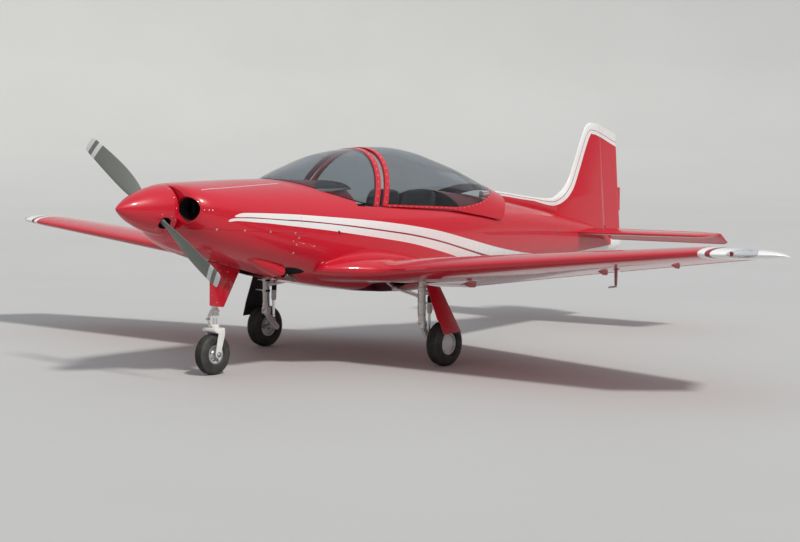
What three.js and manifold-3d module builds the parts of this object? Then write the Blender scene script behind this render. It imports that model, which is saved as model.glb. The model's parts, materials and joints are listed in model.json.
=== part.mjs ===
// Light aircraft: two-seat low-wing monoplane with a sliding bubble canopy,
// retractable tricycle gear (extended) and a two-blade propeller.
// Millimetres. +X forward, +Y to the left wing, +Z up, z = 0 is the ground,
// the origin is under the middle of the bounding box.
// Stations ("s") run aft from the spinner tip, so x = NOSE_X - s.
import * as THREE from "three";
import { mergeVertices } from "three/addons/utils/BufferGeometryUtils.js";
import { RoundedBoxGeometry } from "three/addons/geometries/RoundedBoxGeometry.js";
import Module from "manifold-3d";

const wasm = await Module();
wasm.setup();

// ---------------------------------------------------------------- dimensions
const LENGTH = 6500; // spinner tip to rudder trailing edge
const SPAN = 8000;
const NOSE_X = LENGTH / 2;
const PITCH = THREE.MathUtils.degToRad(2.5); // nose-up attitude on the gear
const THRUST_Z = 1265; // spinner tip above the ground
const SPINNER_R = 187;
const SPINNER_L = 428;
const PROP_S = 335; // station of the propeller disc
const PROP_R = 856;
const PROP_ANGLE = THREE.MathUtils.degToRad(57); // upper blade, from vertical towards the right wing
const COWL_FRONT = 448;
const FIREWALL = 1420;
const TAIL_END = 6215;
const GAP = 0.4; // between touching pieces
const CLEAR = 7; // around moving pieces
const SHELL = 11; // cowl skin
const GLASS = 6;
const RING = 28; // points around a body section

const NOSE_TYRE = { s: 930, r: 155, w: 100, rim: 74 };
const NOSE_LEG_S = 955;
const MAIN_TYRE = { s: 2480, y: 980, r: 175, w: 126, rim: 88 };
const LEG = { s: 2365, y: 850, r: 29, top: 735, bottom: 335 };

const WING = {
  le: 1945,
  rootChord: 1790,
  tipChord: 735,
  leZ: 687,
  dihedral: 0.093,
  incidence: 7.3,
  washout: 2.1,
  rootT: 0.125,
  tipT: 0.1,
  camber: 0.022,
};

// ------------------------------------------------------------------ materials
const paint = (color, roughness = 0.28, metalness = 0) =>
  new THREE.MeshStandardMaterial({ color, roughness, metalness });
const RED = paint(0xc8102a);
const WHITE = paint(0xf0f0ee);
const GREY_LEG = paint(0xc9ccce, 0.4, 0.1);
const BLADE = paint(0x74776f, 0.5);
const RUBBER = paint(0x161616, 0.9);
const RIM = paint(0xb9babc, 0.4, 0.8);
const STEEL = paint(0x8f9194, 0.35, 0.9);
const DARK = paint(0x242426, 0.7);
const SEAT = paint(0x3a3a3c, 0.85);
const CLEAR_PLASTIC = paint(0x3b4347, 0.08);
const LENS = paint(0xd8d8d4, 0.1);

// -------------------------------------------------------------------- helpers
// A point given by station, distance to the left, and height.
const at = (s, y, z) => [NOSE_X - s, y, z];

// three.js geometry to a solid.
function solid(geometry) {
  const g = geometry.clone();
  g.deleteAttribute("normal");
  g.deleteAttribute("uv");
  const m = mergeVertices(g, 1e-3);
  let tri = new Uint32Array(m.index.array);
  const make = () =>
    new wasm.Manifold(
      new wasm.Mesh({
        numProp: 3,
        vertProperties: new Float32Array(m.attributes.position.array),
        triVerts: tri,
      }),
    );
  let out = make();
  if (out.volume() < 0) {
    for (let i = 0; i < tri.length; i += 3)
      [tri[i + 1], tri[i + 2]] = [tri[i + 2], tri[i + 1]];
    out = make();
  }
  return out;
}

// Solid through closed rings that have equal numbers of points.
function loft(rings) {
  const n = rings[0].length,
    pos = rings.flat(2),
    idx = [];
  for (let i = 0; i < rings.length - 1; i++)
    for (let j = 0; j < n; j++) {
      const a = i * n + j,
        b = i * n + ((j + 1) % n);
      idx.push(a, b, b + n, a, b + n, a + n);
    }
  for (const [i, turn] of [
    [0, true],
    [rings.length - 1, false],
  ]) {
    const r = rings[i];
    const normal = [0, 0, 0]; // Newell
    r.forEach((p, k) => {
      const q = r[(k + 1) % n];
      normal[0] += (p[1] - q[1]) * (p[2] + q[2]);
      normal[1] += (p[2] - q[2]) * (p[0] + q[0]);
      normal[2] += (p[0] - q[0]) * (p[1] + q[1]);
    });
    const big = normal.map(Math.abs).indexOf(Math.max(...normal.map(Math.abs)));
    const [u, v] = [
      [1, 2],
      [2, 0],
      [0, 1],
    ][big];
    const flip = normal[big] < 0;
    const contour = r.map((p) => new THREE.Vector2(flip ? -p[u] : p[u], p[v]));
    for (const [a, b, c] of THREE.ShapeUtils.triangulateShape(contour, []))
      turn
        ? idx.push(i * n + a, i * n + c, i * n + b)
        : idx.push(i * n + a, i * n + b, i * n + c);
  }
  const g = new THREE.BufferGeometry();
  g.setAttribute("position", new THREE.Float32BufferAttribute(pos, 3));
  g.setIndex(idx);
  return solid(g);
}

function place(geometry, matrix) {
  return solid(geometry.clone().applyMatrix4(matrix));
}
const moved = (x, y, z) => new THREE.Matrix4().makeTranslation(x, y, z);

// Box between two corners given by station, y and z.
function box(s0, s1, y0, y1, z0, z1) {
  return place(
    new THREE.BoxGeometry(s1 - s0, y1 - y0, z1 - z0),
    moved(NOSE_X - (s0 + s1) / 2, (y0 + y1) / 2, (z0 + z1) / 2),
  );
}
// Cylinder, or cone, between two points.
function rod(a, b, r0, r1 = r0, sides = 20) {
  const A = new THREE.Vector3(...a),
    B = new THREE.Vector3(...b);
  const g = new THREE.CylinderGeometry(r1, r0, A.distanceTo(B), sides);
  const q = new THREE.Quaternion().setFromUnitVectors(
    new THREE.Vector3(0, 1, 0),
    B.clone().sub(A).normalize(),
  );
  return place(
    g,
    new THREE.Matrix4().compose(
      A.clone().add(B).multiplyScalar(0.5),
      q,
      new THREE.Vector3(1, 1, 1),
    ),
  );
}
// Prism: a side-view outline of [station, z] extruded from y0 to y1.
function sidePrism(outline, y0, y1) {
  const shape = new THREE.Shape(
    outline.map(([s, z]) => new THREE.Vector2(NOSE_X - s, z)),
  );
  const g = new THREE.ExtrudeGeometry(shape, {
    depth: y1 - y0,
    bevelEnabled: false,
  });
  g.rotateX(Math.PI / 2); // (x, z, depth) -> (x, -depth, z)
  g.translate(0, y1, 0);
  return solid(g);
}
// Ring turned about the Y axis through (s, z); profile of [radius, y].
function turnedY(profile, s, z, sides) {
  const g = new THREE.LatheGeometry(
    profile.map(([r, y]) => new THREE.Vector2(r, y)),
    sides,
  );
  return place(g, moved(NOSE_X - s, 0, z));
}
const join = (...parts) => parts.reduce((a, b) => a.add(b));
const mirrorY = (m) => {
  const mesh = m.getMesh(),
    v = Float32Array.from(mesh.vertProperties);
  for (let i = 1; i < v.length; i += mesh.numProp) v[i] = -v[i];
  const t = Uint32Array.from(mesh.triVerts);
  for (let i = 0; i < t.length; i += 3) [t[i + 1], t[i + 2]] = [t[i + 2], t[i + 1]];
  return new wasm.Manifold(
    new wasm.Mesh({ numProp: mesh.numProp, vertProperties: v, triVerts: t }),
  );
};

const aircraft = new THREE.Group();
aircraft.name = "light_aircraft";
function node(name, m, material) {
  const mesh = m.getMesh();
  const g = new THREE.BufferGeometry();
  g.setAttribute(
    "position",
    new THREE.BufferAttribute(new Float32Array(mesh.vertProperties), 3),
  );
  g.setIndex(new THREE.BufferAttribute(new Uint32Array(mesh.triVerts), 1));
  g.computeVertexNormals();
  const out = new THREE.Mesh(g, material);
  out.name = name;
  aircraft.add(out);
  return out;
}

// Rows of a table, with the values between rows taken from a smooth curve.
function smoothRows(rows, steps) {
  const out = [];
  for (let i = 0; i < rows.length - 1; i++) {
    const p = [rows[Math.max(i - 1, 0)], rows[i], rows[i + 1], rows[Math.min(i + 2, rows.length - 1)]];
    for (let k = 0; k < steps; k++) {
      const s = p[1][0] + ((p[2][0] - p[1][0]) * k) / steps;
      const t = k / steps;
      out.push(
        p[1].map((v, c) => {
          if (c === 0) return s;
          const h = p[2][0] - p[1][0];
          const m1 = p[2][0] === p[0][0] ? 0 : ((p[2][c] - p[0][c]) / (p[2][0] - p[0][0])) * h;
          const m2 = p[3][0] === p[1][0] ? 0 : ((p[3][c] - p[1][c]) / (p[3][0] - p[1][0])) * h;
          const t2 = t * t,
            t3 = t2 * t;
          return (
            (2 * t3 - 3 * t2 + 1) * v +
            (t3 - 2 * t2 + t) * m1 +
            (-2 * t3 + 3 * t2) * p[2][c] +
            (t3 - t2) * m2
          );
        }),
      );
    }
  }
  out.push(rows[rows.length - 1]);
  return out;
}
// One body section: two half superellipses that meet at the widest height.
function section([s, top, bottom, half, mid, nTop, nBottom], grow, points) {
  const ring = [];
  for (let k = 0; k < points; k++) {
    const a = (2 * Math.PI * k) / points,
      c = Math.cos(a),
      d = Math.sin(a);
    const n = d >= 0 ? nTop : nBottom;
    const y = Math.sign(c) * Math.pow(Math.abs(c), 2 / n) * (half + grow);
    const z =
      mid +
      Math.sign(d) *
        Math.pow(Math.abs(d), 2 / n) *
        (d >= 0 ? top - mid + grow : mid - bottom + grow);
    ring.push(at(s, y, z));
  }
  return ring;
}
const body = (rows, grow, points = 32) => loft(rows.map((r) => section(r, grow, points)));

// ------------------------------------------------------------------- fuselage
// station, top, bottom, half width, height of the widest point, exponent above, exponent below
const FUSELAGE = [
  [1420, 1459, 706, 488, 1050, 2.25, 2.6],
  [1700, 1452, 654, 508, 1020, 2.2, 2.8],
  [2050, 1440, 592, 523, 1000, 2.2, 3.0],
  [2400, 1420, 543, 530, 985, 2.2, 3.2],
  [2900, 1388, 504, 525, 970, 2.2, 3.2],
  [3300, 1350, 508, 498, 965, 2.2, 3.0],
  [3700, 1312, 530, 452, 965, 2.2, 2.8],
  [4200, 1258, 566, 378, 955, 2.1, 2.6],
  [4800, 1165, 606, 285, 930, 2.1, 2.5],
  [5400, 1060, 637, 195, 890, 2.1, 2.4],
  [5900, 960, 657, 125, 840, 2.1, 2.3],
  [TAIL_END, 868, 668, 86, 780, 2.1, 2.2],
];
const fuselageRows = smoothRows(FUSELAGE, 2);
const fuselageOuter = body(fuselageRows, 0, RING);
const fuselageGrown = body(fuselageRows, GAP, RING);
const fuselageClear = body(fuselageRows, CLEAR, RING);

// Cowl, same columns.
const COWL = [
  [COWL_FRONT, 1425, 1092, 262, 1250, 2.3, 2.2],
  [466, 1432, 1048, 318, 1245, 2.4, 2.2],
  [500, 1438, 1002, 358, 1235, 2.4, 2.3],
  [580, 1444, 952, 400, 1215, 2.4, 2.4],
  [760, 1450, 885, 440, 1170, 2.35, 2.5],
  [1080, 1457, 795, 472, 1100, 2.3, 2.6],
  [FIREWALL - GAP, 1459, 706, 488, 1050, 2.25, 2.6],
];
const cowlOuter = body(COWL, 0, RING);
const cowlInner = body(
  COWL.map((r, i) => (i === 0 ? [r[0] + SHELL, ...r.slice(1)] : i === COWL.length - 1 ? [r[0] + 20, ...r.slice(1)] : r)),
  -SHELL,
  RING,
);
const INLET = { y: 232, z: 1257, ry: 108, rz: 89 };
const inlet = (side) => {
  const g = new THREE.CylinderGeometry(1, 1, 240, 24);
  g.rotateZ(Math.PI / 2);
  g.scale(1, INLET.ry, INLET.rz);
  return place(g, moved(NOSE_X - 500, side * INLET.y, INLET.z));
};
const NOSE_BAY = { s0: 800, s1: 1395, half: 100, top: 930 };
const shaftHole = rod(at(400, 0, THRUST_Z - 18), at(560, 0, THRUST_Z - 22), 120, 120, 28);
const OUTLET = { y: 316, z: 748 };
// Scoop behind the bulge: station, distance y, height, radius
const SCOOP = [
  [1250, 318, 772, 52],
  [1318, 322, 764, 58],
  [1400, 338, 752, 62],
  [1460, 350, 750, 50],
  [1510, 362, 752, 26],
  [1530, 370, 754, 10],
];
const outletCut = (side) =>
  loft(
    SCOOP.map(([s, y, z, r]) => {
      const ring = [];
      for (let k = 0; k < 16; k++) {
        const a = (2 * Math.PI * k) / 16;
        ring.push(at(s, side * y + r * Math.cos(a), z + r * Math.sin(a)));
      }
      return ring;
    }),
  );
let cowl = cowlOuter
  .subtract(cowlInner)
  .subtract(inlet(1))
  .subtract(inlet(-1))
  .subtract(shaftHole);
// Split line along the row of screws, falling towards the tail.
const SPLIT = [
  [380, 1128],
  [1500, 1048],
];
const above = (line, off) =>
  sidePrism([[line[0][0], line[0][1] + off], [line[1][0], line[1][1] + off], [line[1][0], 2200], [line[0][0], 2200]], -900, 900);
const below = (line, off) =>
  sidePrism([[line[0][0], line[0][1] + off], [line[1][0], line[1][1] + off], [line[1][0], 100], [line[0][0], 100]], -900, 900);
const cowlUpper = cowl.intersect(above(SPLIT, GAP / 2));
// Long bulges on the lower cowl that end in the outlets.
const bulge = (side) => {
  const rows = [
    [950, 10],
    [1030, 38],
    [1130, 54],
    [1240, 62],
    [1318, 64],
  ];
  return loft(
    rows.map(([s, r]) => {
      const ring = [];
      const cz = 905 - (s - 950) * 0.37;
      for (let k = 0; k < 16; k++) {
        const a = (2 * Math.PI * k) / 16;
        ring.push(at(s, side * (OUTLET.y + (1318 - s) * 0.03) + r * Math.cos(a), cz + r * Math.sin(a)));
      }
      return ring;
    }),
  );
};
const noseBayCut = box(NOSE_BAY.s0, NOSE_BAY.s1, -NOSE_BAY.half, NOSE_BAY.half, 500, NOSE_BAY.top);
const cowlLower = cowl
  .add(bulge(1).subtract(cowlInner))
  .add(bulge(-1).subtract(cowlInner))
  .intersect(below(SPLIT, -GAP / 2))
  .intersect(box(400, FIREWALL - GAP, -700, 700, 500, 1400))
  .subtract(noseBayCut)
  .subtract(outletCut(1))
  .subtract(outletCut(-1));
node("cowl_upper", cowlUpper, RED);
node("cowl_lower", cowlLower, RED);
node("engine_block", box(640, 1230, -318, 318, 1085, 1335).add(box(700, 1200, -150, 150, 990, 1090)), DARK);

// -------------------------------------------------------------------- canopy
// Greenhouse outline, same columns as the fuselage.
const GREENHOUSE = [
  [1400, 1400, 900, 170, 1000, 2.3, 2.3],
  [1490, 1461, 900, 250, 1000, 2.3, 2.3],
  [1620, 1507, 900, 340, 1000, 2.3, 2.3],
  [1780, 1554, 900, 408, 1000, 2.3, 2.3],
  [2100, 1642, 900, 462, 1000, 2.3, 2.3],
  [2430, 1686, 900, 484, 1000, 2.3, 2.3],
  [2800, 1702, 900, 488, 1000, 2.3, 2.3],
  [3110, 1669, 900, 480, 1000, 2.3, 2.3],
  [3380, 1603, 900, 468, 1000, 2.3, 2.3],
  [3650, 1528, 900, 451, 1000, 2.25, 2.3],
  [4050, 1386, 900, 410, 1000, 2.2, 2.3],
  [4240, 1318, 900, 392, 1000, 2.2, 2.3],
];
const greenRows = smoothRows(GREENHOUSE, 1);
const ends = (rows) => rows.map((r, i) => (i === 0 ? [r[0] - 30, ...r.slice(1)] : i === rows.length - 1 ? [r[0] + 30, ...r.slice(1)] : r));
const green = (grow) => body(grow < 0 ? ends(greenRows) : greenRows, grow, RING);
const SILL = [
  [2050, 1243],
  [3420, 1183],
];
const sillZ = (s) => SILL[0][1] + ((SILL[1][1] - SILL[0][1]) * (s - SILL[0][0])) / (SILL[1][0] - SILL[0][0]);
// Leaning bow strips: station at the sill, width.
const LEAN = 0.465;
const strip = (s0, s1) => {
  const z0 = 1150,
    z1 = 1760,
    z = 1225;
  return sidePrism(
    [
      [s0 + LEAN * (z0 - z), z0],
      [s1 + LEAN * (z0 - z), z0],
      [s1 + LEAN * (z1 - z), z1],
      [s0 + LEAN * (z1 - z), z1],
    ],
    -700,
    700,
  );
};
const aboveSill = (off) =>
  sidePrism([[1300, sillZ(1300) + off], [4400, sillZ(4400) + off], [4400, 1900], [1300, 1900]], -700, 700);
const WIND_BOW = [2238, 2294];
const CANOPY_OPEN = 42; // the canopy stands this far open
const CAN_BOW = [WIND_BOW[1] + 8 + CANOPY_OPEN, WIND_BOW[1] + 8 + CANOPY_OPEN + 50];
const shellGlass = green(0).subtract(green(-GLASS));
const windGlass = shellGlass
  .intersect(strip(900, WIND_BOW[0] - GAP))
  .intersect(aboveSill(GAP))
  .subtract(fuselageGrown)
  .subtract(box(1300, 1700, -700, 700, 900, 1300));
node("windshield_glass", windGlass, CLEAR_PLASTIC);
const windBow = green(3)
  .subtract(green(-26))
  .intersect(strip(...WIND_BOW))
  .intersect(aboveSill(GAP));
node("windshield_bow", windBow, RED);

// Side view of the skirt and side rails: below the glass, above the hull.
const SKIRT = [
  [2330, 1236],
  [2330, 1252],
  [3150, 1218],
  [3230, 1206],
  [4060, 1388],
  [4060, 1440],
  [4215, 1440],
  [4215, 1300],
  [3965, 1078],
  [3550, 1136],
  [3200, 1188],
];
const skirtRegion = sidePrism(SKIRT, -700, 700);
const canopyShell = green(2).subtract(green(-8));
const canopyRear = sidePrism([[CAN_BOW[0] + LEAN * -75, 1150], [4400, 1000], [4400, 1900], [CAN_BOW[0] + LEAN * 535, 1760]], -700, 700);
const canopyFrame = canopyShell
  .intersect(skirtRegion)
  .intersect(canopyRear)
  .add(
    green(3)
      .subtract(green(-22))
      .intersect(strip(...CAN_BOW))
      .intersect(aboveSill(CLEAR)),
  )
  .subtract(fuselageClear);
node("canopy_frame", canopyFrame, RED);
const canopyGlass = shellGlass
  .intersect(strip(CAN_BOW[1] + GAP, 6000))
  .intersect(sidePrism([[2200, 1252 + 6], [3150, 1218 + GAP], [3230, 1206 + GAP], [4060 - GAP, 1388 + GAP], [4060 - GAP, 1900], [2200, 1900]], -700, 700))
  .subtract(canopyFrame);
const glassBodies = canopyGlass.decompose().sort((a, b) => b.volume() - a.volume());
node("canopy_glass", glassBodies[0], CLEAR_PLASTIC);

// ------------------------------------------------------- wing and its surfaces
const deg = THREE.MathUtils.degToRad;
// Height above and below the chord line, as parts of the chord.
function foil(x, t, camber) {
  const yt =
    5 * t * (0.2969 * Math.sqrt(x) - 0.126 * x - 0.3516 * x * x + 0.2843 * x ** 3 - 0.1036 * x ** 4);
  const p = 0.4;
  const yc = x < p ? (camber / p ** 2) * (2 * p * x - x * x) : (camber / (1 - p) ** 2) * (1 - 2 * p + 2 * p * x - x * x);
  return [yc + yt, yc - yt];
}
// Where the wing's chord line runs at a distance y from the centreline.
function chordAt(y) {
  const k = y / (SPAN / 2);
  const c = WING.rootChord + (WING.tipChord - WING.rootChord) * k;
  const inc = deg(WING.incidence - WING.washout * k);
  const z = WING.leZ + WING.dihedral * y;
  return { le: WING.le, c, inc, z, t: WING.rootT + (WING.tipT - WING.rootT) * k, te: WING.le + c * Math.cos(inc), teZ: z - c * Math.sin(inc) };
}
// Point on the chord line at station s.
const chordZ = (w, s) => w.z - (s - w.le) * Math.tan(w.inc);
// distance y, how far back the leading and trailing edges lie from the straight ones, share of the thickness, how much lower the section lies
const WING_ROWS = [
  [300, -345, 0, 1, 0],
  [480, -330, 0, 1, 0],
  [600, -235, 0, 1, 0],
  [700, -110, 0, 1, 0],
  [800, -18, 0, 1, 0],
  [1000, 0, 0, 1, 0],
  [2300, 0, 0, 1, 0],
  [3500, 0, 0, 1, 0],
  [3530, 1, 0, 1, 1],
  [3560, 11, 0, 0.988, 3],
  [3600, 39, 0, 0.953, 6],
  [3640, 71, 0, 0.914, 8],
  [3700, 121, 0, 0.868, 10],
  [3740, 153, 0, 0.849, 12],
  [3800, 201, -29, 0.791, 13],
  [3850, 242, -96, 0.685, 14],
  [3900, 285, -178, 0.537, 16],
  [3940, 320, -246, 0.365, 19],
  [3975, 352, -306, 0.17, 24],
  [3990, 366, -328, 0.09, 29],
  [4000, 374, -341, 0.04, 34],
];
const FOIL_X = [0, 0.006, 0.025, 0.06, 0.12, 0.2, 0.3, 0.42, 0.55, 0.68, 0.8, 0.91, 1];
function wingRing(y, lead, trail, thick, drop) {
  const w = chordAt(y);
  const le = w.le + lead;
  const c = w.c + (trail - lead) / Math.cos(w.inc);
  const t = (w.t * w.c * thick) / c;
  const up = [],
    down = [];
  for (const x of FOIL_X) {
    const [a, b] = foil(x, t, WING.camber);
    const s = le + x * c * Math.cos(w.inc),
      z = chordZ(w, le) - x * c * Math.sin(w.inc) - drop;
    up.push(at(s, y, z + Math.max(a * c, b * c)));
    down.push(at(s, y, z + b * c));
  }
  // a thin, closed trailing edge
  up[up.length - 1][2] += 1.5;
  down[down.length - 1][2] -= 1.5;
  return [...up, ...down.slice(1).reverse()];
}
const wingSolid = loft(WING_ROWS.map((r) => wingRing(...r)));

// A surface hinged along a line inside the rear of the wing.
// part of the chord at the hinge, inner and outer ends
const FLAP = { y0: 606, y1: 2090, hinge: 0.765 };
const AILERON = { y0: 2101, y1: 3540, hinge: 0.765 };
function hingePoint(y, part) {
  const w = chordAt(y);
  const [a, b] = foil(part, w.t, WING.camber);
  const s = w.le + part * w.c * Math.cos(w.inc);
  const z = w.z - part * w.c * Math.sin(w.inc) + ((a + b) / 2) * w.c;
  return { p: new THREE.Vector3(...at(s, y, z)), r: ((a - b) / 2) * w.c * Math.cos(w.inc) - 0.5, w };
}
// Ring of the surface in the plane y = const: round nose on the hinge, then flat to the trailing edge.
function surfaceRing(h, te, nose = 7) {
  const ring = [];
  const dir = new THREE.Vector2(te[0] - h.p.x, te[2] - h.p.z);
  const ang = Math.atan2(dir.y, dir.x);
  for (let k = 0; k <= nose; k++) {
    const a = ang + Math.PI / 2 + (Math.PI * k) / nose;
    ring.push([h.p.x + h.r * Math.cos(a), h.p.y, h.p.z + h.r * Math.sin(a)]);
  }
  ring.push([te[0], h.p.y, te[2] + 1.5], [te[0], h.p.y, te[2] - 1.5]);
  return ring;
}
function wingSurface(d) {
  const rings = [d.y0 - 40, (d.y0 + d.y1) / 2, d.y1 + 40].map((y) => {
    const h = hingePoint(y, d.hinge);
    return surfaceRing(h, at(h.w.te, y, h.w.teZ));
  });
  const a = hingePoint(d.y0, d.hinge),
    b = hingePoint(d.y1, d.hinge);
  const axis = b.p.clone().sub(a.p).normalize();
  // slab between the end planes, square to the hinge line
  const slab = (g0, g1) => {
    const A = a.p.clone().addScaledVector(axis, -g0),
      B = b.p.clone().addScaledVector(axis, g1);
    return { A, B };
  };
  const square = (g, ahead) => {
    const { A, B } = slab(g, g);
    const back = new THREE.Vector3(-1, 0, 0);
    back.addScaledVector(axis, -back.dot(axis)).normalize();
    const up = new THREE.Vector3().crossVectors(axis, back).normalize();
    const ring = (c, r) =>
      [
        [-(r + ahead), -220],
        [560, -220],
        [560, 220],
        [-(r + ahead), 220],
      ].map(([u, v]) => c.clone().addScaledVector(back, u).addScaledVector(up, v).toArray());
    return loft([ring(A, a.r), ring(B, b.r)]);
  };
  return {
    solid: loft(rings).intersect(square(0, 40)),
    cut: square(CLEAR, CLEAR),
    a: a.p,
    b: b.p,
  };
}
const flap = wingSurface(FLAP);
const aileron = wingSurface(AILERON);

// Hinge fairings under the wing: distance y, part of the chord, length, half width, depth
const FAIRINGS = [
  [800, 0.66, 190, 11, 34],
  [2250, 0.66, 170, 10, 32],
  [2945, 0.66, 150, 10, 28],
];
const fairing = ([y, part, len, half, depth]) => {
  const w = chordAt(y);
  const lower = (x) => {
    const b = foil(x, w.t, WING.camber)[1];
    return [w.le + x * w.c * Math.cos(w.inc), w.z - x * w.c * Math.sin(w.inc) + b * w.c];
  };
  const x1 = part + len / w.c;
  const [sa, za] = lower(part - 0.02),
    [sb, zb] = lower(Math.min(x1, 0.745));
  return sidePrism(
    [
      [sa, za + 6],
      [sa + len * 0.55, (za + zb) / 2 - depth],
      [sb - 4, zb - depth * 0.8],
      [sb, zb + 8],
    ],
    y - half,
    y + half,
  );
};
// Bays for the retracting legs.
const LEG_BAY = { s0: 2318, s1: 2520, y0: 470, y1: 905, top: 742 };
const legBay = box(LEG_BAY.s0, LEG_BAY.s1, LEG_BAY.y0, LEG_BAY.y1, 400, LEG_BAY.top);
const WHEEL_BAY = { s0: 2290, s1: 2680, y0: 90, y1: 600, top: 662 };
const wheelBay = box(WHEEL_BAY.s0, WHEEL_BAY.s1, WHEEL_BAY.y0, WHEEL_BAY.y1, 300, WHEEL_BAY.top);

// Flat pad under the spar for a jack.
const JACK_PAD = { s: 2420, y: 1270, r: 22, depth: 9 };
const underside = (s, y) => {
  const w = chordAt(y),
    x = (s - w.le) / (w.c * Math.cos(w.inc));
  return w.z - x * w.c * Math.sin(w.inc) + foil(x, w.t, WING.camber)[1] * w.c;
};
const padZ = underside(JACK_PAD.s, JACK_PAD.y) - JACK_PAD.depth;
let wingHalf = wingSolid.add(
  rod(at(JACK_PAD.s, JACK_PAD.y, padZ), at(JACK_PAD.s, JACK_PAD.y, padZ + 40), JACK_PAD.r, JACK_PAD.r, 20),
);
for (const f of FAIRINGS) wingHalf = wingHalf.add(fairing(f));
wingHalf = wingHalf
  .subtract(flap.cut)
  .subtract(aileron.cut)
  .subtract(legBay)
  .subtract(wheelBay);
const largest = (m) => m.decompose().sort((a, b) => b.volume() - a.volume())[0];
// Oval lens in the leading edge of the tip.
const TIP_LENS = { y: 3760, z: 1013, ry: 81, rz: 25, back: 2290 };
const lensRod = (grow) => {
  const g = new THREE.CylinderGeometry(1, 1, 500, 28);
  g.rotateZ(Math.PI / 2);
  g.scale(1, TIP_LENS.ry + grow, TIP_LENS.rz + grow);
  return place(g, moved(NOSE_X - TIP_LENS.back + 250 - grow, TIP_LENS.y, TIP_LENS.z));
};
const lens = wingHalf.intersect(lensRod(0));
const wingShell = wingHalf.subtract(lensRod(GAP));
node("wing_left", largest(wingShell.subtract(fuselageGrown)), RED);
node("wing_right", largest(mirrorY(wingShell).subtract(fuselageGrown)), RED);
node("tip_light_left", lens, LENS);
node("tip_light_right", mirrorY(lens), LENS);
node("flap_left", flap.solid, RED);
node("flap_right", mirrorY(flap.solid), RED);
node("aileron_left", aileron.solid, RED);
node("aileron_right", mirrorY(aileron.solid), RED);

// Pitot mast under the left wing.
const PITOT = { s: 2555, y: 2505 };
const pitotTop = (() => {
  const w = chordAt(PITOT.y);
  const x = (PITOT.s - w.le) / (w.c * Math.cos(w.inc));
  return w.z - x * w.c * Math.sin(w.inc) + foil(x, w.t, WING.camber)[1] * w.c;
})();
node(
  "pitot",
  join(
    rod(at(PITOT.s, PITOT.y, pitotTop - 3), at(PITOT.s, PITOT.y, pitotTop - 128), 11, 11, 12),
    rod(at(PITOT.s + 8, PITOT.y, pitotTop - 128), at(PITOT.s - 92, PITOT.y, pitotTop - 126), 7, 6, 12),
  ),
  STEEL,
);

// ------------------------------------------------------------------------ tail
// Tailplane: distance y, leading edge station, height
const TAILPLANE = { y1: 1425, hinge: 6000, z: 898, te: 6192, t: 0.085 };
const tailLe = (y) => 5478 + 0.13 * Math.abs(y);
const tailTe = (y) => TAILPLANE.te - 4 * Math.abs(y) / 1425;
function tailRing(y, grow = 0, keep = 1) {
  const le = tailLe(y) + (1 - keep) * 240,
    c = (tailTe(y) - le) * 1;
  const up = [],
    down = [];
  const end = (TAILPLANE.hinge - 30 - le) / c;
  for (const k of [0, 0.01, 0.04, 0.1, 0.2, 0.35, 0.5, 0.7, 0.85, 1]) {
    const x = k * end;
    const a = foil(x, TAILPLANE.t * (keep < 1 ? 0.75 : 1), 0)[0] * c + grow;
    up.push(at(le + x * c - (k === 0 ? grow : 0), y, TAILPLANE.z + a));
    down.push(at(le + x * c - (k === 0 ? grow : 0), y, TAILPLANE.z - a));
  }
  up[0][2] = TAILPLANE.z;
  return [...up, ...down.slice(1).reverse()];
}
const tailYs = [-1425, -1405, -1330, -400, 0, 400, 1330, 1405, 1425];
const tailSolid = (grow) =>
  loft(tailYs.map((y) => tailRing(y, grow, Math.abs(y) > 1410 ? 0.45 : Math.abs(y) > 1400 ? 0.85 : 1)));
const tailplane = tailSolid(0);
node("tailplane", tailplane, RED);

// Elevator, drooping on its stop in this position.
const DROOP = deg(30);
const ELEV = { r: 21, y0: 128, y1: 1422 };
const elevHinge = new THREE.Vector3(...at(TAILPLANE.hinge, 0, TAILPLANE.z));
function elevatorHalf(side) {
  const rings = [ELEV.y0, 700, 1380, ELEV.y1].map((y) => {
    const c = tailTe(y) - TAILPLANE.hinge - (y === ELEV.y1 ? 40 : 0);
    const r = y > 1300 ? 17 : ELEV.r;
    const te = [elevHinge.x - c * Math.cos(DROOP), side * y, elevHinge.z - c * Math.sin(DROOP)];
    const h = { p: new THREE.Vector3(elevHinge.x, side * y, elevHinge.z), r };
    return surfaceRing(h, te);
  });
  return loft(rings);
}
const elevator = join(
  elevatorHalf(1),
  elevatorHalf(-1),
  rod([elevHinge.x, -ELEV.y0 - 10, elevHinge.z], [elevHinge.x, ELEV.y0 + 10, elevHinge.z], 14, 14, 16),
);
node("elevator", elevator, RED);

// Fin: height, leading edge station
const FIN = [
  [905, 5330],
  [1100, 5340],
  [1222, 5362],
  [1262, 5425],
  [1302, 5493],
  [1377, 5575],
  [1518, 5657],
  [1708, 5755],
  [1851, 5838],
  [1905, 5878],
  [1934, 5935],
];
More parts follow.
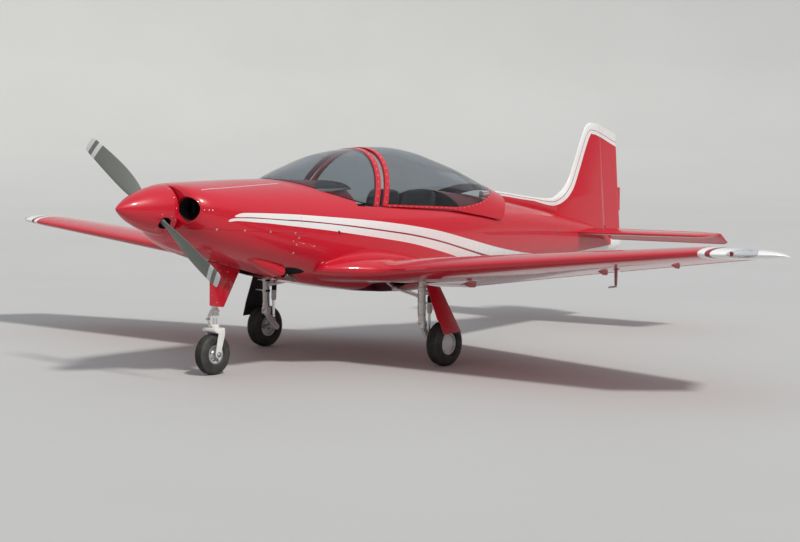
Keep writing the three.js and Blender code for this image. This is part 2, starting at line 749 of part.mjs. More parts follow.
// Rudder trailing edge and hinge line: height, station
const RUDDER_TE = [
  [893, 6500],
  [1363, 6447],
  [1824, 6402],
  [1940, 6390],
];
const HINGE = [
  [880, 6215],
  [1930, 6095],
];
const lerpTable = (rows, v) => {
  for (let i = 0; i < rows.length - 1; i++)
    if (v <= rows[i + 1][0] || i === rows.length - 2) {
      const k = (v - rows[i][0]) / (rows[i + 1][0] - rows[i][0]);
      return rows[i][1] + (rows[i + 1][1] - rows[i][1]) * k;
    }
};
const hingeS = (z) => lerpTable(HINGE, z);
const rudderTe = (z) => lerpTable(RUDDER_TE, z);
const finT = 0.082;
const finHalf = (z, s) => {
  const le = lerpTable(FIN, z),
    c = rudderTe(z) - le;
  return foil(Math.min(Math.max((s - le) / c, 0), 1), finT, 0)[0] * c;
};
const finRing = (z) => {
  const le = lerpTable(FIN, z),
    c = rudderTe(z) - le,
    r = finHalf(z, hingeS(z));
  const end = (hingeS(z) - r - CLEAR - le) / c;
  const left = [],
    right = [];
  for (const k of [0, 0.012, 0.05, 0.12, 0.25, 0.4, 0.55, 0.7, 0.85, 1]) {
    const x = k * end,
      a = foil(x, finT, 0)[0] * c;
    left.push(at(le + x * c, a, z));
    right.push(at(le + x * c, -a, z));
  }
  return [...left, ...right.slice(1).reverse()];
};
// Top of fin and rudder: falls from the leading corner to the rear.
const TOP_LINE = [
  [5700, 1938],
  [5935, 1934],
  [6050, 1928],
  [6402, 1822],
  [6600, 1762],
];
const underTop = sidePrism([[5000, 400], [6700, 400], [6700, 1732], ...[...TOP_LINE].reverse(), [5000, 1938]], -300, 300);
const STRAKE = { half: 24 };
const strake = sidePrism(
  [
    [4228, 1150],
    [4228, 1312],
    [4290, 1319],
    [4519, 1298],
    [4825, 1260],
    [5141, 1228],
    [5311, 1223],
    [5400, 1248],
    [5440, 1268],
    [5520, 1200],
    [5520, 950],
  ],
  -STRAKE.half,
  STRAKE.half,
);
const fin = loft(FIN.map(([z]) => finRing(z)))
  .intersect(underTop)
  .add(strake)
  .subtract(fuselageGrown)
  .subtract(tailSolid(GAP))
  .subtract(box(TAIL_END - 30, 6600, -200, 200, 600, 935));
node("fin", fin.decompose().sort((a, b) => b.volume() - a.volume())[0], RED);

const rudderRing = (z) => {
  const r = finHalf(z, hingeS(z));
  const ring = [];
  for (let k = 0; k <= 7; k++) {
    const a = -Math.PI / 2 + (Math.PI * k) / 7; // round nose, facing forward
    ring.push(at(hingeS(z) - r * Math.cos(a), r * Math.sin(a), z));
  }
  ring.push(at(rudderTe(z), 2, z), at(rudderTe(z), -2, z));
  return ring;
};
const rudder = loft([893, 1100, 1363, 1600, 1824, 1940].map(rudderRing)).intersect(underTop);
node("rudder", rudder, RED);

// Fuselage: hollow cabin, openings, bays and slots.
const cabin = body(
  [
    [1475, 1430, 770, 440, 1040, 2.25, 3.2],
    [1700, 1424, 735, 462, 1020, 2.2, 3.4],
    [2050, 1410, 722, 478, 1000, 2.2, 3.8],
    [2400, 1390, 706, 486, 985, 2.2, 4.2],
    [2900, 1358, 706, 482, 970, 2.2, 4.2],
    [3300, 1320, 706, 455, 965, 2.2, 3.8],
    [3700, 1282, 712, 410, 965, 2.2, 3.4],
    [3900, 1262, 730, 380, 965, 2.2, 3.2],
  ],
  0,
  32,
);
const OPENING = [2060, 3400];
const cockpit = sidePrism(
  [
    [OPENING[0], sillZ(OPENING[0])],
    [OPENING[1], sillZ(OPENING[1])],
    [OPENING[1], 1700],
    [OPENING[0], 1700],
  ],
  -700,
  700,
);
const elevatorSlot = rod(at(TAILPLANE.hinge, -200, TAILPLANE.z), at(TAILPLANE.hinge, 200, TAILPLANE.z), 22, 22, 20);
// Tail tie-down block under the rear fuselage.
const TAIL_PAD = { s: 5900, bottom: 644, r: 15 };
const fuselage = fuselageOuter
  .add(rod(at(TAIL_PAD.s, 0, TAIL_PAD.bottom), at(TAIL_PAD.s, 0, 680), TAIL_PAD.r, TAIL_PAD.r, 20))
  .subtract(cabin)
  .subtract(cockpit)
  .subtract(tailSolid(GAP))
  .subtract(elevatorSlot)
  .subtract(box(TAILPLANE.hinge - 40, TAILPLANE.hinge, -200, 200, TAILPLANE.z - 22, TAILPLANE.z + 22))
  .subtract(wheelBay)
  .subtract(mirrorY(wheelBay))
  .subtract(legBay)
  .subtract(mirrorY(legBay))
  .subtract(outletCut(1))
  .subtract(outletCut(-1));
node("fuselage", fuselage.decompose().sort((a, b) => b.volume() - a.volume())[0], RED);

// Tail cone behind the fuselage.
const TAIL_CONE = [
  [TAIL_END + GAP, 850, 668, 82, 776, 2.1, 2.2],
  [6320, 840, 676, 70, 772, 2.1, 2.2],
  [6420, 818, 690, 50, 765, 2.1, 2.2],
  [6488, 795, 712, 26, 757, 2.1, 2.2],
];
node("tail_cone", body(TAIL_CONE, 0, 24), WHITE);

// ------------------------------------------------------------ cabin furniture
const PANEL_S = 1980;
const panel = box(PANEL_S, PANEL_S + 14, -600, 600, 1010, 1500).intersect(
  body(
    [
      [1900, 1400, 700, 462, 1010, 2.2, 3.4],
      [2100, 1396, 700, 462, 1010, 2.2, 3.4],
    ],
    -3,
    32,
  ),
);
node("instrument_panel", panel, DARK);
node("seat_base", box(2440, 3060, -440, 440, 716, 792).intersect(body([[2400, 1390, 706, 478, 985, 2.2, 4.2], [3100, 1350, 706, 460, 970, 2.2, 4.2]], -4, 32)), DARK);
for (const [side, name] of [
  [1, "left"],
  [-1, "right"],
]) {
  const cushion = new RoundedBoxGeometry(470, 370, 96, 1, 26);
  node("seat_cushion_" + name, place(cushion, moved(NOSE_X - 2695, side * 200, 792 + 0.6 + 48)), SEAT);
  const back = new RoundedBoxGeometry(92, 350, 520, 1, 26);
  back.rotateY(-deg(20)); // the top leans aft
  node("seat_back_" + name, place(back, moved(NOSE_X - 3055, side * 196, 1110)), SEAT);
}
node("baggage_shelf", box(3290, 3820, -330, 330, 1040, 1052), DARK);
node(
  "control_sticks",
  join(
    rod(at(2330, -222, 752), at(2330, 222, 752), 11, 11, 12),
    ...[1, -1].flatMap((q) => [
      rod(at(2330, q * 222, 745), at(2365, q * 222, 1010), 9, 9, 12),
      rod(at(2362, q * 222, 995), at(2378, q * 222, 1095), 16, 15, 12),
    ]),
    rod(at(2330, 0, 712), at(2330, 0, 752), 14, 14, 12),
  ),
  DARK,
);

// ------------------------------------------------------- spinner and propeller
// Built on an axis along +X, then pitched with the thrust line.
const hubMatrix = new THREE.Matrix4()
  .makeTranslation(NOSE_X, 0, THRUST_Z)
  .multiply(new THREE.Matrix4().makeRotationY(-PITCH));
// radius, station: the outline of the spinner
const SPINNER = [
  [0, 0],
  [16, 14],
  [42, 45],
  [78, 98],
  [112, 165],
  [143, 240],
  [168, 320],
  [182, 385],
  [SPINNER_R, SPINNER_L],
  [0, SPINNER_L],
];
const spinnerGeometry = new THREE.LatheGeometry(
  SPINNER.map(([r, s]) => new THREE.Vector2(r, -s)),
  40,
);
spinnerGeometry.rotateZ(-Math.PI / 2); // lathe axis Y -> X, tip forward
// Blade sections along +Z: radius, chord, pitch angle, thickness, shift of the middle towards the trailing edge
const BLADE_ROWS = [
  [60, 62, 58, 46, 0],
  [130, 70, 50, 42, 2],
  [200, 96, 42, 30, 6],
  [300, 122, 33, 22, 12],
  [430, 136, 25, 17, 17],
  [580, 134, 18.5, 13, 18],
  [700, 126, 14, 10, 17],
  [790, 118, 11.5, 8.5, 16],
  [840, 108, 10.5, 7, 15],
  [PROP_R, 84, 10, 5, 15],
];
function bladeRing([r, chord, pitch, thick, shift]) {
  const ring = [];
  const n = 14,
    a = -deg(pitch);
  for (let k = 0; k < n; k++) {
    const q = (2 * Math.PI * k) / n;
    // along the chord, across it; the leading edge is the rounder one
    const u = shift + (chord / 2) * Math.cos(q),
      v = (thick / 2) * Math.sin(q) * (1 - 0.25 * Math.cos(q));
    // the chord lies near the disc plane, its leading edge turned forward by the pitch angle
    const y = u * Math.cos(a) - v * Math.sin(a),
      x = u * Math.sin(a) + v * Math.cos(a);
    ring.push([-PROP_S + x, y, r]);
  }
  return ring;
}
const blade = loft(BLADE_ROWS.map(bladeRing));
const spun = (m, angle, matrix = hubMatrix) => {
  const mesh = m.getMesh();
  const g = new THREE.BufferGeometry();
  g.setAttribute("position", new THREE.BufferAttribute(new Float32Array(mesh.vertProperties), 3));
  g.setIndex(new THREE.BufferAttribute(new Uint32Array(mesh.triVerts), 1));
  g.applyMatrix4(new THREE.Matrix4().makeRotationX(angle));
  g.applyMatrix4(matrix);
  return solid(g);
};
const hub = solid(
  new THREE.CylinderGeometry(78, 78, 120, 28).rotateZ(Math.PI / 2).translate(-PROP_S, 0, 0),
);
const propeller = join(hub, spun(blade, 0, new THREE.Matrix4()), spun(blade, Math.PI, new THREE.Matrix4()));
// Openings in the spinner around the blades, and room for the hub.
const notch = solid(
  new THREE.BoxGeometry(84, 96, 2 * (SPINNER_R + 20)).translate(-PROP_S - 2, 0, 0),
);
const hubRoom = solid(
  new THREE.CylinderGeometry(84, 84, 126, 28).rotateZ(Math.PI / 2).translate(-PROP_S, 0, 0),
);
const spinner = solid(spinnerGeometry).subtract(notch).subtract(hubRoom);
node("spinner", spun(spinner, PROP_ANGLE), RED);
node("propeller", spun(propeller, PROP_ANGLE), BLADE);
// Nose ring of the engine behind the spinner, carried by the engine.
node(
  "prop_flange",
  rod(at(SPINNER_L + 12, 0, THRUST_Z - 19.5), at(636, 0, THRUST_Z - 27), 70, 92, 28),
  STEEL,
);

// ----------------------------------------------------------------- nose gear
const N = NOSE_TYRE;
node(
  "nose_leg",
  join(
    rod(at(NOSE_LEG_S, 0, 425), at(NOSE_LEG_S, 0, 890), 26, 26, 20),
    rod(at(NOSE_LEG_S, -94, 868), at(NOSE_LEG_S, 94, 868), 15, 15, 16),
    rod(at(NOSE_LEG_S, 0, 620), at(1240, 0, 880), 11, 11, 12),
    rod(at(1240, -60, 882), at(1240, 60, 882), 10, 10, 12),
    rod(at(NOSE_LEG_S, 0, 470), at(NOSE_LEG_S, 0, 440), 33, 33, 20),
  ),
  GREY_LEG,
);
const forkArm = (side) =>
  sidePrism(
    [
      [N.s - 24, N.r - 26],
      [N.s + 20, N.r - 26],
      [N.s + 30, N.r + 30],
      [NOSE_LEG_S + 42, 326],
      [NOSE_LEG_S + 30, 352],
      [NOSE_LEG_S - 60, 352],
      [NOSE_LEG_S - 66, 332],
      [N.s + 2, 320],
      [N.s - 26, N.r + 18],
    ],
    side > 0 ? 58 : -70,
    side > 0 ? 70 : -58,
  );
node(
  "nose_fork",
  join(
    forkArm(1),
    forkArm(-1),
    box(NOSE_LEG_S - 60, NOSE_LEG_S + 40, -70, 70, 326, 352),
    rod(at(NOSE_LEG_S, 0, 350), at(NOSE_LEG_S, 0, 424.2), 18, 18, 20),
    rod(at(N.s, -76, N.r), at(N.s, 76, N.r), 10, 10, 16),
    // torque link in front of the leg
    box(NOSE_LEG_S - 60, NOSE_LEG_S - 40, -16, 16, 350, 398),
  ),
  GREY_LEG,
);
// Tyre section: radius, half width, from the rim seat over the tread.
function tyre(t) {
  const w = t.w / 2,
    r = t.r,
    b = t.rim;
  const half = [
    [b + 1.2, 0.74 * w],
    [b + 0.35 * (r - b), w],
    [b + 0.7 * (r - b), 0.94 * w],
    [b + 0.92 * (r - b), 0.62 * w],
    [r, 0.2 * w],
  ];
  return [...half, ...half.map(([q, y]) => [q, -y]).reverse(), half[0]];
}
function rimProfile(t, bore, cap) {
  const w = 0.72 * (t.w / 2),
    b = t.rim;
  return [
    [bore, -w * 0.62],
    [b * 0.66, -w * 0.62],
    [b * 0.86, -w],
    [b, -w],
    [b, w],
    [b * 0.86, w],
    [b * 0.66, cap],
    [bore, cap],
    [bore, -w * 0.62],
  ];
}
const aboutY = (profile, t, sides) => turnedY(profile, t.s, t.r, sides).translate([0, t.y ?? 0, 0]);
node("nose_tyre", aboutY(tyre(N), N, 32), RUBBER);
node("nose_rim", aboutY(rimProfile(N, 10.5, 22), N, 24), RIM);
// Door on the left of the leg: side outline, hanging from the bay edge.
const NOSE_DOOR = [
  [802, 886],
  [796, 534],
  [940, 512],
  [1108, 772],
  [1112, 800],
];
node(
  "nose_door",
  sidePrism(NOSE_DOOR, 108, 114)
    .add(box(850, 1000, 88, 109, 748, 754))
    .add(box(850, 1000, 88, 94, 748, 800))
    .subtract(body(COWL, 1.5, RING).subtract(box(840, 1010, -106, 106, 600, 1000))),
  RED,
);

// ----------------------------------------------------------------- main gear
const M = MAIN_TYRE;
const legParts = join(
  rod(at(LEG.s, LEG.y, LEG.bottom), at(LEG.s, LEG.y, LEG.top), LEG.r, LEG.r, 20),
  rod(at(LEG.s - 42, LEG.y, 712), at(2470, LEG.y, 712), 16, 16, 16),
  // fork for the trailing link, lug for the shock strut
  box(LEG.s - 22, LEG.s + 22, LEG.y - 32, LEG.y + 32, 300, 350).subtract(
    box(LEG.s - 40, LEG.s + 40, LEG.y - 16.5, LEG.y + 16.5, 200, 336),
  ),
  box(LEG.s, 2480, LEG.y - 8, LEG.y + 8, 556, 600),
  rod(at(2463, LEG.y - 20, 560), at(2463, LEG.y + 20, 560), 12, 12, 12),
);
const linkBar = [
  [LEG.s - 18, 322],
  [LEG.s + 16, 334],
  [LEG.s + 22, 300],
  [M.s + 24, M.r + 14],
  [M.s + 20, M.r - 20],
  [M.s - 14, M.r - 24],
  [M.s - 34, M.r - 6],
  [LEG.s - 20, 296],
];
const linkParts = join(
  sidePrism(linkBar, LEG.y - 16, LEG.y + 16),
  rod(at(M.s, LEG.y - 18, M.r), at(M.s, M.y + 24, M.r), 14, 14, 20),
  rod(at(M.s, LEG.y - 18, M.r), at(M.s, LEG.y + 34, M.r), 24, 24, 20),
);
const shockParts = join(
  rod(at(2463, LEG.y, 547.5), at(2455, LEG.y, 400), 21, 21, 18),
  rod(at(2455, LEG.y, 402), at(2449, LEG.y, 268), 13, 13, 16),
)
  .subtract(sidePrism(linkBar.map(([s, z]) => [s, z + (z > 200 ? 1 : 0)]), LEG.y - 20, LEG.y + 20))
  .decompose()
  .sort((a, b) => b.volume() - a.volume())[0];
const braceParts = join(
  rod(at(LEG.s + 2, LEG.y - LEG.r - 8, 540), at(LEG.s + 6, 560, 590), 11, 11, 12),
  rod(at(LEG.s + 6, 570, 588), at(LEG.s + 10, 440, 655), 11, 11, 12),
  rod(at(LEG.s - 12, 560, 590), at(LEG.s + 26, 560, 590), 15, 15, 12),
).subtract(box(2290, 2520, 300, 500, 661.5, 800));
// Door on the outside of the leg, slanting outward below.
const doorPlate = loft(
  [
    [0, 0],
    [5, 0],
  ].map(([off]) =>
    [
      [2308, 936, 640],
      [2478, 936, 612],
      [2545, 1092, 268],
      [2330, 1092, 262],
      [2326, 1062, 345],
      [2312, 1040, 380],
    ].map(([s, y, z]) => at(s, y + off, z + off * 0.42)),
  ),
).add(box(LEG.s + 10, LEG.s + 24, LEG.y + LEG.r - 4, 962, 560, 574).subtract(rod(at(LEG.s, LEG.y, 300), at(LEG.s, LEG.y, 760), LEG.r + GAP, LEG.r + GAP, 20)));
for (const [side, name] of [
  [1, "left"],
  [-1, "right"],
]) {
  const f = (m) => (side > 0 ? m : mirrorY(m));
  node("main_leg_" + name, f(legParts), GREY_LEG);
  node("main_link_" + name, f(linkParts.subtract(legParts)), GREY_LEG);
  node("main_shock_" + name, f(shockParts), STEEL);
  node("main_brace_" + name, f(braceParts), GREY_LEG);
  node("main_door_" + name, f(doorPlate), RED);
  node("main_tyre_" + name, f(aboutY(tyre(M), M, 32)), RUBBER);
  node("main_rim_" + name, f(aboutY(rimProfile(M, 14.6, 40), M, 24)), RIM);
  node(
    "exhaust_" + name,
    f(rod(at(1365, OUTLET.y, OUTLET.z - 8), at(1480, OUTLET.y, OUTLET.z - 48), 22, 22, 14).subtract(
      rod(at(1440, OUTLET.y, OUTLET.z - 34), at(1500, OUTLET.y, OUTLET.z - 55), 17, 17, 14),
    )),
    STEEL,
  );
}

export default aircraft;
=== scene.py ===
import json
import math

import bmesh
import bpy
import numpy as np
from mathutils import Matrix, Vector
from mathutils.bvhtree import BVHTree

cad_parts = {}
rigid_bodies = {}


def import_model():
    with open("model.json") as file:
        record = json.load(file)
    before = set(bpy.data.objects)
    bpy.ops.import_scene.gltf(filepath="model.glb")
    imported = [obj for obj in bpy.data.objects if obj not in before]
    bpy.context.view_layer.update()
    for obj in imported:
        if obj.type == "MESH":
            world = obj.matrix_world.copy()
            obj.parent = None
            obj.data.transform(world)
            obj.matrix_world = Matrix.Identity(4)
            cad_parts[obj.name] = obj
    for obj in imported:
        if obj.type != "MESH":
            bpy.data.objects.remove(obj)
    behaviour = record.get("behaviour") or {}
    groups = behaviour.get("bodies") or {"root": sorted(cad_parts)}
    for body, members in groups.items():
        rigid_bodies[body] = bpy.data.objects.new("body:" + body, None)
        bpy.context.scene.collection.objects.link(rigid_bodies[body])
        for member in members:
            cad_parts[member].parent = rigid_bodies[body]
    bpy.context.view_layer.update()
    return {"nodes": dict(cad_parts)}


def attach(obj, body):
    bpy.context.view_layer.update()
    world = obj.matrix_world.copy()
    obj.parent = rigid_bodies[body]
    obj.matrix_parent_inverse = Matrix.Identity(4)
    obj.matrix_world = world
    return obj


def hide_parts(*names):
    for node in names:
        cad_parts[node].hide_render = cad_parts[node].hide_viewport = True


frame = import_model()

SCENE = bpy.context.scene
NX = 3250.0
PITCH = math.radians(2.5)
THRUST_Z = 1265.0
rad = math.radians


# ------------------------------------------------------------------- materials
def material(name, base, rough=0.4, metal=0.0, coat=0.0, coat_rough=0.03, tint=None, tint_scale=6.0,
             tint_amount=0.25, rough_var=0.06, rough_scale=9.0, bump=0.0, bump_scale=300.0, bump_dist=0.0004,
             sheen=0.0, spec=0.5, detail=4.0, stretch=(1, 1, 1), weave=None, speck=None, ior=1.5):
    m = bpy.data.materials.new(name)
    m.use_nodes = True
    nt = m.node_tree
    b = nt.nodes["Principled BSDF"]
    b.inputs["Metallic"].default_value = metal
    b.inputs["Coat Weight"].default_value = coat
    b.inputs["Coat Roughness"].default_value = coat_rough
    b.inputs["Sheen Weight"].default_value = sheen
    b.inputs["Specular IOR Level"].default_value = spec
    b.inputs["IOR"].default_value = ior
    co = nt.nodes.new("ShaderNodeTexCoord")
    mp = nt.nodes.new("ShaderNodeMapping")
    mp.inputs["Scale"].default_value = stretch
    nt.links.new(co.outputs["Object"], mp.inputs["Vector"])

    def noise(scale, det=detail, rougher=0.55):
        n = nt.nodes.new("ShaderNodeTexNoise")
        n.inputs["Scale"].default_value = scale
        n.inputs["Detail"].default_value = det
        n.inputs["Roughness"].default_value = rougher
        nt.links.new(mp.outputs["Vector"], n.inputs["Vector"])
        return n

    n1 = noise(tint_scale)
    ramp = nt.nodes.new("ShaderNodeValToRGB")
    second = tint if tint is not None else tuple(c * 0.88 for c in base)
    k = tint_amount
    mixed = tuple(base[i] * (1 - k) + second[i] * k for i in range(3))
    ramp.color_ramp.elements[0].position = 0.36
    ramp.color_ramp.elements[0].color = (*mixed, 1)
    ramp.color_ramp.elements[1].position = 0.64
    ramp.color_ramp.elements[1].color = (*base, 1)
    nt.links.new(n1.outputs["Fac"], ramp.inputs["Fac"])
    colour = ramp.outputs["Color"]
    if speck:
        # small flecks of another colour: colour, scale, threshold, strength
        n3 = noise(speck[1], 2.0)
        r3 = nt.nodes.new("ShaderNodeMapRange")
        r3.inputs["From Min"].default_value = speck[2]
        r3.inputs["From Max"].default_value = speck[2] + 0.08
        r3.inputs["To Max"].default_value = speck[3]
        nt.links.new(n3.outputs["Fac"], r3.inputs["Value"])
        mx = nt.nodes.new("ShaderNodeMix")
        mx.data_type = "RGBA"
        nt.links.new(r3.outputs["Result"], mx.inputs["Factor"])
        nt.links.new(colour, mx.inputs[6])
        mx.inputs[7].default_value = (*speck[0], 1)
        colour = mx.outputs[2]
    height = None
    if weave:
        # crossed threads: threads per metre, darkening
        waves = []
        for axis, rot in (("X", 0), ("Z", 0), ("Y", 0)):
            w = nt.nodes.new("ShaderNodeTexWave")
            w.wave_type = "BANDS"
            w.bands_direction = axis
            w.inputs["Scale"].default_value = weave[0] / 6.283
            w.inputs["Distortion"].default_value = 0.6
            w.inputs["Detail"].default_value = 1.0
            nt.links.new(mp.outputs["Vector"], w.inputs["Vector"])
            waves.append(w)
        a = nt.nodes.new("ShaderNodeMath")
        a.operation = "MULTIPLY"
        nt.links.new(waves[0].outputs["Fac"], a.inputs[0])
        nt.links.new(waves[1].outputs["Fac"], a.inputs[1])
        c = nt.nodes.new("ShaderNodeMath")
        c.operation = "MAXIMUM"
        nt.links.new(a.outputs[0], c.inputs[0])
        nt.links.new(waves[2].outputs["Fac"], c.inputs[1])
        height = c.outputs[0]
        r4 = nt.nodes.new("ShaderNodeMapRange")
        r4.inputs["To Min"].default_value = weave[1]
        r4.inputs["To Max"].default_value = 0.0
        nt.links.new(height, r4.inputs["Value"])
        mx = nt.nodes.new("ShaderNodeMix")
        mx.data_type = "RGBA"
        nt.links.new(r4.outputs["Result"], mx.inputs["Factor"])
        nt.links.new(colour, mx.inputs[6])
        mx.inputs[7].default_value = (*(x * 0.35 for x in base), 1)
        colour = mx.outputs[2]
    nt.links.new(colour, b.inputs["Base Color"])
    n2 = noise(rough_scale)
    mr = nt.nodes.new("ShaderNodeMapRange")
    mr.inputs["From Min"].default_value = 0.3
    mr.inputs["From Max"].default_value = 0.7
    mr.inputs["To Min"].default_value = max(rough - rough_var, 0.01)
    mr.inputs["To Max"].default_value = min(rough + rough_var, 1)
    nt.links.new(n2.outputs["Fac"], mr.inputs["Value"])
    nt.links.new(mr.outputs["Result"], b.inputs["Roughness"])
    if bump:
        bp = nt.nodes.new("ShaderNodeBump")
        bp.inputs["Strength"].default_value = bump
        bp.inputs["Distance"].default_value = bump_dist
        if height is not None:
            nt.links.new(height, bp.inputs["Height"])
        else:
            nb = noise(bump_scale, 3.0)
            nt.links.new(nb.outputs["Fac"], bp.inputs["Height"])
        nt.links.new(bp.outputs["Normal"], b.inputs["Normal"])
    return m


RED_C = (0.56, 0.004, 0.020)
M = {}
M["red"] = material("paint_red", RED_C, 0.34, coat=0.75, coat_rough=0.03, tint=(0.50, 0.004, 0.018), tint_scale=1.3,
                    tint_amount=0.3, rough_var=0.04, spec=0.35)
M["white"] = material("paint_white", (0.80, 0.80, 0.785), 0.28, coat=1.0, coat_rough=0.03, tint=(0.70, 0.70, 0.68),
                      tint_scale=2.0, rough_var=0.05, spec=0.4)
M["maroon"] = material("paint_dark_red", (0.27, 0.004, 0.022), 0.3, coat=0.8, coat_rough=0.04, tint_scale=3.0)
M["blade"] = material("blade_grey", (0.155, 0.165, 0.145), 0.42, tint=(0.12, 0.13, 0.115), tint_scale=7.0, rough_var=0.09,
                      bump=0.12, bump_scale=420.0, bump_dist=0.0002, spec=0.45, speck=((0.30, 0.30, 0.28), 900.0, 0.72, 0.5))
M["blade_white"] = material("blade_band_white", (0.62, 0.64, 0.63), 0.4, tint_scale=9.0, rough_var=0.08, bump=0.1, bump_scale=400.0,
                            bump_dist=0.0002)
M["leg"] = material("leg_paint", (0.80, 0.80, 0.77), 0.36, coat=0.35, coat_rough=0.12, tint=(0.66, 0.66, 0.62), tint_scale=11.0,
                    tint_amount=0.5, rough_var=0.08, bump=0.12, bump_scale=190.0, bump_dist=0.0003,
                    speck=((0.13, 0.11, 0.08), 60.0, 0.68, 0.35))
M["chrome"] = material("polished_steel", (0.80, 0.81, 0.83), 0.09, metal=1.0, tint=(0.66, 0.67, 0.70), tint_scale=40.0, rough_var=0.03)
M["steel"] = material("bare_steel", (0.46, 0.46, 0.47), 0.36, metal=1.0, tint=(0.30, 0.29, 0.28), tint_scale=30.0, tint_amount=0.5,
                      rough_var=0.1, bump=0.08, bump_scale=500.0)
M["alloy"] = material("wheel_alloy", (0.60, 0.61, 0.62), 0.34, metal=0.7, tint=(0.40, 0.40, 0.40), tint_scale=22.0, tint_amount=0.5,
                      rough_var=0.1, bump=0.1, bump_scale=260.0)
M["cap"] = material("hub_cap_paint", (0.84, 0.85, 0.86), 0.30, coat=0.4, coat_rough=0.1, tint=(0.74, 0.75, 0.76), tint_scale=20.0,
                    rough_var=0.06, bump=0.05)
M["exhaust"] = material("exhaust_steel", (0.30, 0.25, 0.20), 0.42, metal=1.0, tint=(0.12, 0.10, 0.10), tint_scale=18.0,
                        tint_amount=0.7, rough_var=0.12, bump=0.1, bump_scale=200.0)
M["rubber"] = material("tyre_rubber", (0.017, 0.017, 0.018), 0.72, tint=(0.055, 0.052, 0.044), tint_scale=14.0, tint_amount=0.55,
                       rough_var=0.12, bump=0.3, bump_scale=420.0, bump_dist=0.0005, spec=0.35)
M["rubber_side"] = material("tyre_sidewall", (0.026, 0.026, 0.027), 0.6, tint=(0.085, 0.08, 0.066), tint_scale=10.0, tint_amount=0.6,
                            rough_var=0.12, bump=0.2, bump_scale=300.0, bump_dist=0.0004, spec=0.35)
M["dark"] = material("matt_black", (0.012, 0.012, 0.013), 0.75, tint_scale=9.0, rough_var=0.1, bump=0.2, bump_scale=260.0)
# darker red for the bays and cut openings in the hull: painted shade inside these recesses
M["bay"] = material("bay_red", (0.12, 0.010, 0.016), 0.6, tint=(0.05, 0.006, 0.010), tint_scale=8.0, tint_amount=0.6, rough_var=0.1,
                    bump=0.15, bump_scale=120.0)
M["panel"] = material("panel_crackle_black", (0.020, 0.020, 0.022), 0.62, tint_scale=30.0, rough_var=0.08, bump=0.45, bump_scale=900.0,
                      bump_dist=0.0003)
M["trim"] = material("cabin_trim_grey", (0.105, 0.108, 0.112), 0.8, tint=(0.075, 0.078, 0.08), tint_scale=15.0, rough_var=0.08,
                     bump=0.5, bump_scale=700.0, bump_dist=0.0005, sheen=0.15)
M["carpet"] = material("cabin_carpet", (0.05, 0.052, 0.058), 0.95, tint=(0.025, 0.026, 0.03), tint_scale=120.0, tint_amount=0.8,
                       rough_var=0.03, bump=0.9, bump_scale=900.0, bump_dist=0.0012, sheen=0.4)
M["cloth"] = material("seat_cloth", (0.090, 0.094, 0.104), 0.86, tint=(0.06, 0.063, 0.07), tint_scale=9.0, tint_amount=0.6,
                      rough_var=0.05, bump=0.55, bump_dist=0.0005, sheen=0.35, weave=(2600.0, 0.45))
M["piping"] = material("seat_piping", (0.30, 0.012, 0.02), 0.6, tint_scale=60.0, rough_var=0.08, bump=0.3, bump_scale=900.0)
M["belt"] = material("belt_webbing", (0.035, 0.037, 0.042), 0.7, tint_scale=50.0, rough_var=0.05, bump=0.5, bump_dist=0.0004,
                     weave=(3800.0, 0.4))
M["brass"] = material("plated_fitting", (0.55, 0.52, 0.44), 0.3, metal=1.0, tint_scale=60.0, rough_var=0.08)
M["dial"] = material("dial_face", (0.010, 0.010, 0.011), 0.45, tint_scale=90.0, rough_var=0.05, bump=0.02)
M["dial_mark"] = material("dial_marks", (0.75, 0.75, 0.70), 0.5, tint_scale=90.0, rough_var=0.05, bump=0.02)
M["screw"] = material("screw_heads", (0.66, 0.66, 0.67), 0.24, metal=0.9, tint=(0.5, 0.5, 0.5), tint_scale=120.0, rough_var=0.08)
M["rivet"] = material("rivet_heads", (0.78, 0.78, 0.77), 0.35, metal=0.25, tint_scale=90.0, rough_var=0.07, bump=0.02)
M["seal"] = material("gap_shadow_seal", (0.010, 0.008, 0.008), 0.8, tint_scale=50.0, rough_var=0.05, bump=0.1)
M["yellowing"] = material("engine_cast", (0.06, 0.06, 0.063), 0.6, metal=0.3, tint=(0.03, 0.03, 0.03), tint_scale=14.0, rough_var=0.1,
                          bump=0.4, bump_scale=150.0, bump_dist=0.001)


def glass(name, colour, rough=0.02, density=0.0, ior=1.49, tint_amount=0.2, mix=0.0):
    m = bpy.data.materials.new(name)
    m.use_nodes = True
    nt = m.node_tree
    b = nt.nodes["Principled BSDF"]
    b.inputs["Transmission Weight"].default_value = 1.0
    b.inputs["IOR"].default_value = ior
    co = nt.nodes.new("ShaderNodeTexCoord")
    n = nt.nodes.new("ShaderNodeTexNoise")
    n.inputs["Scale"].default_value = 2.2
    nt.links.new(co.outputs["Object"], n.inputs["Vector"])
    ramp = nt.nodes.new("ShaderNodeValToRGB")
    ramp.color_ramp.elements[0].color = (*(c * (1 - tint_amount * 0.4) for c in colour), 1)
    ramp.color_ramp.elements[1].color = (*colour, 1)
    nt.links.new(n.outputs["Fac"], ramp.inputs["Fac"])
    nt.links.new(ramp.outputs["Color"], b.inputs["Base Color"])
    n2 = nt.nodes.new("ShaderNodeTexNoise")
    n2.inputs["Scale"].default_value = 14.0
    nt.links.new(co.outputs["Object"], n2.inputs["Vector"])
    mr = nt.nodes.new("ShaderNodeMapRange")
    mr.inputs["To Min"].default_value = rough * 0.4
    mr.inputs["To Max"].default_value = rough
    nt.links.new(n2.outputs["Fac"], mr.inputs["Value"])
    nt.links.new(mr.outputs["Result"], b.inputs["Roughness"])
    return m


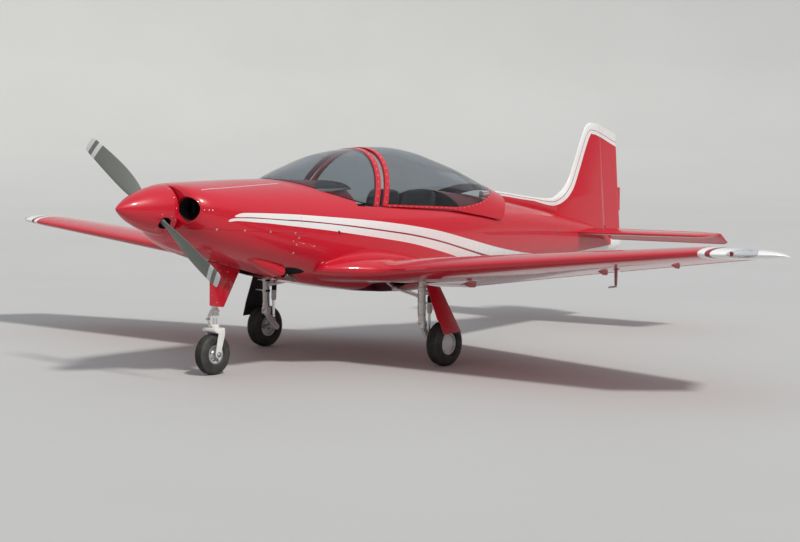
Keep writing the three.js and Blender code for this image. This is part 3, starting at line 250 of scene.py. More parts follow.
M["smoke"] = glass("smoke_acrylic", (0.56, 0.60, 0.63))
M["lens"] = glass("clear_lens", (0.86, 0.89, 0.92), 0.07)
M["lens"].node_tree.nodes["Principled BSDF"].inputs["Transmission Weight"].default_value = 0.55
M["red_lens"] = glass("red_lens", (0.75, 0.03, 0.03), 0.03)
M["green_lens"] = glass("green_lens", (0.03, 0.55, 0.16), 0.03)
M["dial_glass"] = glass("dial_glass", (0.95, 0.95, 0.95), 0.03)


# ------------------------------------------------------------------- mesh tools
def mm(verts):
    return np.asarray(verts, float) * 0.001


def new_object(name, verts, faces, mats, face_mats=None, smooth=True):
    """verts in mm."""
    me = bpy.data.meshes.new(name)
    me.from_pydata(mm(verts).tolist(), [], [list(map(int, f)) for f in faces])
    me.validate()
    for m in mats if isinstance(mats, (list, tuple)) else [mats]:
        me.materials.append(m)
    if face_mats is not None and len(me.polygons) == len(face_mats):
        me.polygons.foreach_set("material_index", np.asarray(face_mats, np.int32))
    if smooth:
        me.polygons.foreach_set("use_smooth", np.ones(len(me.polygons), bool))
    me.update()
    o = bpy.data.objects.new(name, me)
    SCENE.collection.objects.link(o)
    return o


def outward(o):
    bm = bmesh.new()
    bm.from_mesh(o.data)
    bmesh.ops.recalc_face_normals(bm, faces=bm.faces)
    bm.to_mesh(o.data)
    bm.free()
    return o


def loft_data(rings, cap=True, close=True):
    """rings: list of (n, 3) arrays. Returns verts, faces and the strip index of each face."""
    n = len(rings[0])
    V = np.vstack(rings)
    F, S = [], []
    for i in range(len(rings) - 1):
        for j in range(n if close else n - 1):
            a, b = i * n + j, i * n + (j + 1) % n
            F.append((a, b, b + n, a + n))
            S.append(i)
    if cap:
        F.append(tuple(range(n))[::-1])
        S.append(0)
        F.append(tuple(range((len(rings) - 1) * n, len(rings) * n)))
        S.append(len(rings) - 2)
    return V, F, S


def loft(name, rings, mats, cap=True, close=True):
    V, F, S = loft_data(rings, cap, close)
    return outward(new_object(name, V, F, mats))


def grid_closed(name, front, back, mats, front_mats=None):
    """Closed thin body from two grids (rows, cols, 3) that share their outline; front faces get front_mats per quad."""
    r, c, _ = front.shape
    V = np.vstack([front.reshape(-1, 3), back.reshape(-1, 3)])
    F, FM = [], []
    for i in range(r - 1):
        for j in range(c - 1):
            a = i * c + j
            F.append((a, a + 1, a + c + 1, a + c))
            FM.append(0 if front_mats is None else front_mats[i, j])
            b = a + r * c
            F.append((b, b + c, b + c + 1, b + 1))
            FM.append(0 if front_mats is None else front_mats[i, j])
    edge = [(0, j) for j in range(c)] + [(i, c - 1) for i in range(1, r)] + [(r - 1, j) for j in range(c - 2, -1, -1)] + [(i, 0) for i in range(r - 2, 0, -1)]
    for k in range(len(edge)):
        (i0, j0), (i1, j1) = edge[k], edge[(k + 1) % len(edge)]
        a, b = i0 * c + j0, i1 * c + j1
        F.append((b, a, a + r * c, b + r * c))
        ii, jj = min(i0, i1, r - 2), min(j0, j1, c - 2)
        FM.append(0 if front_mats is None else front_mats[ii, jj])
    return outward(new_object(name, V, F, mats, FM))


def prism(name, outline, y0, y1, mats=None):
    n = len(outline)
    V = [(NX - s, y0, z) for s, z in outline] + [(NX - s, y1, z) for s, z in outline]
    F = [tuple(range(n)), tuple(range(2 * n - 1, n - 1, -1))]
    for i in range(n):
        j = (i + 1) % n
        F.append((i, i + n, j + n, j))
    return outward(new_object(name, V, F, mats or CUT, smooth=False))


def boxm(name, s0, s1, y0, y1, z0, z1, mats=None):
    return prism(name, [(s0, z0), (s1, z0), (s1, z1), (s0, z1)], y0, y1, mats)


def cylinder(name, a, b, r0, r1=None, n=32, mats=None):
    """Closed cone between two points in mm, x y z."""
    a, b = Vector(a), Vector(b)
    r1 = r0 if r1 is None else r1
    d = (b - a).normalized()
    u = d.orthogonal().normalized()
    v = d.cross(u)
    rings = []
    for c, r in ((a, r0), (b, r1)):
        rings.append(np.array([c + u * (r * math.cos(2 * math.pi * k / n)) + v * (r * math.sin(2 * math.pi * k / n)) for k in range(n)]))
    return loft(name, rings, mats or CUT)


def boolean(o, ops, solver="MANIFOLD"):
    """ops: list of (operation, cutter). Cutters are removed afterwards by drop()."""
    for op, c in ops:
        m = o.modifiers.new("b", "BOOLEAN")
        m.operation = op
        m.object = c
        m.solver = solver
        m.material_mode = "TRANSFER"
    bpy.context.view_layer.update()
    dg = bpy.context.evaluated_depsgraph_get()
    me = bpy.data.meshes.new_from_object(o.evaluated_get(dg))
    o.modifiers.clear()
    old = o.data
    o.data = me
    if old.users == 0:
        bpy.data.meshes.remove(old)
    return o


def drop(*objs):
    for o in objs:
        me = o.data
        bpy.data.objects.remove(o)
        if me and me.users == 0:
            bpy.data.meshes.remove(me)


def keep_largest(o, minimum=0.02):
    """Removes loose bits, smaller than a share of the largest piece."""
    bm = bmesh.new()
    bm.from_mesh(o.data)
    seen, groups = set(), []
    for f in bm.faces:
        if f in seen:
            continue
        stack, g = [f], []
        seen.add(f)
        while stack:
            x = stack.pop()
            g.append(x)
            for e in x.edges:
                for y in e.link_faces:
                    if y not in seen:
                        seen.add(y)
                        stack.append(y)
        groups.append((sum(x.calc_area() for x in g), g))
    big = max(a for a, _ in groups)
    bmesh.ops.delete(bm, geom=[f for a, g in groups if a < minimum * big for f in g], context="FACES")
    bm.to_mesh(o.data)
    bm.free()
    return o


class Source:
    """A smooth surface that cut pieces take their normals from."""

    def __init__(self, rings, close=True):
        V, F, _ = loft_data(rings, cap=False, close=close)
        V = V * 0.001
        quads = np.array(F)
        T = np.vstack([quads[:, [0, 1, 2]], quads[:, [0, 2, 3]]])
        fn = np.cross(V[T[:, 1]] - V[T[:, 0]], V[T[:, 2]] - V[T[:, 0]])
        N = np.zeros_like(V)
        for k in range(3):
            np.add.at(N, T[:, k], fn)
        N /= np.maximum(np.linalg.norm(N, axis=1), 1e-12)[:, None]
        mid = np.repeat([r.mean(axis=0) * 0.001 for r in rings], len(rings[0]), axis=0)
        if np.sum(np.einsum("ij,ij->i", N, V - mid)) < 0:
            N = -N
        self.V = [Vector(v) for v in V]
        self.T = [tuple(map(int, q)) for q in T]
        self.N = [Vector(v) for v in N]
        self.tree = BVHTree.FromPolygons(self.V, self.T)

    def at(self, p):
        loc, nor, i, d = self.tree.find_nearest(p)
        if loc is None:
            return None, None, 1e9
        a, b, c = self.T[i]
        A, B, C = self.V[a], self.V[b], self.V[c]
        v0, v1, v2 = B - A, C - A, loc - A
        d00, d01, d11, d20, d21 = v0.dot(v0), v0.dot(v1), v1.dot(v1), v2.dot(v0), v2.dot(v1)
        den = d00 * d11 - d01 * d01
        if abs(den) < 1e-20:
            return loc, self.N[a], d
        w1 = (d11 * d20 - d01 * d21) / den
        w2 = (d00 * d21 - d01 * d20) / den
        n = self.N[a] * (1 - w1 - w2) + self.N[b] * w1 + self.N[c] * w2
        return loc, n.normalized(), d


def auto_smooth(o, angle=35):
    me = o.data
    me.polygons.foreach_set("use_smooth", np.ones(len(me.polygons), bool))
    me.set_sharp_from_angle(angle=rad(angle))
    return o


PIECES = []


def place(o, body, slot, replaces=()):
    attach(o, body)
    if replaces:
        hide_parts(*([replaces] if isinstance(replaces, str) else replaces))
    PIECES.append(o.name)
    return o


def recolour(o, mat, test, only=None):
    """Gives mat to the faces whose centre and normal pass the test, and whose material is one of only."""
    if mat not in list(o.data.materials):
        o.data.materials.append(mat)
    k = list(o.data.materials).index(mat)
    mats = list(o.data.materials)
    for p in o.data.polygons:
        if (only is None or mats[p.material_index] in only) and test(p.center, p.normal):
            p.material_index = k


def copy_mirror(o, name):
    """Mirrored copy in y, with its custom normals."""
    me = o.data.copy()
    me.name = name
    had = me.has_custom_normals
    nor = np.zeros(len(me.loops) * 3, np.float32)
    if had:
        me.corner_normals.foreach_get("vector", nor)
        nor = nor.reshape(-1, 3)
    corner = {}
    if had:
        for p in me.polygons:
            for li in p.loop_indices:
                corner[(p.index, me.loops[li].vertex_index)] = nor[li] * np.array([1, -1, 1])
    co = np.zeros(len(me.vertices) * 3, np.float32)
    me.vertices.foreach_get("co", co)
    co = co.reshape(-1, 3)
    co[:, 1] *= -1
    me.vertices.foreach_set("co", co.ravel())
    me.flip_normals()
    me.update()
    if had:
        out = [None] * len(me.loops)
        for p in me.polygons:
            for li in p.loop_indices:
                out[li] = tuple(corner[(p.index, me.loops[li].vertex_index)])
        me.normals_split_custom_set(out)
    c = bpy.data.objects.new(name, me)
    SCENE.collection.objects.link(c)
    return c


def joined(name, objs):
    """One mesh from several objects, materials kept."""
    mats, index = [], {}
    bm = bmesh.new()
    for o in objs:
        me = o.data
        local = []
        for m in me.materials:
            if m.name not in index:
                index[m.name] = len(mats)
                mats.append(m)
            local.append(index[m.name])
        start = len(bm.faces)
        tmp = me.copy()
        tmp.transform(o.matrix_world)
        bm.from_mesh(tmp)
        bm.faces.ensure_lookup_table()
        for f in bm.faces[start:]:
            f.material_index = local[f.material_index] if f.material_index < len(local) else 0
        bpy.data.meshes.remove(tmp)
    me = bpy.data.meshes.new(name)
    bm.to_mesh(me)
    bm.free()
    for m in mats:
        me.materials.append(m)
    c = bpy.data.objects.new(name, me)
    SCENE.collection.objects.link(c)
    drop(*objs)
    return c


def tube(name, pts, r, mats, n=16, caps=True, radii=None):
    """Round bar along points in mm."""
    P = [Vector(p) for p in pts]
    rings = []
    up = None
    for i, p in enumerate(P):
        d = (P[min(i + 1, len(P) - 1)] - P[max(i - 1, 0)]).normalized()
        if up is None:
            up = d.orthogonal().normalized()
        up = (up - d * up.dot(d)).normalized()
        v = d.cross(up)
        rr = r if radii is None else radii[i]
        rings.append(np.array([p + up * (rr * math.cos(2 * math.pi * k / n)) + v * (rr * math.sin(2 * math.pi * k / n)) for k in range(n)]))
    o = loft(name, rings, mats, cap=caps)
    return auto_smooth(o, 40)


def curve_points(pts, per=8):
    """Smooth points through pts."""
    P = np.asarray(pts, float)
    out = []
    for i in range(len(P) - 1):
        p0, p1, p2, p3 = P[max(i - 1, 0)], P[i], P[i + 1], P[min(i + 2, len(P) - 1)]
        for k in range(per):
            t = k / per
            out.append(0.5 * ((2 * p1) + (-p0 + p2) * t + (2 * p0 - 5 * p1 + 4 * p2 - p3) * t * t + (-p0 + 3 * p1 - 3 * p2 + p3) * t ** 3))
    out.append(P[-1])
    return np.array(out)


def lathe(name, profile, origin, axis, mats, n=48, mat_of=None, angle=30):
    """profile of (radius, distance along axis) in mm, closed on itself or on the axis."""
    d = Vector(axis).normalized()
    u = d.orthogonal().normalized()
    v = d.cross(u)
    o = Vector(origin)
    prof = list(profile)
    closed = prof[0] == prof[-1]
    if closed:
        prof = prof[:-1]
    V, idx = [], []
    for r, h in prof:
        row = []
        if r < 1e-6:
            V.append(o + d * h)
            row = [len(V) - 1] * n
        else:
            for k in range(n):
                a = 2 * math.pi * k / n
                V.append(o + d * h + u * (r * math.cos(a)) + v * (r * math.sin(a)))
                row.append(len(V) - 1)
        idx.append(row)
    F, FM = [], []
    m = len(prof)
    for i in range(m if closed else m - 1):
        A, B = idx[i], idx[(i + 1) % m]
        for k in range(n):
            k2 = (k + 1) % n
            f = [A[k], A[k2], B[k2], B[k]]
            f2 = []
            for q in f:
                if q not in f2:
                    f2.append(q)
            if len(f2) >= 3:
                F.append(f2)
                FM.append(0 if mat_of is None else mat_of(i))
    o2 = outward(new_object(name, V, F, mats, FM))
    return auto_smooth(o2, angle)


def rounded_prism(name, outline, y0, y1, mats, bevel=2.0, segments=2, angle=40):
    o = prism(name, outline, y0, y1, mats)
    return bevelled(o, bevel, segments, angle)


def bevelled(o, bevel, segments=2, angle=40):
    bm = bmesh.new()
    bm.from_mesh(o.data)
    edges = [e for e in bm.edges if len(e.link_faces) == 2 and e.calc_face_angle(0) > rad(20)]
    bmesh.ops.bevel(bm, geom=edges, offset=bevel * 0.001, segments=segments, profile=0.5, affect="EDGES", clamp_overlap=True)
    bm.to_mesh(o.data)
    bm.free()
    return auto_smooth(o, angle)


def slab(name, centre, size, mats, bevel=2.0, segments=2, rot=None):
    """Rounded bar; centre and size in mm, x y z."""
    cx, cy, cz = centre
    sx, sy, sz = (q / 2 for q in size)
    V = [(x, y, z) for x in (-sx, sx) for y in (-sy, sy) for z in (-sz, sz)]
    R = rot or Matrix.Identity(3)
    V = [Vector(centre) + R @ Vector(v) for v in V]
    F = [(0, 1, 3, 2), (4, 6, 7, 5), (0, 4, 5, 1), (2, 3, 7, 6), (0, 2, 6, 4), (1, 5, 7, 3)]
    return bevelled(outward(new_object(name, V, F, mats)), bevel, segments)


def domes(name, spots, r, h, mats, n=10):
    """Low round heads at (point, outward normal), in mm."""
    V, F = [], []
    for p, nrm in spots:
        p, d = Vector(p), Vector(nrm).normalized()
        u = d.orthogonal().normalized()
        v = d.cross(u)
        b = len(V)
        for rr, hh in ((1.0, -1.2), (1.0, 0.25), (0.72, 0.8), (0.3, 1.0)):
            for k in range(n):
                a = 2 * math.pi * k / n
                V.append(p + u * (r * rr * math.cos(a)) + v * (r * rr * math.sin(a)) + d * (h * hh))
        for i in range(3):
            for k in range(n):
                a, c = b + i * n + k, b + i * n + (k + 1) % n
                F.append((a, c, c + n, a + n))
        F.append(tuple(range(b + 3 * n, b + 4 * n)))
        F.append(tuple(range(b, b + n))[::-1])
    return auto_smooth(outward(new_object(name, V, F, mats)), 50)


# ----------------------------------------------------------------- body sections
# station, top, bottom, half width, height of the widest point, exponent above, exponent below
FUSELAGE = np.array([
    [1420, 1459, 706, 488, 1050, 2.25, 2.6],
    [1700, 1452, 654, 508, 1020, 2.2, 2.8],
    [2050, 1440, 592, 523, 1000, 2.2, 3.0],
    [2400, 1420, 543, 530, 985, 2.2, 3.2],
    [2900, 1388, 504, 525, 970, 2.2, 3.2],
    [3300, 1350, 508, 498, 965, 2.2, 3.0],
    [3700, 1312, 530, 452, 965, 2.2, 2.8],
    [4200, 1258, 566, 378, 955, 2.1, 2.6],
    [4800, 1165, 606, 285, 930, 2.1, 2.5],
    [5400, 1060, 637, 195, 890, 2.1, 2.4],
    [5900, 960, 657, 125, 840, 2.1, 2.3],
    [6215, 868, 668, 86, 780, 2.1, 2.2],
], float)
COWL = np.array([
    [448, 1425, 1092, 262, 1250, 2.3, 2.2],
    [466, 1432, 1048, 318, 1245, 2.4, 2.2],
    [500, 1438, 1002, 358, 1235, 2.4, 2.3],
    [580, 1444, 952, 400, 1215, 2.4, 2.4],
    [760, 1450, 885, 440, 1170, 2.35, 2.5],
    [1080, 1457, 795, 472, 1100, 2.3, 2.6],
    [1420, 1459, 706, 488, 1050, 2.25, 2.6],
], float)
GREENHOUSE = np.array([
    [1400, 1400, 900, 170, 1000, 2.3, 2.3],
    [1490, 1461, 900, 250, 1000, 2.3, 2.3],
    [1620, 1507, 900, 340, 1000, 2.3, 2.3],
    [1780, 1554, 900, 408, 1000, 2.3, 2.3],
    [2100, 1642, 900, 462, 1000, 2.3, 2.3],
    [2430, 1686, 900, 484, 1000, 2.3, 2.3],
    [2800, 1702, 900, 488, 1000, 2.3, 2.3],
    [3110, 1669, 900, 480, 1000, 2.3, 2.3],
    [3380, 1603, 900, 468, 1000, 2.3, 2.3],
    [3650, 1528, 900, 451, 1000, 2.25, 2.3],
    [4050, 1386, 900, 410, 1000, 2.2, 2.3],
    [4240, 1318, 900, 392, 1000, 2.2, 2.3],
], float)
CABIN = np.array([
    [1475, 1430, 770, 440, 1040, 2.25, 3.2],
    [1700, 1424, 735, 462, 1020, 2.2, 3.4],
    [2050, 1410, 722, 478, 1000, 2.2, 3.8],
    [2400, 1390, 706, 486, 985, 2.2, 4.2],
    [2900, 1358, 706, 482, 970, 2.2, 4.2],
    [3300, 1320, 706, 455, 965, 2.2, 3.8],
    [3700, 1282, 712, 410, 965, 2.2, 3.4],
    [3900, 1262, 730, 380, 965, 2.2, 3.2],
], float)
TAIL_CONE = np.array([
    [6215.4, 850, 668, 82, 776, 2.1, 2.2],
    [6320, 840, 676, 70, 772, 2.1, 2.2],
    [6420, 818, 690, 50, 765, 2.1, 2.2],
    [6488, 795, 712, 26, 757, 2.1, 2.2],
], float)


def row_at(rows, s):
    i = int(np.clip(np.searchsorted(rows[:, 0], s, side="right") - 1, 0, len(rows) - 2))
    p0, p1, p2, p3 = rows[max(i - 1, 0)], rows[i], rows[i + 1], rows[min(i + 2, len(rows) - 1)]
    h = p2[0] - p1[0]
    t = (s - p1[0]) / h
    m1 = (p2 - p0) / (p2[0] - p0[0]) * h
    m2 = (p3 - p1) / (p3[0] - p1[0]) * h
    t2, t3 = t * t, t ** 3
    out = (2 * t3 - 3 * t2 + 1) * p1 + (t3 - 2 * t2 + t) * m1 + (-2 * t3 + 3 * t2) * p2 + (t3 - t2) * m2
    out[0] = s
    return out


def hull_row(s):
    return row_at(COWL, s) if s < 1420 else row_at(FUSELAGE, s)


_U = np.linspace(0, 1, 90)


def _quadrant(n):
    a = np.unique(np.concatenate([(math.pi / 2) * _U ** n, (math.pi / 2) * (1 - (1 - _U) ** n), (math.pi / 2) * _U]))
    return np.cos(a).clip(0) ** (2 / n), np.sin(a).clip(0) ** (2 / n)


def _resample(P, n):
    d = np.r_[0, np.cumsum(np.linalg.norm(np.diff(P, axis=0), axis=1))]
    t = np.linspace(0, d[-1], n + 1)
    return np.c_[np.interp(t, d, P[:, 0]), np.interp(t, d, P[:, 1])]


def arcs(row, grow=0.0):
    """Upper and lower halves of a section, each from +y over to -y."""
    s, top, bot, half, mid, nt, nb = row
    cu, su = _quadrant(nt)
    cl, sl = _quadrant(nb)
    H, T, B = half + grow, top - mid + grow, mid - bot + grow
    up = np.vstack([np.c_[H * cu, mid + T * su], np.c_[-H * cu[::-1], mid + T * su[::-1]][1:]])
    lo = np.vstack([np.c_[H * cl, mid - B * sl], np.c_[-H * cl[::-1], mid - B * sl[::-1]][1:]])
    return up, lo


def ring(row, grow=0.0, n=128):
    up, lo = arcs(row, grow)
    u = _resample(up, n // 2)
    l = _resample(lo, n // 2)
    yz = np.vstack([u[:-1], l[::-1][:-1]])
    return np.c_[np.full(len(yz), NX - row[0]), yz]


def spread(a, b, step):
    return list(np.linspace(a, b, max(2, int(round((b - a) / step)) + 1)))


def hull_rings(rows, stations, grow, n, ends=0.0):
    R = []
    for i, s in enumerate(stations):
        r = row_at(rows, s).copy()
        if ends and i == 0:
            r[0] -= ends
        if ends and i == len(stations) - 1:
            r[0] += ends
        R.append(ring(r, grow, n))
    return R


def hull(name, rows, stations, grow, n, mats, ends=0.0):
    return loft(name, hull_rings(rows, stations, grow, n, ends), mats)


def width_at(row, z):
    s, top, bot, half, mid, nt, nb = row
    q = (z - mid) / (top - mid) if z >= mid else (mid - z) / (mid - bot)
    n = nt if z >= mid else nb
    return half * max(0.0, 1 - min(q, 1.0) ** n) ** (1 / n)


def top_at(row, y):
    s, top, bot, half, mid, nt, nb = row
    return mid + (top - mid) * max(0.0, 1 - min(abs(y) / half, 1.0) ** nt) ** (1 / nt)


def on_hull(s, z, side=1, rows=None, lift=0.0):
    """Point and outward normal on the side of the hull."""
    f = (lambda q: row_at(rows, q)) if rows is not None else hull_row
    y = width_at(f(s), z)
    e = 3.0
    dys = (width_at(f(s + e), z) - width_at(f(s - e), z)) / (2 * e)
    dyz = (width_at(f(s), z + e) - width_at(f(s), z - e)) / (2 * e)
    n = Vector((dys, 1.0, -dyz)).normalized()
    p = Vector((NX - s, y, z)) + n * lift
    if side < 0:
        p.y, n.y = -p.y, -n.y
    return p, n


def on_top(s, y, rows=None, lift=0.0):
    f = (lambda q: row_at(rows, q)) if rows is not None else hull_row
    z = top_at(f(s), y)
    e = 3.0
    dzs = (top_at(f(s + e), y) - top_at(f(s - e), y)) / (2 * e)
    dzy = (top_at(f(s), y + e) - top_at(f(s), y - e)) / (2 * e)
    n = Vector((dzs, -dzy, 1.0)).normalized()
    return Vector((NX - s, y, z)) + n * lift, n


# ------------------------------------------------------------------ camera, stage
CAM = Vector((11.088, 9.194, 1.736))
yaw, pitch, roll = rad(-139.97), rad(-4.32), rad(0.165)
fw = Vector((math.cos(pitch) * math.cos(yaw), math.cos(pitch) * math.sin(yaw), math.sin(pitch)))
rt = fw.cross(Vector((0, 0, 1))).normalized()
upv = rt.cross(fw)
r2 = rt * math.cos(roll) + upv * math.sin(roll)
u2 = upv * math.cos(roll) - rt * math.sin(roll)
cam_data = bpy.data.cameras.new("camera")
cam_data.sensor_width = 36.0
cam_data.sensor_fit = "HORIZONTAL"
cam_data.lens = 1698.7 / 800 * 36.0
cam_data.clip_end = 300
cam = bpy.data.objects.new("camera", cam_data)
SCENE.collection.objects.link(cam)
cam.matrix_world = Matrix.Translation(CAM) @ Matrix((r2, u2, -fw)).transposed().to_4x4()
SCENE.camera = cam

# Floor that sweeps up far behind the aircraft, seen from any side.
floor_mat = material("studio_floor", (0.50, 0.50, 0.49), 0.7, tint=(0.47, 0.47, 0.46), tint_scale=0.25, tint_amount=0.5, rough_var=0.05,
                     rough_scale=0.8, spec=0.25)
rings_f = []
for rr, zz in [(0.001, 0), (6, 0), (14, 0), (26, 0), (34, 0.3), (40, 1.6), (44, 4.5), (46, 10), (46.5, 20)]:
    rings_f.append(np.array([[1000 * rr * math.cos(2 * math.pi * k / 96), 1000 * rr * math.sin(2 * math.pi * k / 96), 1000 * zz] for k in range(96)]))
V, F, S = loft_data(rings_f, cap=False)
floor = new_object("floor", V, F, floor_mat)

world = bpy.data.worlds.new("world")
world.use_nodes = True
bg = world.node_tree.nodes["Background"]
bg.inputs["Color"].default_value = (0.86, 0.90, 0.96, 1)
bg.inputs["Strength"].default_value = 0.62
SCENE.world = world

sun_data = bpy.data.lights.new("key", "SUN")
sun_data.energy = 2.6
sun_data.angle = rad(7)
sun_data.color = (1.0, 0.975, 0.94)
sun = bpy.data.objects.new("key", sun_data)
SCENE.collection.objects.link(sun)
sun.matrix_world = Vector((0.24, 0.86, 1.0)).to_track_quat("Z", "Y").to_matrix().to_4x4()
SCENE.view_settings.view_transform = "Standard"
SCENE.view_settings.exposure = 0.0

# ---------------------------------------------------------------- paint outlines
T1 = [[755, 1213], [793, 1223], [831, 1226], [906, 1224], [984, 1221], [1227, 1208], [1393, 1197], [1684, 1173], [1986, 1147],
      [2302, 1115], [2637, 1073], [3003, 1016], [3416, 934], [3898, 842], [4372, 772], [4581, 749], [4796, 728], [5004, 718],
      [5210, 713], [5418, 710], [5619, 712], [5810, 724], [6008, 732], [6280, 752]]
B1 = [[738, 1203], [753, 1199], [903, 1193], [1054, 1181], [1215, 1168], [1379, 1157], [1668, 1128], [1970, 1094], [2289, 1053],
      [2629, 1007], [2998, 940], [3423, 848], [3663, 799], [3935, 750], [4150, 700], [4330, 640], [4470, 560], [4580, 440]]
T2 = [[686, 1172], [696, 1182], [719, 1190], [745, 1194], [902, 1190], [1054, 1179], [1214, 1165], [1379, 1151], [1667, 1121],
      [1969, 1085], [2288, 1043], [2627, 996], [2999, 928], [3424, 834], [3672, 780], [3935, 722], [4150, 665], [4330, 598],
      [4450, 530], [4530, 440]]
B2 = [[686, 1170], [700, 1167], [751, 1171], [824, 1167], [899, 1159], [974, 1152], [1051, 1145], [1210, 1126], [1374, 1107],
      [1662, 1072], [1963, 1030], [2282, 985], [2628, 931], [3004, 852], [3211, 804], [3424, 748], [3672, 668], [3850, 595],
      [3960, 530], [4040, 440]]


def smooth_line(pts, step=18.0):
    P = np.asarray(pts, float)
    d = np.r_[0, np.cumsum(np.linalg.norm(np.diff(P, axis=0), axis=1))]
    T = np.c_[d, P]
    n = max(2, int(d[-1] / step))
    return [tuple(row_at(T, min(q, d[-1] - 1e-6))[1:]) for q in np.linspace(0, d[-1], n)]


t1, b1, t2, b2 = (smooth_line(q) for q in (T1, B1, [(s_, z_ - float(np.interp(s_, [700, 760, 1300, 1500], [0, 5, 5, 2]))) for s_, z_ in T2], B2))
NOSE1 = (738, 1203.6)


def mid_line(upper, lower, stations):
    """Halfway between two outlines."""
    u, w = np.array(sorted(upper)), np.array(sorted(lower))
    return [(float(s_), float((np.interp(s_, u[:, 0], u[:, 1]) + np.interp(s_, w[:, 0], w[:, 1])) / 2)) for s_ in stations]


# what is left between the two white bands is the dark line, so its outline runs inside them
run = np.linspace(770, 4020, 120)
between = [(741, 1200.5), (752, 1206)] + mid_line(t1, b1, run) + [(4330, 700), (4620, 590), (4620, 425), (4330, 425), (4200, 520)] + mid_line(t2, b2, run)[::-1] + [(741, 1184)]
PAINT_SIDE = [
    ([NOSE1] + t1 + [(6280, 440)] + b1[::-1], "white"),
    (t2 + b2[::-1], "white"),
    (between, "maroon"),
]


def prism_z(name, outline, z0, z1, mats=None):
    n = len(outline)
    V = [(NX - s, y, z0) for s, y in outline] + [(NX - s, y, z1) for s, y in outline]
    F = [tuple(range(n)), tuple(range(2 * n - 1, n - 1, -1))]
    for i in range(n):
        j = (i + 1) % n
        F.append((i, i + n, j + n, j))
    return outward(new_object(name, V, F, mats or CUT, smooth=False))


def duplicate(o, name="copy"):
    c = bpy.data.objects.new(name, o.data.copy())
    SCENE.collection.objects.link(c)
    return c


WALL = bpy.data.materials.new("wall")
CUT = bpy.data.materials.new("cutface")


def zones(o, cutters):
    """Splits the painted surface of o along the walls of the cutters, which don't stay in the mesh.
    cutters: [(object, paint)]; paint takes the place of red inside that cutter."""
    parts = []
    base = o
    for c, mat in cutters:
        inside = duplicate(base)
        boolean(inside, [("INTERSECT", c)])
        boolean(base, [("DIFFERENCE", c)])
        parts.append((inside, mat))
    parts.append((base, None))
    mats, index = [], {}

    def slot_of(m):
        if m.name not in index:
            index[m.name] = len(mats)
            mats.append(m)
        return index[m.name]
    bm = bmesh.new()
    for p, mat in parts:
        if not len(p.data.polygons):
            continue
        start = len(bm.faces)
        bm.from_mesh(p.data)
        bm.faces.ensure_lookup_table()
        dead = []
        own = list(p.data.materials)
        for f in bm.faces[start:]:
            m = own[f.material_index] if f.material_index < len(own) else own[0]
            if m is WALL:
                dead.append(f)
                continue
            if m is M["red"] and mat is not None:
                m = mat
            f.material_index = slot_of(m)
        bmesh.ops.delete(bm, geom=dead, context="FACES")
    bmesh.ops.remove_doubles(bm, verts=bm.verts, dist=4e-6)
    bm.to_mesh(base.data)
    bm.free()
    idx = [f.material_index for f in base.data.polygons]
    base.data.materials.clear()
    for m in mats:
        base.data.materials.append(m)
    base.data.polygons.foreach_set("material_index", idx)
    drop(*[p for p, _ in parts if p is not base])
    return base


def skin2(o, sources, cut_mat, tol=0.0009, small=3e-5):
    """Smooth normals for the faces that lie on a source, flat ones elsewhere.
    sources: [(Source, sign, names of the materials it goes with)]; faces made by plain cuts get cut_mat."""
    me = o.data
    bm = bmesh.new()
    bm.from_mesh(me)
    bmesh.ops.triangulate(bm, faces=[f for f in bm.faces if len(f.verts) > 4])
    bmesh.ops.delete(bm, geom=[v for v in bm.verts if not v.link_faces], context="VERTS")
    bm.to_mesh(me)
    bm.free()
    for i, m in enumerate(list(me.materials)):
        if m is CUT or m is WALL:
            me.materials[i] = cut_mat
    names = [m.name for m in me.materials]
    near = {}

    def look(k, v):
        if (k, v) not in near:
            near[(k, v)] = sources[k][0].at(me.vertices[v].co)[1:]
        return near[(k, v)]
    normals = [None] * len(me.loops)
    for p in me.polygons:
        chosen = None
        nm = names[p.material_index] if p.material_index < len(names) else names[0]
        for k, (src, sign, with_mats) in enumerate(sources):
            if nm in with_mats and all(look(k, v)[1] < tol for v in p.vertices):
                n = src.at(p.center)[1]
                if p.area < small or n.dot(p.normal) * sign > 0.5:
                    chosen = (k, sign)
                    break
        for li in p.loop_indices:
            if chosen is None:
                normals[li] = tuple(p.normal)
            else:
                normals[li] = tuple(look(chosen[0], me.loops[li].vertex_index)[0] * chosen[1])
    me.polygons.foreach_set("use_smooth", np.ones(len(me.polygons), bool))
    me.normals_split_custom_set(normals)
    me.update()
    return o


OUTER = {"paint_red", "paint_white", "paint_dark_red"}
side_paint = [(prism("cut_%d" % i, pts, -700, 700, WALL), M[c]) for i, (pts, c) in enumerate(PAINT_SIDE)]

# ------------------------------------------------------------------------- hull
SILL = [(2050, 1243), (3420, 1183)]


def sill_z(s):
    return SILL[0][1] + (SILL[1][1] - SILL[0][1]) * (s - SILL[0][0]) / (SILL[1][0] - SILL[0][0])


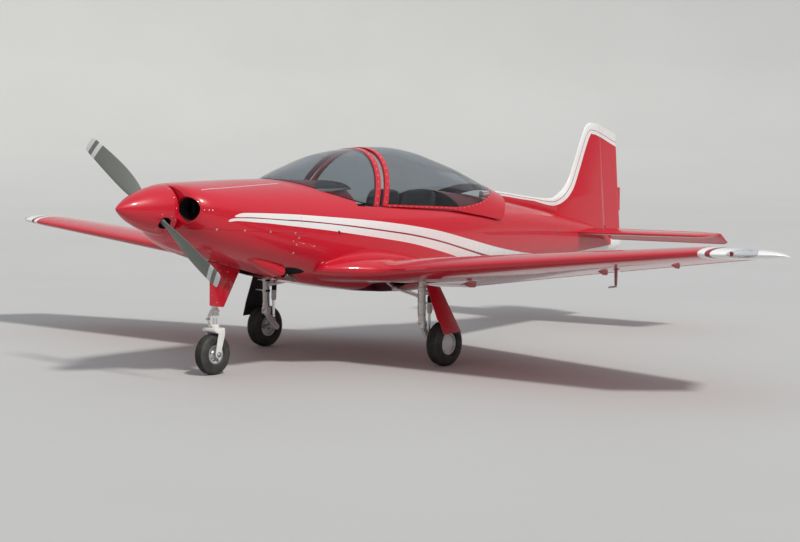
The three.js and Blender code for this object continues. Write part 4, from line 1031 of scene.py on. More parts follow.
hull_solid = hull("hull_src", FUSELAGE, spread(1420, 6215, 36), 0, 168, M["red"])
SRC_HULL = Source(hull_rings(FUSELAGE, spread(1420, 6215, 36), 0, 168))
hull_grown = hull("hull_grown", FUSELAGE, spread(1420, 6215, 36), 0.35, 168, CUT, ends=2)
fuselage = duplicate(hull_solid, "fuselage_skin")
cabin_cut = hull("cabin_cut", CABIN, spread(1475, 3900, 60), 0, 96, M["trim"])
SRC_CABIN = Source(hull_rings(CABIN, spread(1475, 3900, 60), 0, 96))
cockpit_cut = prism("cockpit_cut", [(2060, sill_z(2060)), (3400, sill_z(3400)), (3400, 1700), (2060, 1700)], -700, 700)
bay_cuts = []
for sd in (1, -1):
    bay_cuts.append(boxm("wheel_bay", 2290, 2680, *sorted((sd * 90, sd * 600)), 300, 662))
    bay_cuts.append(boxm("leg_bay", 2318, 2520, *sorted((sd * 470, sd * 905)), 400, 742))
# Scoops behind the bulges of the cowl: station, distance y, height, radius
SCOOP = np.array([[1250, 318, 772, 52], [1318, 322, 764, 58], [1400, 338, 752, 62], [1460, 350, 750, 50], [1510, 362, 752, 26], [1530, 370, 754, 10]], float)
outlet_cuts = []
for sd in (1, -1):
    rings = []
    for s in spread(1250, 1530, 12):
        _, y_, z_, r_ = row_at(SCOOP, s)
        rings.append(np.array([[NX - s, sd * y_ + r_ * math.cos(2 * math.pi * k / 40), z_ + r_ * math.sin(2 * math.pi * k / 40)] for k in range(40)]))
    # the scoop walls are matt black: painted shade inside the outlets
    outlet_cuts.append(loft("outlet_cut", rings, M["dark"]))
elev_cut = cylinder("elev_cut", (NX - 6000, -200, 898), (NX - 6000, 200, 898), 22)
elev_cut2 = boxm("elev_cut2", 5960, 6000, -200, 200, 876, 920)
boolean(fuselage, [("DIFFERENCE", c) for c in [cabin_cut, cockpit_cut, *bay_cuts, elev_cut, elev_cut2, *outlet_cuts]])
keep_largest(fuselage)
zones(fuselage, side_paint)
# cut faces of the bays and openings take the darker red, painted shade
skin2(fuselage, [(SRC_HULL, 1, OUTER), (SRC_CABIN, -1, {"cabin_trim_grey"})], M["bay"])
place(fuselage, "airframe", "red_airframe", "fuselage")

# ------------------------------------------------------------------------- cowls
cowl_stations = [448, 452, 458, 466, 476, 488, 500, 515, 532, 552, 580] + spread(610, 1419.5, 27)
cowl_solid = hull("cowl_src", COWL, cowl_stations, 0, 168, M["red"])
SRC_COWL = Source(hull_rings(COWL, cowl_stations, 0, 168))
cowl_in_st = [462, 480, 500, 530, 580] + spread(640, 1418, 40) + [1440]
# the cowl's inside is matt black: painted shade inside the cowl
cowl_in = hull("cowl_in", COWL, cowl_in_st, -10, 96, M["dark"])
SRC_COWL_IN = Source(hull_rings(COWL, cowl_in_st, -10, 96))
INLET = dict(y=232, z=1257, ry=108, rz=89)
SPLIT = [(380, 1128), (1500, 1048)]
OUTLET = dict(y=316, z=748)


def ellipse_rod(name, side, grow, s0, s1, n=64):
    rings = []
    for s in (s0, s1):
        rings.append(np.array([[NX - s, side * INLET["y"] + (INLET["ry"] + grow) * math.cos(2 * math.pi * k / n),
                                INLET["z"] + (INLET["rz"] + grow) * math.sin(2 * math.pi * k / n)] for k in range(n)]))
    return loft(name, rings, M["dark"])


inlets = [ellipse_rod("inlet_cut", sd, 11, 380, 680) for sd in (1, -1)]
shaft = cylinder("shaft_cut", (NX - 400, 0, THRUST_Z - 18), (NX - 560, 0, THRUST_Z - 22), 120, n=64)
shell = duplicate(cowl_solid, "cowl_shell")
boolean(shell, [("DIFFERENCE", c) for c in [cowl_in, *inlets, shaft]])


def half_plane(line, off, z):
    (a, b), (c, d) = line
    return [(a, b + off), (c, d + off), (c, z), (a, z)]


upper_cut = prism("upper_cut", half_plane(SPLIT, 0.6, 2200), -900, 900)
lower_cut = prism("lower_cut", half_plane(SPLIT, -0.6, 100), -900, 900)
cowl_upper = duplicate(shell, "cowl_upper_skin")
boolean(cowl_upper, [("INTERSECT", upper_cut)])
keep_largest(cowl_upper)
zones(cowl_upper, side_paint)
skin2(cowl_upper, [(SRC_COWL, 1, OUTER), (SRC_COWL_IN, -1, {"matt_black"})], M["red"])
# the bands start behind the inlets
recolour(cowl_upper, M["red"], lambda c, n: NX - c.x * 1000 < 560 and abs(c.y) * 1000 < 290 and n.x > 0.5, only=(M["white"], M["maroon"]))
place(cowl_upper, "airframe", "red_cowl", "cowl_upper")

# Lower half with the bulges that end in the outlets.
cowl_lower = duplicate(shell, "cowl_lower_skin")
BULGE = np.array([[930, 2], [950, 12], [1030, 40], [1130, 56], [1240, 63], [1318, 64]], float)
bulge_src = []
for sd in (1, -1):
    rings = []
    for s in spread(932, 1318, 16):
        r = row_at(BULGE, s)[1]
        cz = 905 - (s - 950) * 0.37
        cy = sd * (OUTLET["y"] + (1318 - s) * 0.03)
        rings.append(np.array([[NX - s, cy + r * math.cos(2 * math.pi * k / 48), cz + r * math.sin(2 * math.pi * k / 48)] for k in range(48)]))
    bulge_src.append((loft("bulge", rings, M["red"]), Source(rings)))
nose_bay = boxm("nose_bay", 800, 1395, -100, 100, 500, 930)
for b, _ in bulge_src:
    piece = duplicate(b)
    boolean(piece, [("DIFFERENCE", cowl_in)])
    boolean(cowl_lower, [("UNION", piece)])
    drop(piece)
boolean(cowl_lower, [("INTERSECT", lower_cut), ("DIFFERENCE", nose_bay), ("DIFFERENCE", outlet_cuts[0]), ("DIFFERENCE", outlet_cuts[1])])
keep_largest(cowl_lower)
# cut faces, such as the nose bay walls and the outlets, are matt black: painted shade in these openings
skin2(cowl_lower, [(SRC_COWL, 1, OUTER), (bulge_src[0][1], 1, OUTER), (bulge_src[1][1], 1, OUTER), (SRC_COWL_IN, -1, {"matt_black"})], M["dark"])
place(cowl_lower, "airframe", "red_cowl", "cowl_lower")

# Rounded lips and ducts in the two air inlets; past the red lip the duct walls are matt black, painted shade inside the
# inlet.
def cowl_front(y, z):
    """Station where the cowl's surface starts behind the point (y, z)."""
    lo, hi = 448.0, 640.0

    def inside(s):
        r = row_at(COWL, s)
        return z < top_at(r, y) and z > r[4] - (r[4] - r[2]) * max(0.0, 1 - min(abs(y) / r[3], 1.0) ** r[6]) ** (1 / r[6]) and abs(y) < r[3]
    if inside(lo):
        return lo
    for _ in range(26):
        mid = (lo + hi) / 2
        if inside(mid):
            hi = mid
        else:
            lo = mid
    return hi


def inlet_duct(side):
    n = 72
    prof = [(11.4, 0.0, 0), (8.0, -4.0, 0), (3.5, -3.5, 0), (0.0, 2.0, 0), (-3.0, 14.0, 0), (-6.0, 34.0, 0), (-10.0, 70.0, 1), (-14.0, 120.0, 1)]
    cols = []
    for k in range(n):
        a = 2 * math.pi * k / n
        c, s_ = math.cos(a), math.sin(a)
        base = cowl_front(side * INLET["y"] + (INLET["ry"] + 11) * c, INLET["z"] + (INLET["rz"] + 11) * s_)
        front, back = [], []
        for g, ds, _ in prof:
            s = base + max(ds, -max(base - 449.0, 0.0))
            front.append([NX - s, side * INLET["y"] + (INLET["ry"] + g) * c, INLET["z"] + (INLET["rz"] + g) * s_])
        for g, ds, _ in prof[::-1]:
            s = base + max(ds, 0) + 3.0
            back.append([NX - s, side * INLET["y"] + (INLET["ry"] + g + (3.0 if ds > 2 else 0.0)) * c, INLET["z"] + (INLET["rz"] + g + (3.0 if ds > 2 else 0.0)) * s_])
        cols.append(front + back)
    m = len(cols[0])
    V = [p for col in cols for p in col]
    F, FM = [], []
    for k in range(n):
        for j in range(m):
            a, b = k * m + j, k * m + (j + 1) % m
            c, d = ((k + 1) % n) * m + (j + 1) % m, ((k + 1) % n) * m + j
            F.append((a, b, c, d))
            # faces past the lip are matt black: painted shade in the duct
            FM.append(0 if j < 5 else 1)
    o = outward(new_object("inlet_duct_" + ("left" if side > 0 else "right"), V, F, [M["red"], M["dark"]], FM))
    auto_smooth(o, 50)
    place(o, "airframe", "red_cowl")


for sd in (1, -1):
    inlet_duct(sd)

# ------------------------------------------------------------------- greenhouse
green_stations = spread(1400, 4240, 30)


def green_solid(name, grow, mats):
    return hull(name, GREENHOUSE, green_stations, grow, 176, mats, ends=(30 if grow < 0 else 0))


g_out = green_solid("g_out", 0, M["smoke"])
g_in = green_solid("g_in", -6, M["smoke"])
SRC_GLASS, SRC_GLASS_IN = (Source(hull_rings(GREENHOUSE, green_stations, q, 176)) for q in (0, -6))
LEAN = 0.465
WIND_BOW = (2238, 2294)
CAN_BOW = (2344, 2394)


def strip_prism(name, s0, s1):
    z0, z1, z = 1150, 1760, 1225
    return prism(name, [(s0 + LEAN * (z0 - z), z0), (s1 + LEAN * (z0 - z), z0), (s1 + LEAN * (z1 - z), z1), (s0 + LEAN * (z1 - z), z1)], -700, 700)


glass_shell = duplicate(g_out, "glass_shell")
boolean(glass_shell, [("DIFFERENCE", g_in)])
wind_strip = strip_prism("wind_strip", 900, WIND_BOW[0] - 0.4)
above_sill = prism("above_sill", [(1300, sill_z(1300) + 0.4), (4400, sill_z(4400) + 0.4), (4400, 1900), (1300, 1900)], -700, 700)
base_cut = boxm("base_cut", 1300, 1700, -700, 700, 900, 1300)
windshield = duplicate(glass_shell, "windshield_pane")
boolean(windshield, [("INTERSECT", wind_strip), ("INTERSECT", above_sill), ("DIFFERENCE", hull_grown), ("DIFFERENCE", base_cut)])
keep_largest(windshield)
skin2(windshield, [(SRC_GLASS, 1, {"smoke_acrylic"}), (SRC_GLASS_IN, -1, {"smoke_acrylic"})], M["smoke"])
place(windshield, "airframe", "clear_plastic", "windshield_glass")

# Skirt of the sliding canopy: side outline, round corners under the glass.
SKIRT_LOW = [(2330, 1236), (2700, 1216), (3200, 1188), (3550, 1136), (3800, 1100), (3925, 1079), (3965, 1078), (4010, 1096), (4215, 1300)]
SKIRT_UP = [(4060, 1440), (4060, 1388), (4030, 1352), (3960, 1310), (3860, 1274), (3700, 1238), (3560, 1218), (3430, 1206), (3300, 1203),
            (3150, 1212), (2330, 1252)]
skirt_prism = prism("skirt_prism", SKIRT_LOW + [(4215, 1440)] + SKIRT_UP, -700, 700)
k_out = green_solid("k_out", 2, M["red"])
k_in = green_solid("k_in", -8, M["trim"])
SRC_K, SRC_K_IN = (Source(hull_rings(GREENHOUSE, green_stations, q, 176)) for q in (2, -8))
hull_clear = hull("hull_clear", FUSELAGE, spread(1420, 6215, 60), 7, 120, CUT, ends=2)
skirt = duplicate(k_out, "canopy_skirt")
canopy_rear = prism("canopy_rear", [(CAN_BOW[0] + LEAN * -75, 1150), (4400, 1000), (4400, 1900), (CAN_BOW[0] + LEAN * 535, 1760)], -700, 700)
boolean(skirt, [("DIFFERENCE", k_in), ("INTERSECT", skirt_prism), ("INTERSECT", canopy_rear), ("DIFFERENCE", hull_clear)])
keep_largest(skirt)
skin2(skirt, [(SRC_K, 1, OUTER), (SRC_K_IN, -1, {"cabin_trim_grey"})], M["red"])

glass_up = [(s + (0.4 if s < 3200 else 0.5), z + 0.4) for s, z in SKIRT_UP[1:-1]][::-1]
rear_glass_prism = prism("rear_glass_prism", [(2200, 1258)] + glass_up + [(4059.6, 1900), (2200, 1900)], -700, 700)
rear_strip = strip_prism("rear_strip", CAN_BOW[1] + 0.4, 6000)
rear_glass = duplicate(glass_shell, "canopy_pane")
boolean(rear_glass, [("INTERSECT", rear_strip), ("INTERSECT", rear_glass_prism), ("DIFFERENCE", skirt)])
keep_largest(rear_glass)
skin2(rear_glass, [(SRC_GLASS, 1, {"smoke_acrylic"}), (SRC_GLASS_IN, -1, {"smoke_acrylic"})], M["smoke"])
place(rear_glass, "canopy", "clear_plastic", "canopy_glass")


def green_inside(s, y, z, grow):
    r = row_at(GREENHOUSE, s)
    half, top, mid = r[3] + grow, r[1] + grow, r[4]
    if z >= mid:
        return (abs(y) / half) ** r[5] + ((z - mid) / (top - mid)) ** r[5] < 1
    return abs(y) < half


def green_point(s_sill, phi, grow=0.0):
    """Point on the greenhouse in the leaning plane through s_sill, in the direction phi from (0, 1225)."""
    c, d = math.cos(phi), math.sin(phi)
    lo, hi = 20.0, 800.0
    for _ in range(30):
        r = (lo + hi) / 2
        z = 1225 + r * d
        if green_inside(min(max(s_sill + LEAN * (z - 1225), 1401), 4239), r * c, z, grow):
            lo = r
        else:
            hi = r
    z = 1225 + lo * d
    s = s_sill + LEAN * (z - 1225)
    return Vector((NX - s, lo * c, z))


def green_normal(s_sill, phi):
    a = green_point(s_sill, phi + 0.01) - green_point(s_sill, phi - 0.01)
    b = green_point(s_sill + 6, phi) - green_point(s_sill - 6, phi)
    n = a.cross(b).normalized()
    p = green_point(s_sill, phi)
    if n.dot(Vector((0, p.y, p.z - 1100))) < 0:
        n = -n
    return n


def bow(name, s0, s1, inner, outer, z_end, mats, lip=3.0):
    """Hoop with a rounded section across the greenhouse, from sill to sill."""
    smid = (s0 + s1) / 2
    phis = []
    # end angle at the height z_end
    lo, hi = -0.4, 0.6
    for _ in range(40):
        q = (lo + hi) / 2
        if green_point(smid, q).z < z_end:
            lo = q
        else:
            hi = q
    phis = np.linspace(lo, math.pi - lo, 121)
    w = (s1 - s0) / 2
    d0, d1 = -inner, outer
    r = 2.6
    sec = []
    for cx, cy, a0 in ((w - r, d1 - r, 0), (-(w - r), d1 - r, 90), (-(w - r), d0 + r, 180), (w - r, d0 + r, 270)):
        for k in range(4):
            a = rad(a0 + 30 * k)
            sec.append((cx + r * math.cos(a), cy + r * math.sin(a)))
    rings = []
    for q in phis:
        p = green_point(smid, q)
        n = green_normal(smid, q)
        along = (green_point(s1, q) - green_point(s0, q)).normalized()
        n = (n - along * n.dot(along)).normalized()
        rings.append(np.array([p + along * u + n * v for u, v in sec]))
    o = loft(name, rings, mats)
    return auto_smooth(o, 40)


wind_bow = bow("windshield_hoop", *WIND_BOW, 25, 2.6, 1238, M["red"])
wind_frame = joined("windshield_hoop_frame", [wind_bow])
boolean(wind_frame, [("INTERSECT", above_sill)])
auto_smooth(wind_frame, 35)
place(wind_frame, "airframe", "red_metal", "windshield_bow")
can_bow = bow("canopy_hoop", *CAN_BOW, 21, 2.6, 1244, M["red"])


def bow_spots(smid_list, z_end, step, lift):
    spots = []
    for smid in smid_list:
        lo, hi = -0.4, 0.6
        for _ in range(40):
            q = (lo + hi) / 2
            if green_point(smid, q).z < z_end:
                lo = q
            else:
                hi = q
        phis = np.linspace(lo, math.pi - lo, 400)
        P = [green_point(smid, q) for q in phis]
        d = np.r_[0, np.cumsum([(P[i + 1] - P[i]).length for i in range(len(P) - 1)])]
        n = int(d[-1] // step)
        for t in np.linspace(0, d[-1], n + 1):
            q = float(np.interp(t, d, phis))
            nrm = green_normal(smid, q)
            spots.append((green_point(smid, q) + nrm * lift, nrm))
    return spots


rivets_w = domes("windshield_rivets", bow_spots([(WIND_BOW[0] + WIND_BOW[1]) / 2], 1262, 62, 2.6), 3.6, 1.3, M["rivet"])
place(rivets_w, "airframe", "red_metal")
rivets_c = domes("canopy_rivets", bow_spots([(CAN_BOW[0] + CAN_BOW[1]) / 2], 1266, 62, 2.6), 3.6, 1.3, M["rivet"])
canopy_frame = joined("canopy_frame_shell", [skirt, can_bow])


def green_side(s, z, grow=0.0, side=1):
    r = row_at(GREENHOUSE, s)
    y = (r[3] + grow) * max(0.0, 1 - (max(z - r[4], 0) / (r[1] + grow - r[4])) ** r[5]) ** (1 / r[5])
    e = 4.0

    def w(s_, z_):
        q = row_at(GREENHOUSE, s_)
        return (q[3] + grow) * max(0.0, 1 - (max(z_ - q[4], 0) / (q[1] + grow - q[4])) ** q[5]) ** (1 / q[5])
    n = Vector(((w(s + e, z) - w(s - e, z)) / (2 * e), 1.0, -(w(s, z + e) - w(s, z - e)) / (2 * e))).normalized()
    p = Vector((NX - s, y, z))
    if side < 0:
        p.y, n.y = -p.y, -n.y
    return p, n


# Screws along the upper edge of the skirt.
spots = []
edge = [(4034, 1372), (4012, 1347), (3940, 1309), (3850, 1270), (3700, 1232), (3560, 1209), (3430, 1197), (3300, 1193), (3150, 1202), (2420, 1236)]
line = smooth_line(edge, 62)
for sd in (1, -1):
    for s, z in line:
        p, n = green_side(s, z, 2.0, sd)
        spots.append((p, n))
skirt_rivets = domes("skirt_rivets", spots, 3.4, 1.2, M["rivet"])
canopy_all = place(canopy_frame, "canopy", "red_metal", "canopy_frame")
place(rivets_c, "canopy", "red_metal")
place(skirt_rivets, "canopy", "red_metal")

# ------------------------------------------------------------------------- wing
WING = dict(le=1945.0, root=1790.0, tip=735.0, z=687.0, dihedral=0.093, inc=7.3, wash=2.1, root_t=0.125, tip_t=0.1, camber=0.022)
# distance y, how far back the leading and trailing edges lie from the straight ones, share of the thickness, lowering
WING_ROWS = np.array([
    [300, -345, 0, 1, 0], [480, -330, 0, 1, 0], [600, -235, 0, 1, 0], [700, -110, 0, 1, 0], [800, -18, 0, 1, 0], [1000, 0, 0, 1, 0],
    [2300, 0, 0, 1, 0], [3500, 0, 0, 1, 0], [3530, 1, 0, 1, 1], [3560, 11, 0, 0.988, 3], [3600, 39, 0, 0.953, 6], [3640, 71, 0, 0.914, 8],
    [3700, 121, 0, 0.868, 10], [3740, 153, 0, 0.849, 12], [3800, 201, -29, 0.791, 13], [3850, 242, -96, 0.685, 14], [3900, 285, -178, 0.537, 16],
    [3940, 320, -246, 0.365, 19], [3975, 352, -306, 0.17, 24], [3990, 366, -328, 0.09, 29], [4000, 374, -341, 0.04, 34]], float)


def foil(x, t, camber):
    yt = 5 * t * (0.2969 * math.sqrt(max(x, 0)) - 0.126 * x - 0.3516 * x * x + 0.2843 * x ** 3 - 0.1036 * x ** 4)
    p = 0.4
    yc = camber / p ** 2 * (2 * p * x - x * x) if x < p else camber / (1 - p) ** 2 * (1 - 2 * p + 2 * p * x - x * x)
    return yc + yt, yc - yt


def chord_at(y):
    k = y / 4000.0
    c = WING["root"] + (WING["tip"] - WING["root"]) * k
    inc = rad(WING["inc"] - WING["wash"] * k)
    z = WING["z"] + WING["dihedral"] * y
    return dict(le=WING["le"], c=c, inc=inc, z=z, t=WING["root_t"] + (WING["tip_t"] - WING["root_t"]) * k,
                te=WING["le"] + c * math.cos(inc), te_z=z - c * math.sin(inc))


def wing_row(y):
    """Values between the rows: straight where they don't change, rounded towards the tip."""
    if 1000 <= y <= 3500:
        return 0.0, 0.0, 1.0, 0.0
    r = row_at(WING_ROWS, max(y, 300))
    if y < 1000:
        return min(r[1], 0.0), 0.0, 1.0, 0.0
    return max(float(r[1]), 0.0), min(float(r[2]), 0.0), min(float(r[3]), 1.0), max(float(r[4]), 0.0)


XS = [0, 0.0012, 0.004, 0.009, 0.016, 0.026, 0.04, 0.06, 0.085, 0.115, 0.15, 0.19, 0.24, 0.30, 0.36, 0.42, 0.48, 0.55, 0.62, 0.69, 0.75, 0.80,
      0.85, 0.90, 0.94, 0.97, 1.0]


def wing_ring(y):
    lead, trail, thick, drop_ = wing_row(y)
    w = chord_at(y)
    le = w["le"] + lead
    c = w["c"] + (trail - lead) / math.cos(w["inc"])
    t = w["t"] * w["c"] * thick / c
    zl = w["z"] - (le - w["le"]) * math.tan(w["inc"])
    up, down = [], []
    for x in XS:
        a, b = foil(x, t, WING["camber"])
        s = le + x * c * math.cos(w["inc"])
        z = zl - x * c * math.sin(w["inc"]) - drop_
        e = 1.2 * x
        up.append([NX - s, y, z + a * c + e])
        down.append([NX - s, y, z + b * c - e])
    return np.array(up + down[1:][::-1])


wing_ys = spread(300, 1000, 20) + spread(1060, 3500, 60)[:-1] + spread(3500, 3800, 15) + [3812, 3825, 3838, 3850, 3862, 3875, 3888, 3900, 3911, 3922, 3932, 3942, 3951, 3960, 3968, 3975, 3981, 3986, 3990.5, 3994, 3997, 3999, 4000]
wing_ys = sorted(set(wing_ys))
wing_rings = [wing_ring(y) for y in wing_ys]
wing_src = loft("wing_src", wing_rings, M["red"])
SRC_WING = Source(wing_rings)
SRC_WING_R = Source([r * np.array([1, -1, 1]) for r in wing_rings])

FLAP = dict(y0=606, y1=2090, hinge=0.765)
AILERON = dict(y0=2101, y1=3540, hinge=0.765)


def hinge_point(y, part):
    w = chord_at(y)
    a, b = foil(part, w["t"], WING["camber"])
    s = w["le"] + part * w["c"] * math.cos(w["inc"])
    z = w["z"] - part * w["c"] * math.sin(w["inc"]) + (a + b) / 2 * w["c"]
    return Vector((NX - s, y, z)), (a - b) / 2 * w["c"] * math.cos(w["inc"]) - 0.5, w


def surface_ring(p, r, te, nose=20, te_half=1.5, belly=0.0):
    ang = math.atan2(te[1] - p.z, te[0] - p.x)
    ring_ = []
    for k in range(nose + 1):
        a = ang + math.pi / 2 + math.pi * k / nose
        ring_.append([p.x + r * math.cos(a), p.y, p.z + r * math.sin(a)])
    n = 9
    last = ring_[-1]
    first = ring_[0]
    lo = [te[0], p.y, te[1] - te_half]
    hi = [te[0], p.y, te[1] + te_half]
    # sides run straight from the nose to the trailing edge
    nx, nz = -math.sin(ang), math.cos(ang)
    for k in range(1, n):
        t = k / n
        ring_.append([last[0] + (lo[0] - last[0]) * t , p.y,
                      last[2] + (lo[2] - last[2]) * t])
    ring_ += [lo, hi]
    for k in range(n - 1, 0, -1):
        t = k / n
        ring_.append([first[0] + (hi[0] - first[0]) * t, p.y, first[2] + (hi[2] - first[2]) * t])
    return np.array(ring_)


def slab_between(name, A, B, ra, rb, axis, ahead):
    back = Vector((-1, 0, 0))
    back = (back - axis * back.dot(axis)).normalized()
    up = axis.cross(back).normalized()
    rings = []
    for c, r in ((A, ra), (B, rb)):
        rings.append(np.array([c + back * u + up * v for u, v in ((-(r + ahead), -220), (560, -220), (560, 220), (-(r + ahead), 220))]))
    return outward(loft(name, rings, M["dark"]))


def wing_surface(name, d):
    pa, ra, _ = hinge_point(d["y0"], d["hinge"])
    pb, rb, _ = hinge_point(d["y1"], d["hinge"])
    axis = (pb - pa).normalized()
    rings = []
    for y in spread(d["y0"] - 40, d["y1"] + 40, 70):
        p, r, w = hinge_point(y, d["hinge"])
        rings.append(surface_ring(p, r, (NX - w["te"], w["te_z"])))
    o = loft(name, rings, M["red"])
    keep = slab_between("keep", pa, pb, ra, rb, axis, 40)
    keep.data.materials[0] = M["red"]
    boolean(o, [("INTERSECT", keep)])
    drop(keep)
    # room in the wing: round cove ahead of the hinge line, open behind
    g = 7.0
    A, B = pa - axis * g, pb + axis * g
    back = Vector((-1, 0, 0))
    back = (back - axis * back.dot(axis)).normalized()
    up = axis.cross(back).normalized()
    cove = []
    for c, r in ((A, ra), (B, rb)):
        R = r + 4.0
        pts = [c + back * (-R * math.cos(a)) + up * (R * math.sin(a)) for a in np.linspace(-math.pi / 2, math.pi / 2, 25)]
        pts += [c + back * 560 + up * R, c + back * 560 + up * 220, c + back * -2 + up * 220, c + back * -2 + up * (R + 0.01)][:0]
        pts += [c + back * 560 + up * R, c + back * 560 - up * R]
        cove.append(np.array(pts))
    cut = loft(name + "_cove", cove, CUT)
    # open everything above and below, behind the hinge line
    w1 = []
    for c, r in ((A, ra), (B, rb)):
        w1.append(np.array([c + back * u + up * v for u, v in ((-3, -220), (560, -220), (560, 220), (-3, 220))]))
    cut2 = loft(name + "_cove", w1, CUT)
    return o, [cut, cut2]


flap_o, flap_cut = wing_surface("flap_left_skin", FLAP)
ail_o, ail_cut = wing_surface("aileron_left_skin", AILERON)
# the round noses are matt black: painted shade, as they sit in shade inside the wing
for o, d in ((flap_o, FLAP), (ail_o, AILERON)):
    recolour(o, M["dark"], lambda c, n, d=d: n.x > 0.3 and c.x > hinge_point(min(max(c.y * 1000, d["y0"]), d["y1"]), d["hinge"])[0].x / 1000)


def fillet_edges(o, angle=40):
    return auto_smooth(o, angle)


wing = duplicate(wing_src, "wing_left_skin")


def underside(s, y):
    w = chord_at(y)
    x = (s - w["le"]) / (w["c"] * math.cos(w["inc"]))
    return w["z"] - x * w["c"] * math.sin(w["inc"]) + foil(x, w["t"], WING["camber"])[1] * w["c"]


def topside(s, y):
    w = chord_at(y)
    x = (s - w["le"]) / (w["c"] * math.cos(w["inc"]))
    return w["z"] - x * w["c"] * math.sin(w["inc"]) + foil(x, w["t"], WING["camber"])[0] * w["c"]


TIP_LENS = dict(y=3760, z=1014, ry=81, rz=29, back=2290)


def lens_rod(name, grow, side, mats):
    rings = []
    for s in (1890, TIP_LENS["back"] + grow):
        rings.append(np.array([[NX - s, side * (TIP_LENS["y"] + (TIP_LENS["ry"] + grow) * math.cos(2 * math.pi * k / 72)),
                                TIP_LENS["z"] + (TIP_LENS["rz"] + grow) * math.sin(2 * math.pi * k / 72)] for k in range(72)]))
    return loft(name, rings, mats)


lens_grown = lens_rod("lens_grown", 0.7, 1, M["blade_white"])
boolean(wing, [("DIFFERENCE", c) for c in [*flap_cut, *ail_cut, *[b for b in bay_cuts if b.data.vertices[0].co.y > -0.05], lens_grown]])

# Paint on the tip, seen from above: white cap with a dark band.
def tip_line(y0, sweep):
    """Boundary that is most inboard at the leading edge and sweeps outboard behind it."""
    return [(s, y0 + sweep * ((max(s - 1960, 0)) / 560.0) ** 1.25) for s in np.linspace(1800, 2820, 36)]


def tip_paint(side, a, b, c):
    lines = [[(s, side * y) for s, y in tip_line(*q)] for q in ((a, 90), (b, 96), (c, 100))]
    return [(prism_z("tip_cut", lines[0] + lines[1][::-1], 700, 1400, WALL), M["white"]),
            (prism_z("tip_cut", lines[1] + lines[2][::-1], 700, 1400, WALL), M["maroon"]),
            (prism_z("tip_cut", lines[2] + [(2820, side * 4100), (1800, side * 4100)], 700, 1400, WALL), M["white"])]


wing_r = copy_mirror(wing, "wing_right_skin")
zones(wing, tip_paint(1, 3525, 3569, 3595))
zones(wing_r, tip_paint(-1, 3378, 3420, 3452))
boolean(wing, [("DIFFERENCE", hull_grown)])
keep_largest(wing)
skin2(wing, [(SRC_WING, 1, OUTER)], M["red"])
boolean(wing_r, [("DIFFERENCE", hull_grown)])
keep_largest(wing_r)
skin2(wing_r, [(SRC_WING_R, 1, OUTER)], M["red"])
place(wing, "airframe", "red_airframe", "wing_left")
place(wing_r, "airframe", "red_airframe", "wing_right")
for o, nm in ((flap_o, "flap"), (ail_o, "aileron")):
    auto_smooth(o, 40)
    r = copy_mirror(o, nm + "_right_skin")
    if nm == "aileron":
        zones(r, tip_paint(-1, 3378, 3420, 3452))
    auto_smooth(r, 40)
    place(o, nm + "_left", "red_airframe", nm + "_left")
    place(r, nm + "_right", "red_airframe", nm + "_right")

# ------------------------------------------------------------------------- tail
FIN = np.array([[905, 5330], [1100, 5340], [1222, 5362], [1262, 5425], [1302, 5493], [1377, 5575], [1518, 5657], [1708, 5755],
                [1851, 5838], [1905, 5878], [1934, 5935]], float)
RUDDER_TE = [(893, 6500), (1363, 6447), (1824, 6402), (1940, 6390)]
HINGE = [(880, 6215), (1930, 6095)]
FIN_T = 0.082


def lerp(rows, v):
    return float(np.interp(v, [r[0] for r in rows], [r[1] for r in rows]))


def fin_le(z):
    return float(row_at(FIN, min(max(z, 905), 1934))[1])


def fin_half(z, s):
    le = fin_le(z)
    c = lerp(RUDDER_TE, z) - le
    return foil(min(max((s - le) / c, 0), 1), FIN_T, 0)[0] * c


FX = [0, 0.002, 0.007, 0.015, 0.028, 0.045, 0.07, 0.10, 0.14, 0.19, 0.25, 0.32, 0.40, 0.48, 0.56, 0.64, 0.72, 0.80, 0.87, 0.94, 1.0]


def fin_ring(z):
    le = fin_le(z)
    c = lerp(RUDDER_TE, z) - le
    r = fin_half(z, lerp(HINGE, z))
    end = (lerp(HINGE, z) - 2 - le) / c
    left, right = [], []
    for k in FX:
        x = k * end
        a = foil(x, FIN_T, 0)[0] * c
        left.append([NX - le - x * c, a, z])
        right.append([NX - le - x * c, -a, z])
    return np.array(left + right[::-1][:-1])


fin_zs = spread(905, 1205, 50) + spread(1215, 1400, 9) + spread(1415, 1840, 25) + spread(1850, 1934, 9)
fin_rings = [fin_ring(z) for z in fin_zs]
fin = loft("fin_skin", fin_rings, M["red"])
SRC_FIN = Source(fin_rings)
TOP_LINE = [(5600, 1938), (5860, 1936), (5900, 1935), (5935, 1934), (6050, 1925), (6402, 1822), (6600, 1762)]
under_top = prism("under_top", [(5000, 400), (6700, 400), (6700, 1732)] + [p for p in TOP_LINE[::-1]] + [(5000, 1938)], -300, 300, M["red"])
STRAKE_TOP = [(4228, 1312), (4290, 1319), (4519, 1298), (4825, 1260), (5141, 1228), (5311, 1223), (5400, 1248), (5440, 1268), (5520, 1310)]


def strake_ring(s):
    # section across the strake: rounded top, widening towards the hull
    top = float(row_at(np.array(STRAKE_TOP, float), s)[1]) if s < 5440 else 1268 + (s - 5440) * 0.4
    row = hull_row(s)
    bot = row[1] - 40
    pts = []
    for y, dz in ((24, None), (24, 26), (22.5, 15), (19, 7), (14, 3), (7, 0.6), (0, 0)):
        pts.append((y, bot if dz is None else top - dz))
    L = [[NX - s, y, z] for y, z in pts]
    R = [[NX - s, -y, z] for y, z in pts[:-1][::-1]]
    return np.array(L + R)


strake_st = spread(4228, 5470, 30)
strake_rings = [strake_ring(s) for s in strake_st]
strake = loft("strake", strake_rings, M["red"])
SRC_STRAKE = Source(strake_rings)
tail_gone = boxm("tail_gone", 6185, 6600, -200, 200, 600, 935)
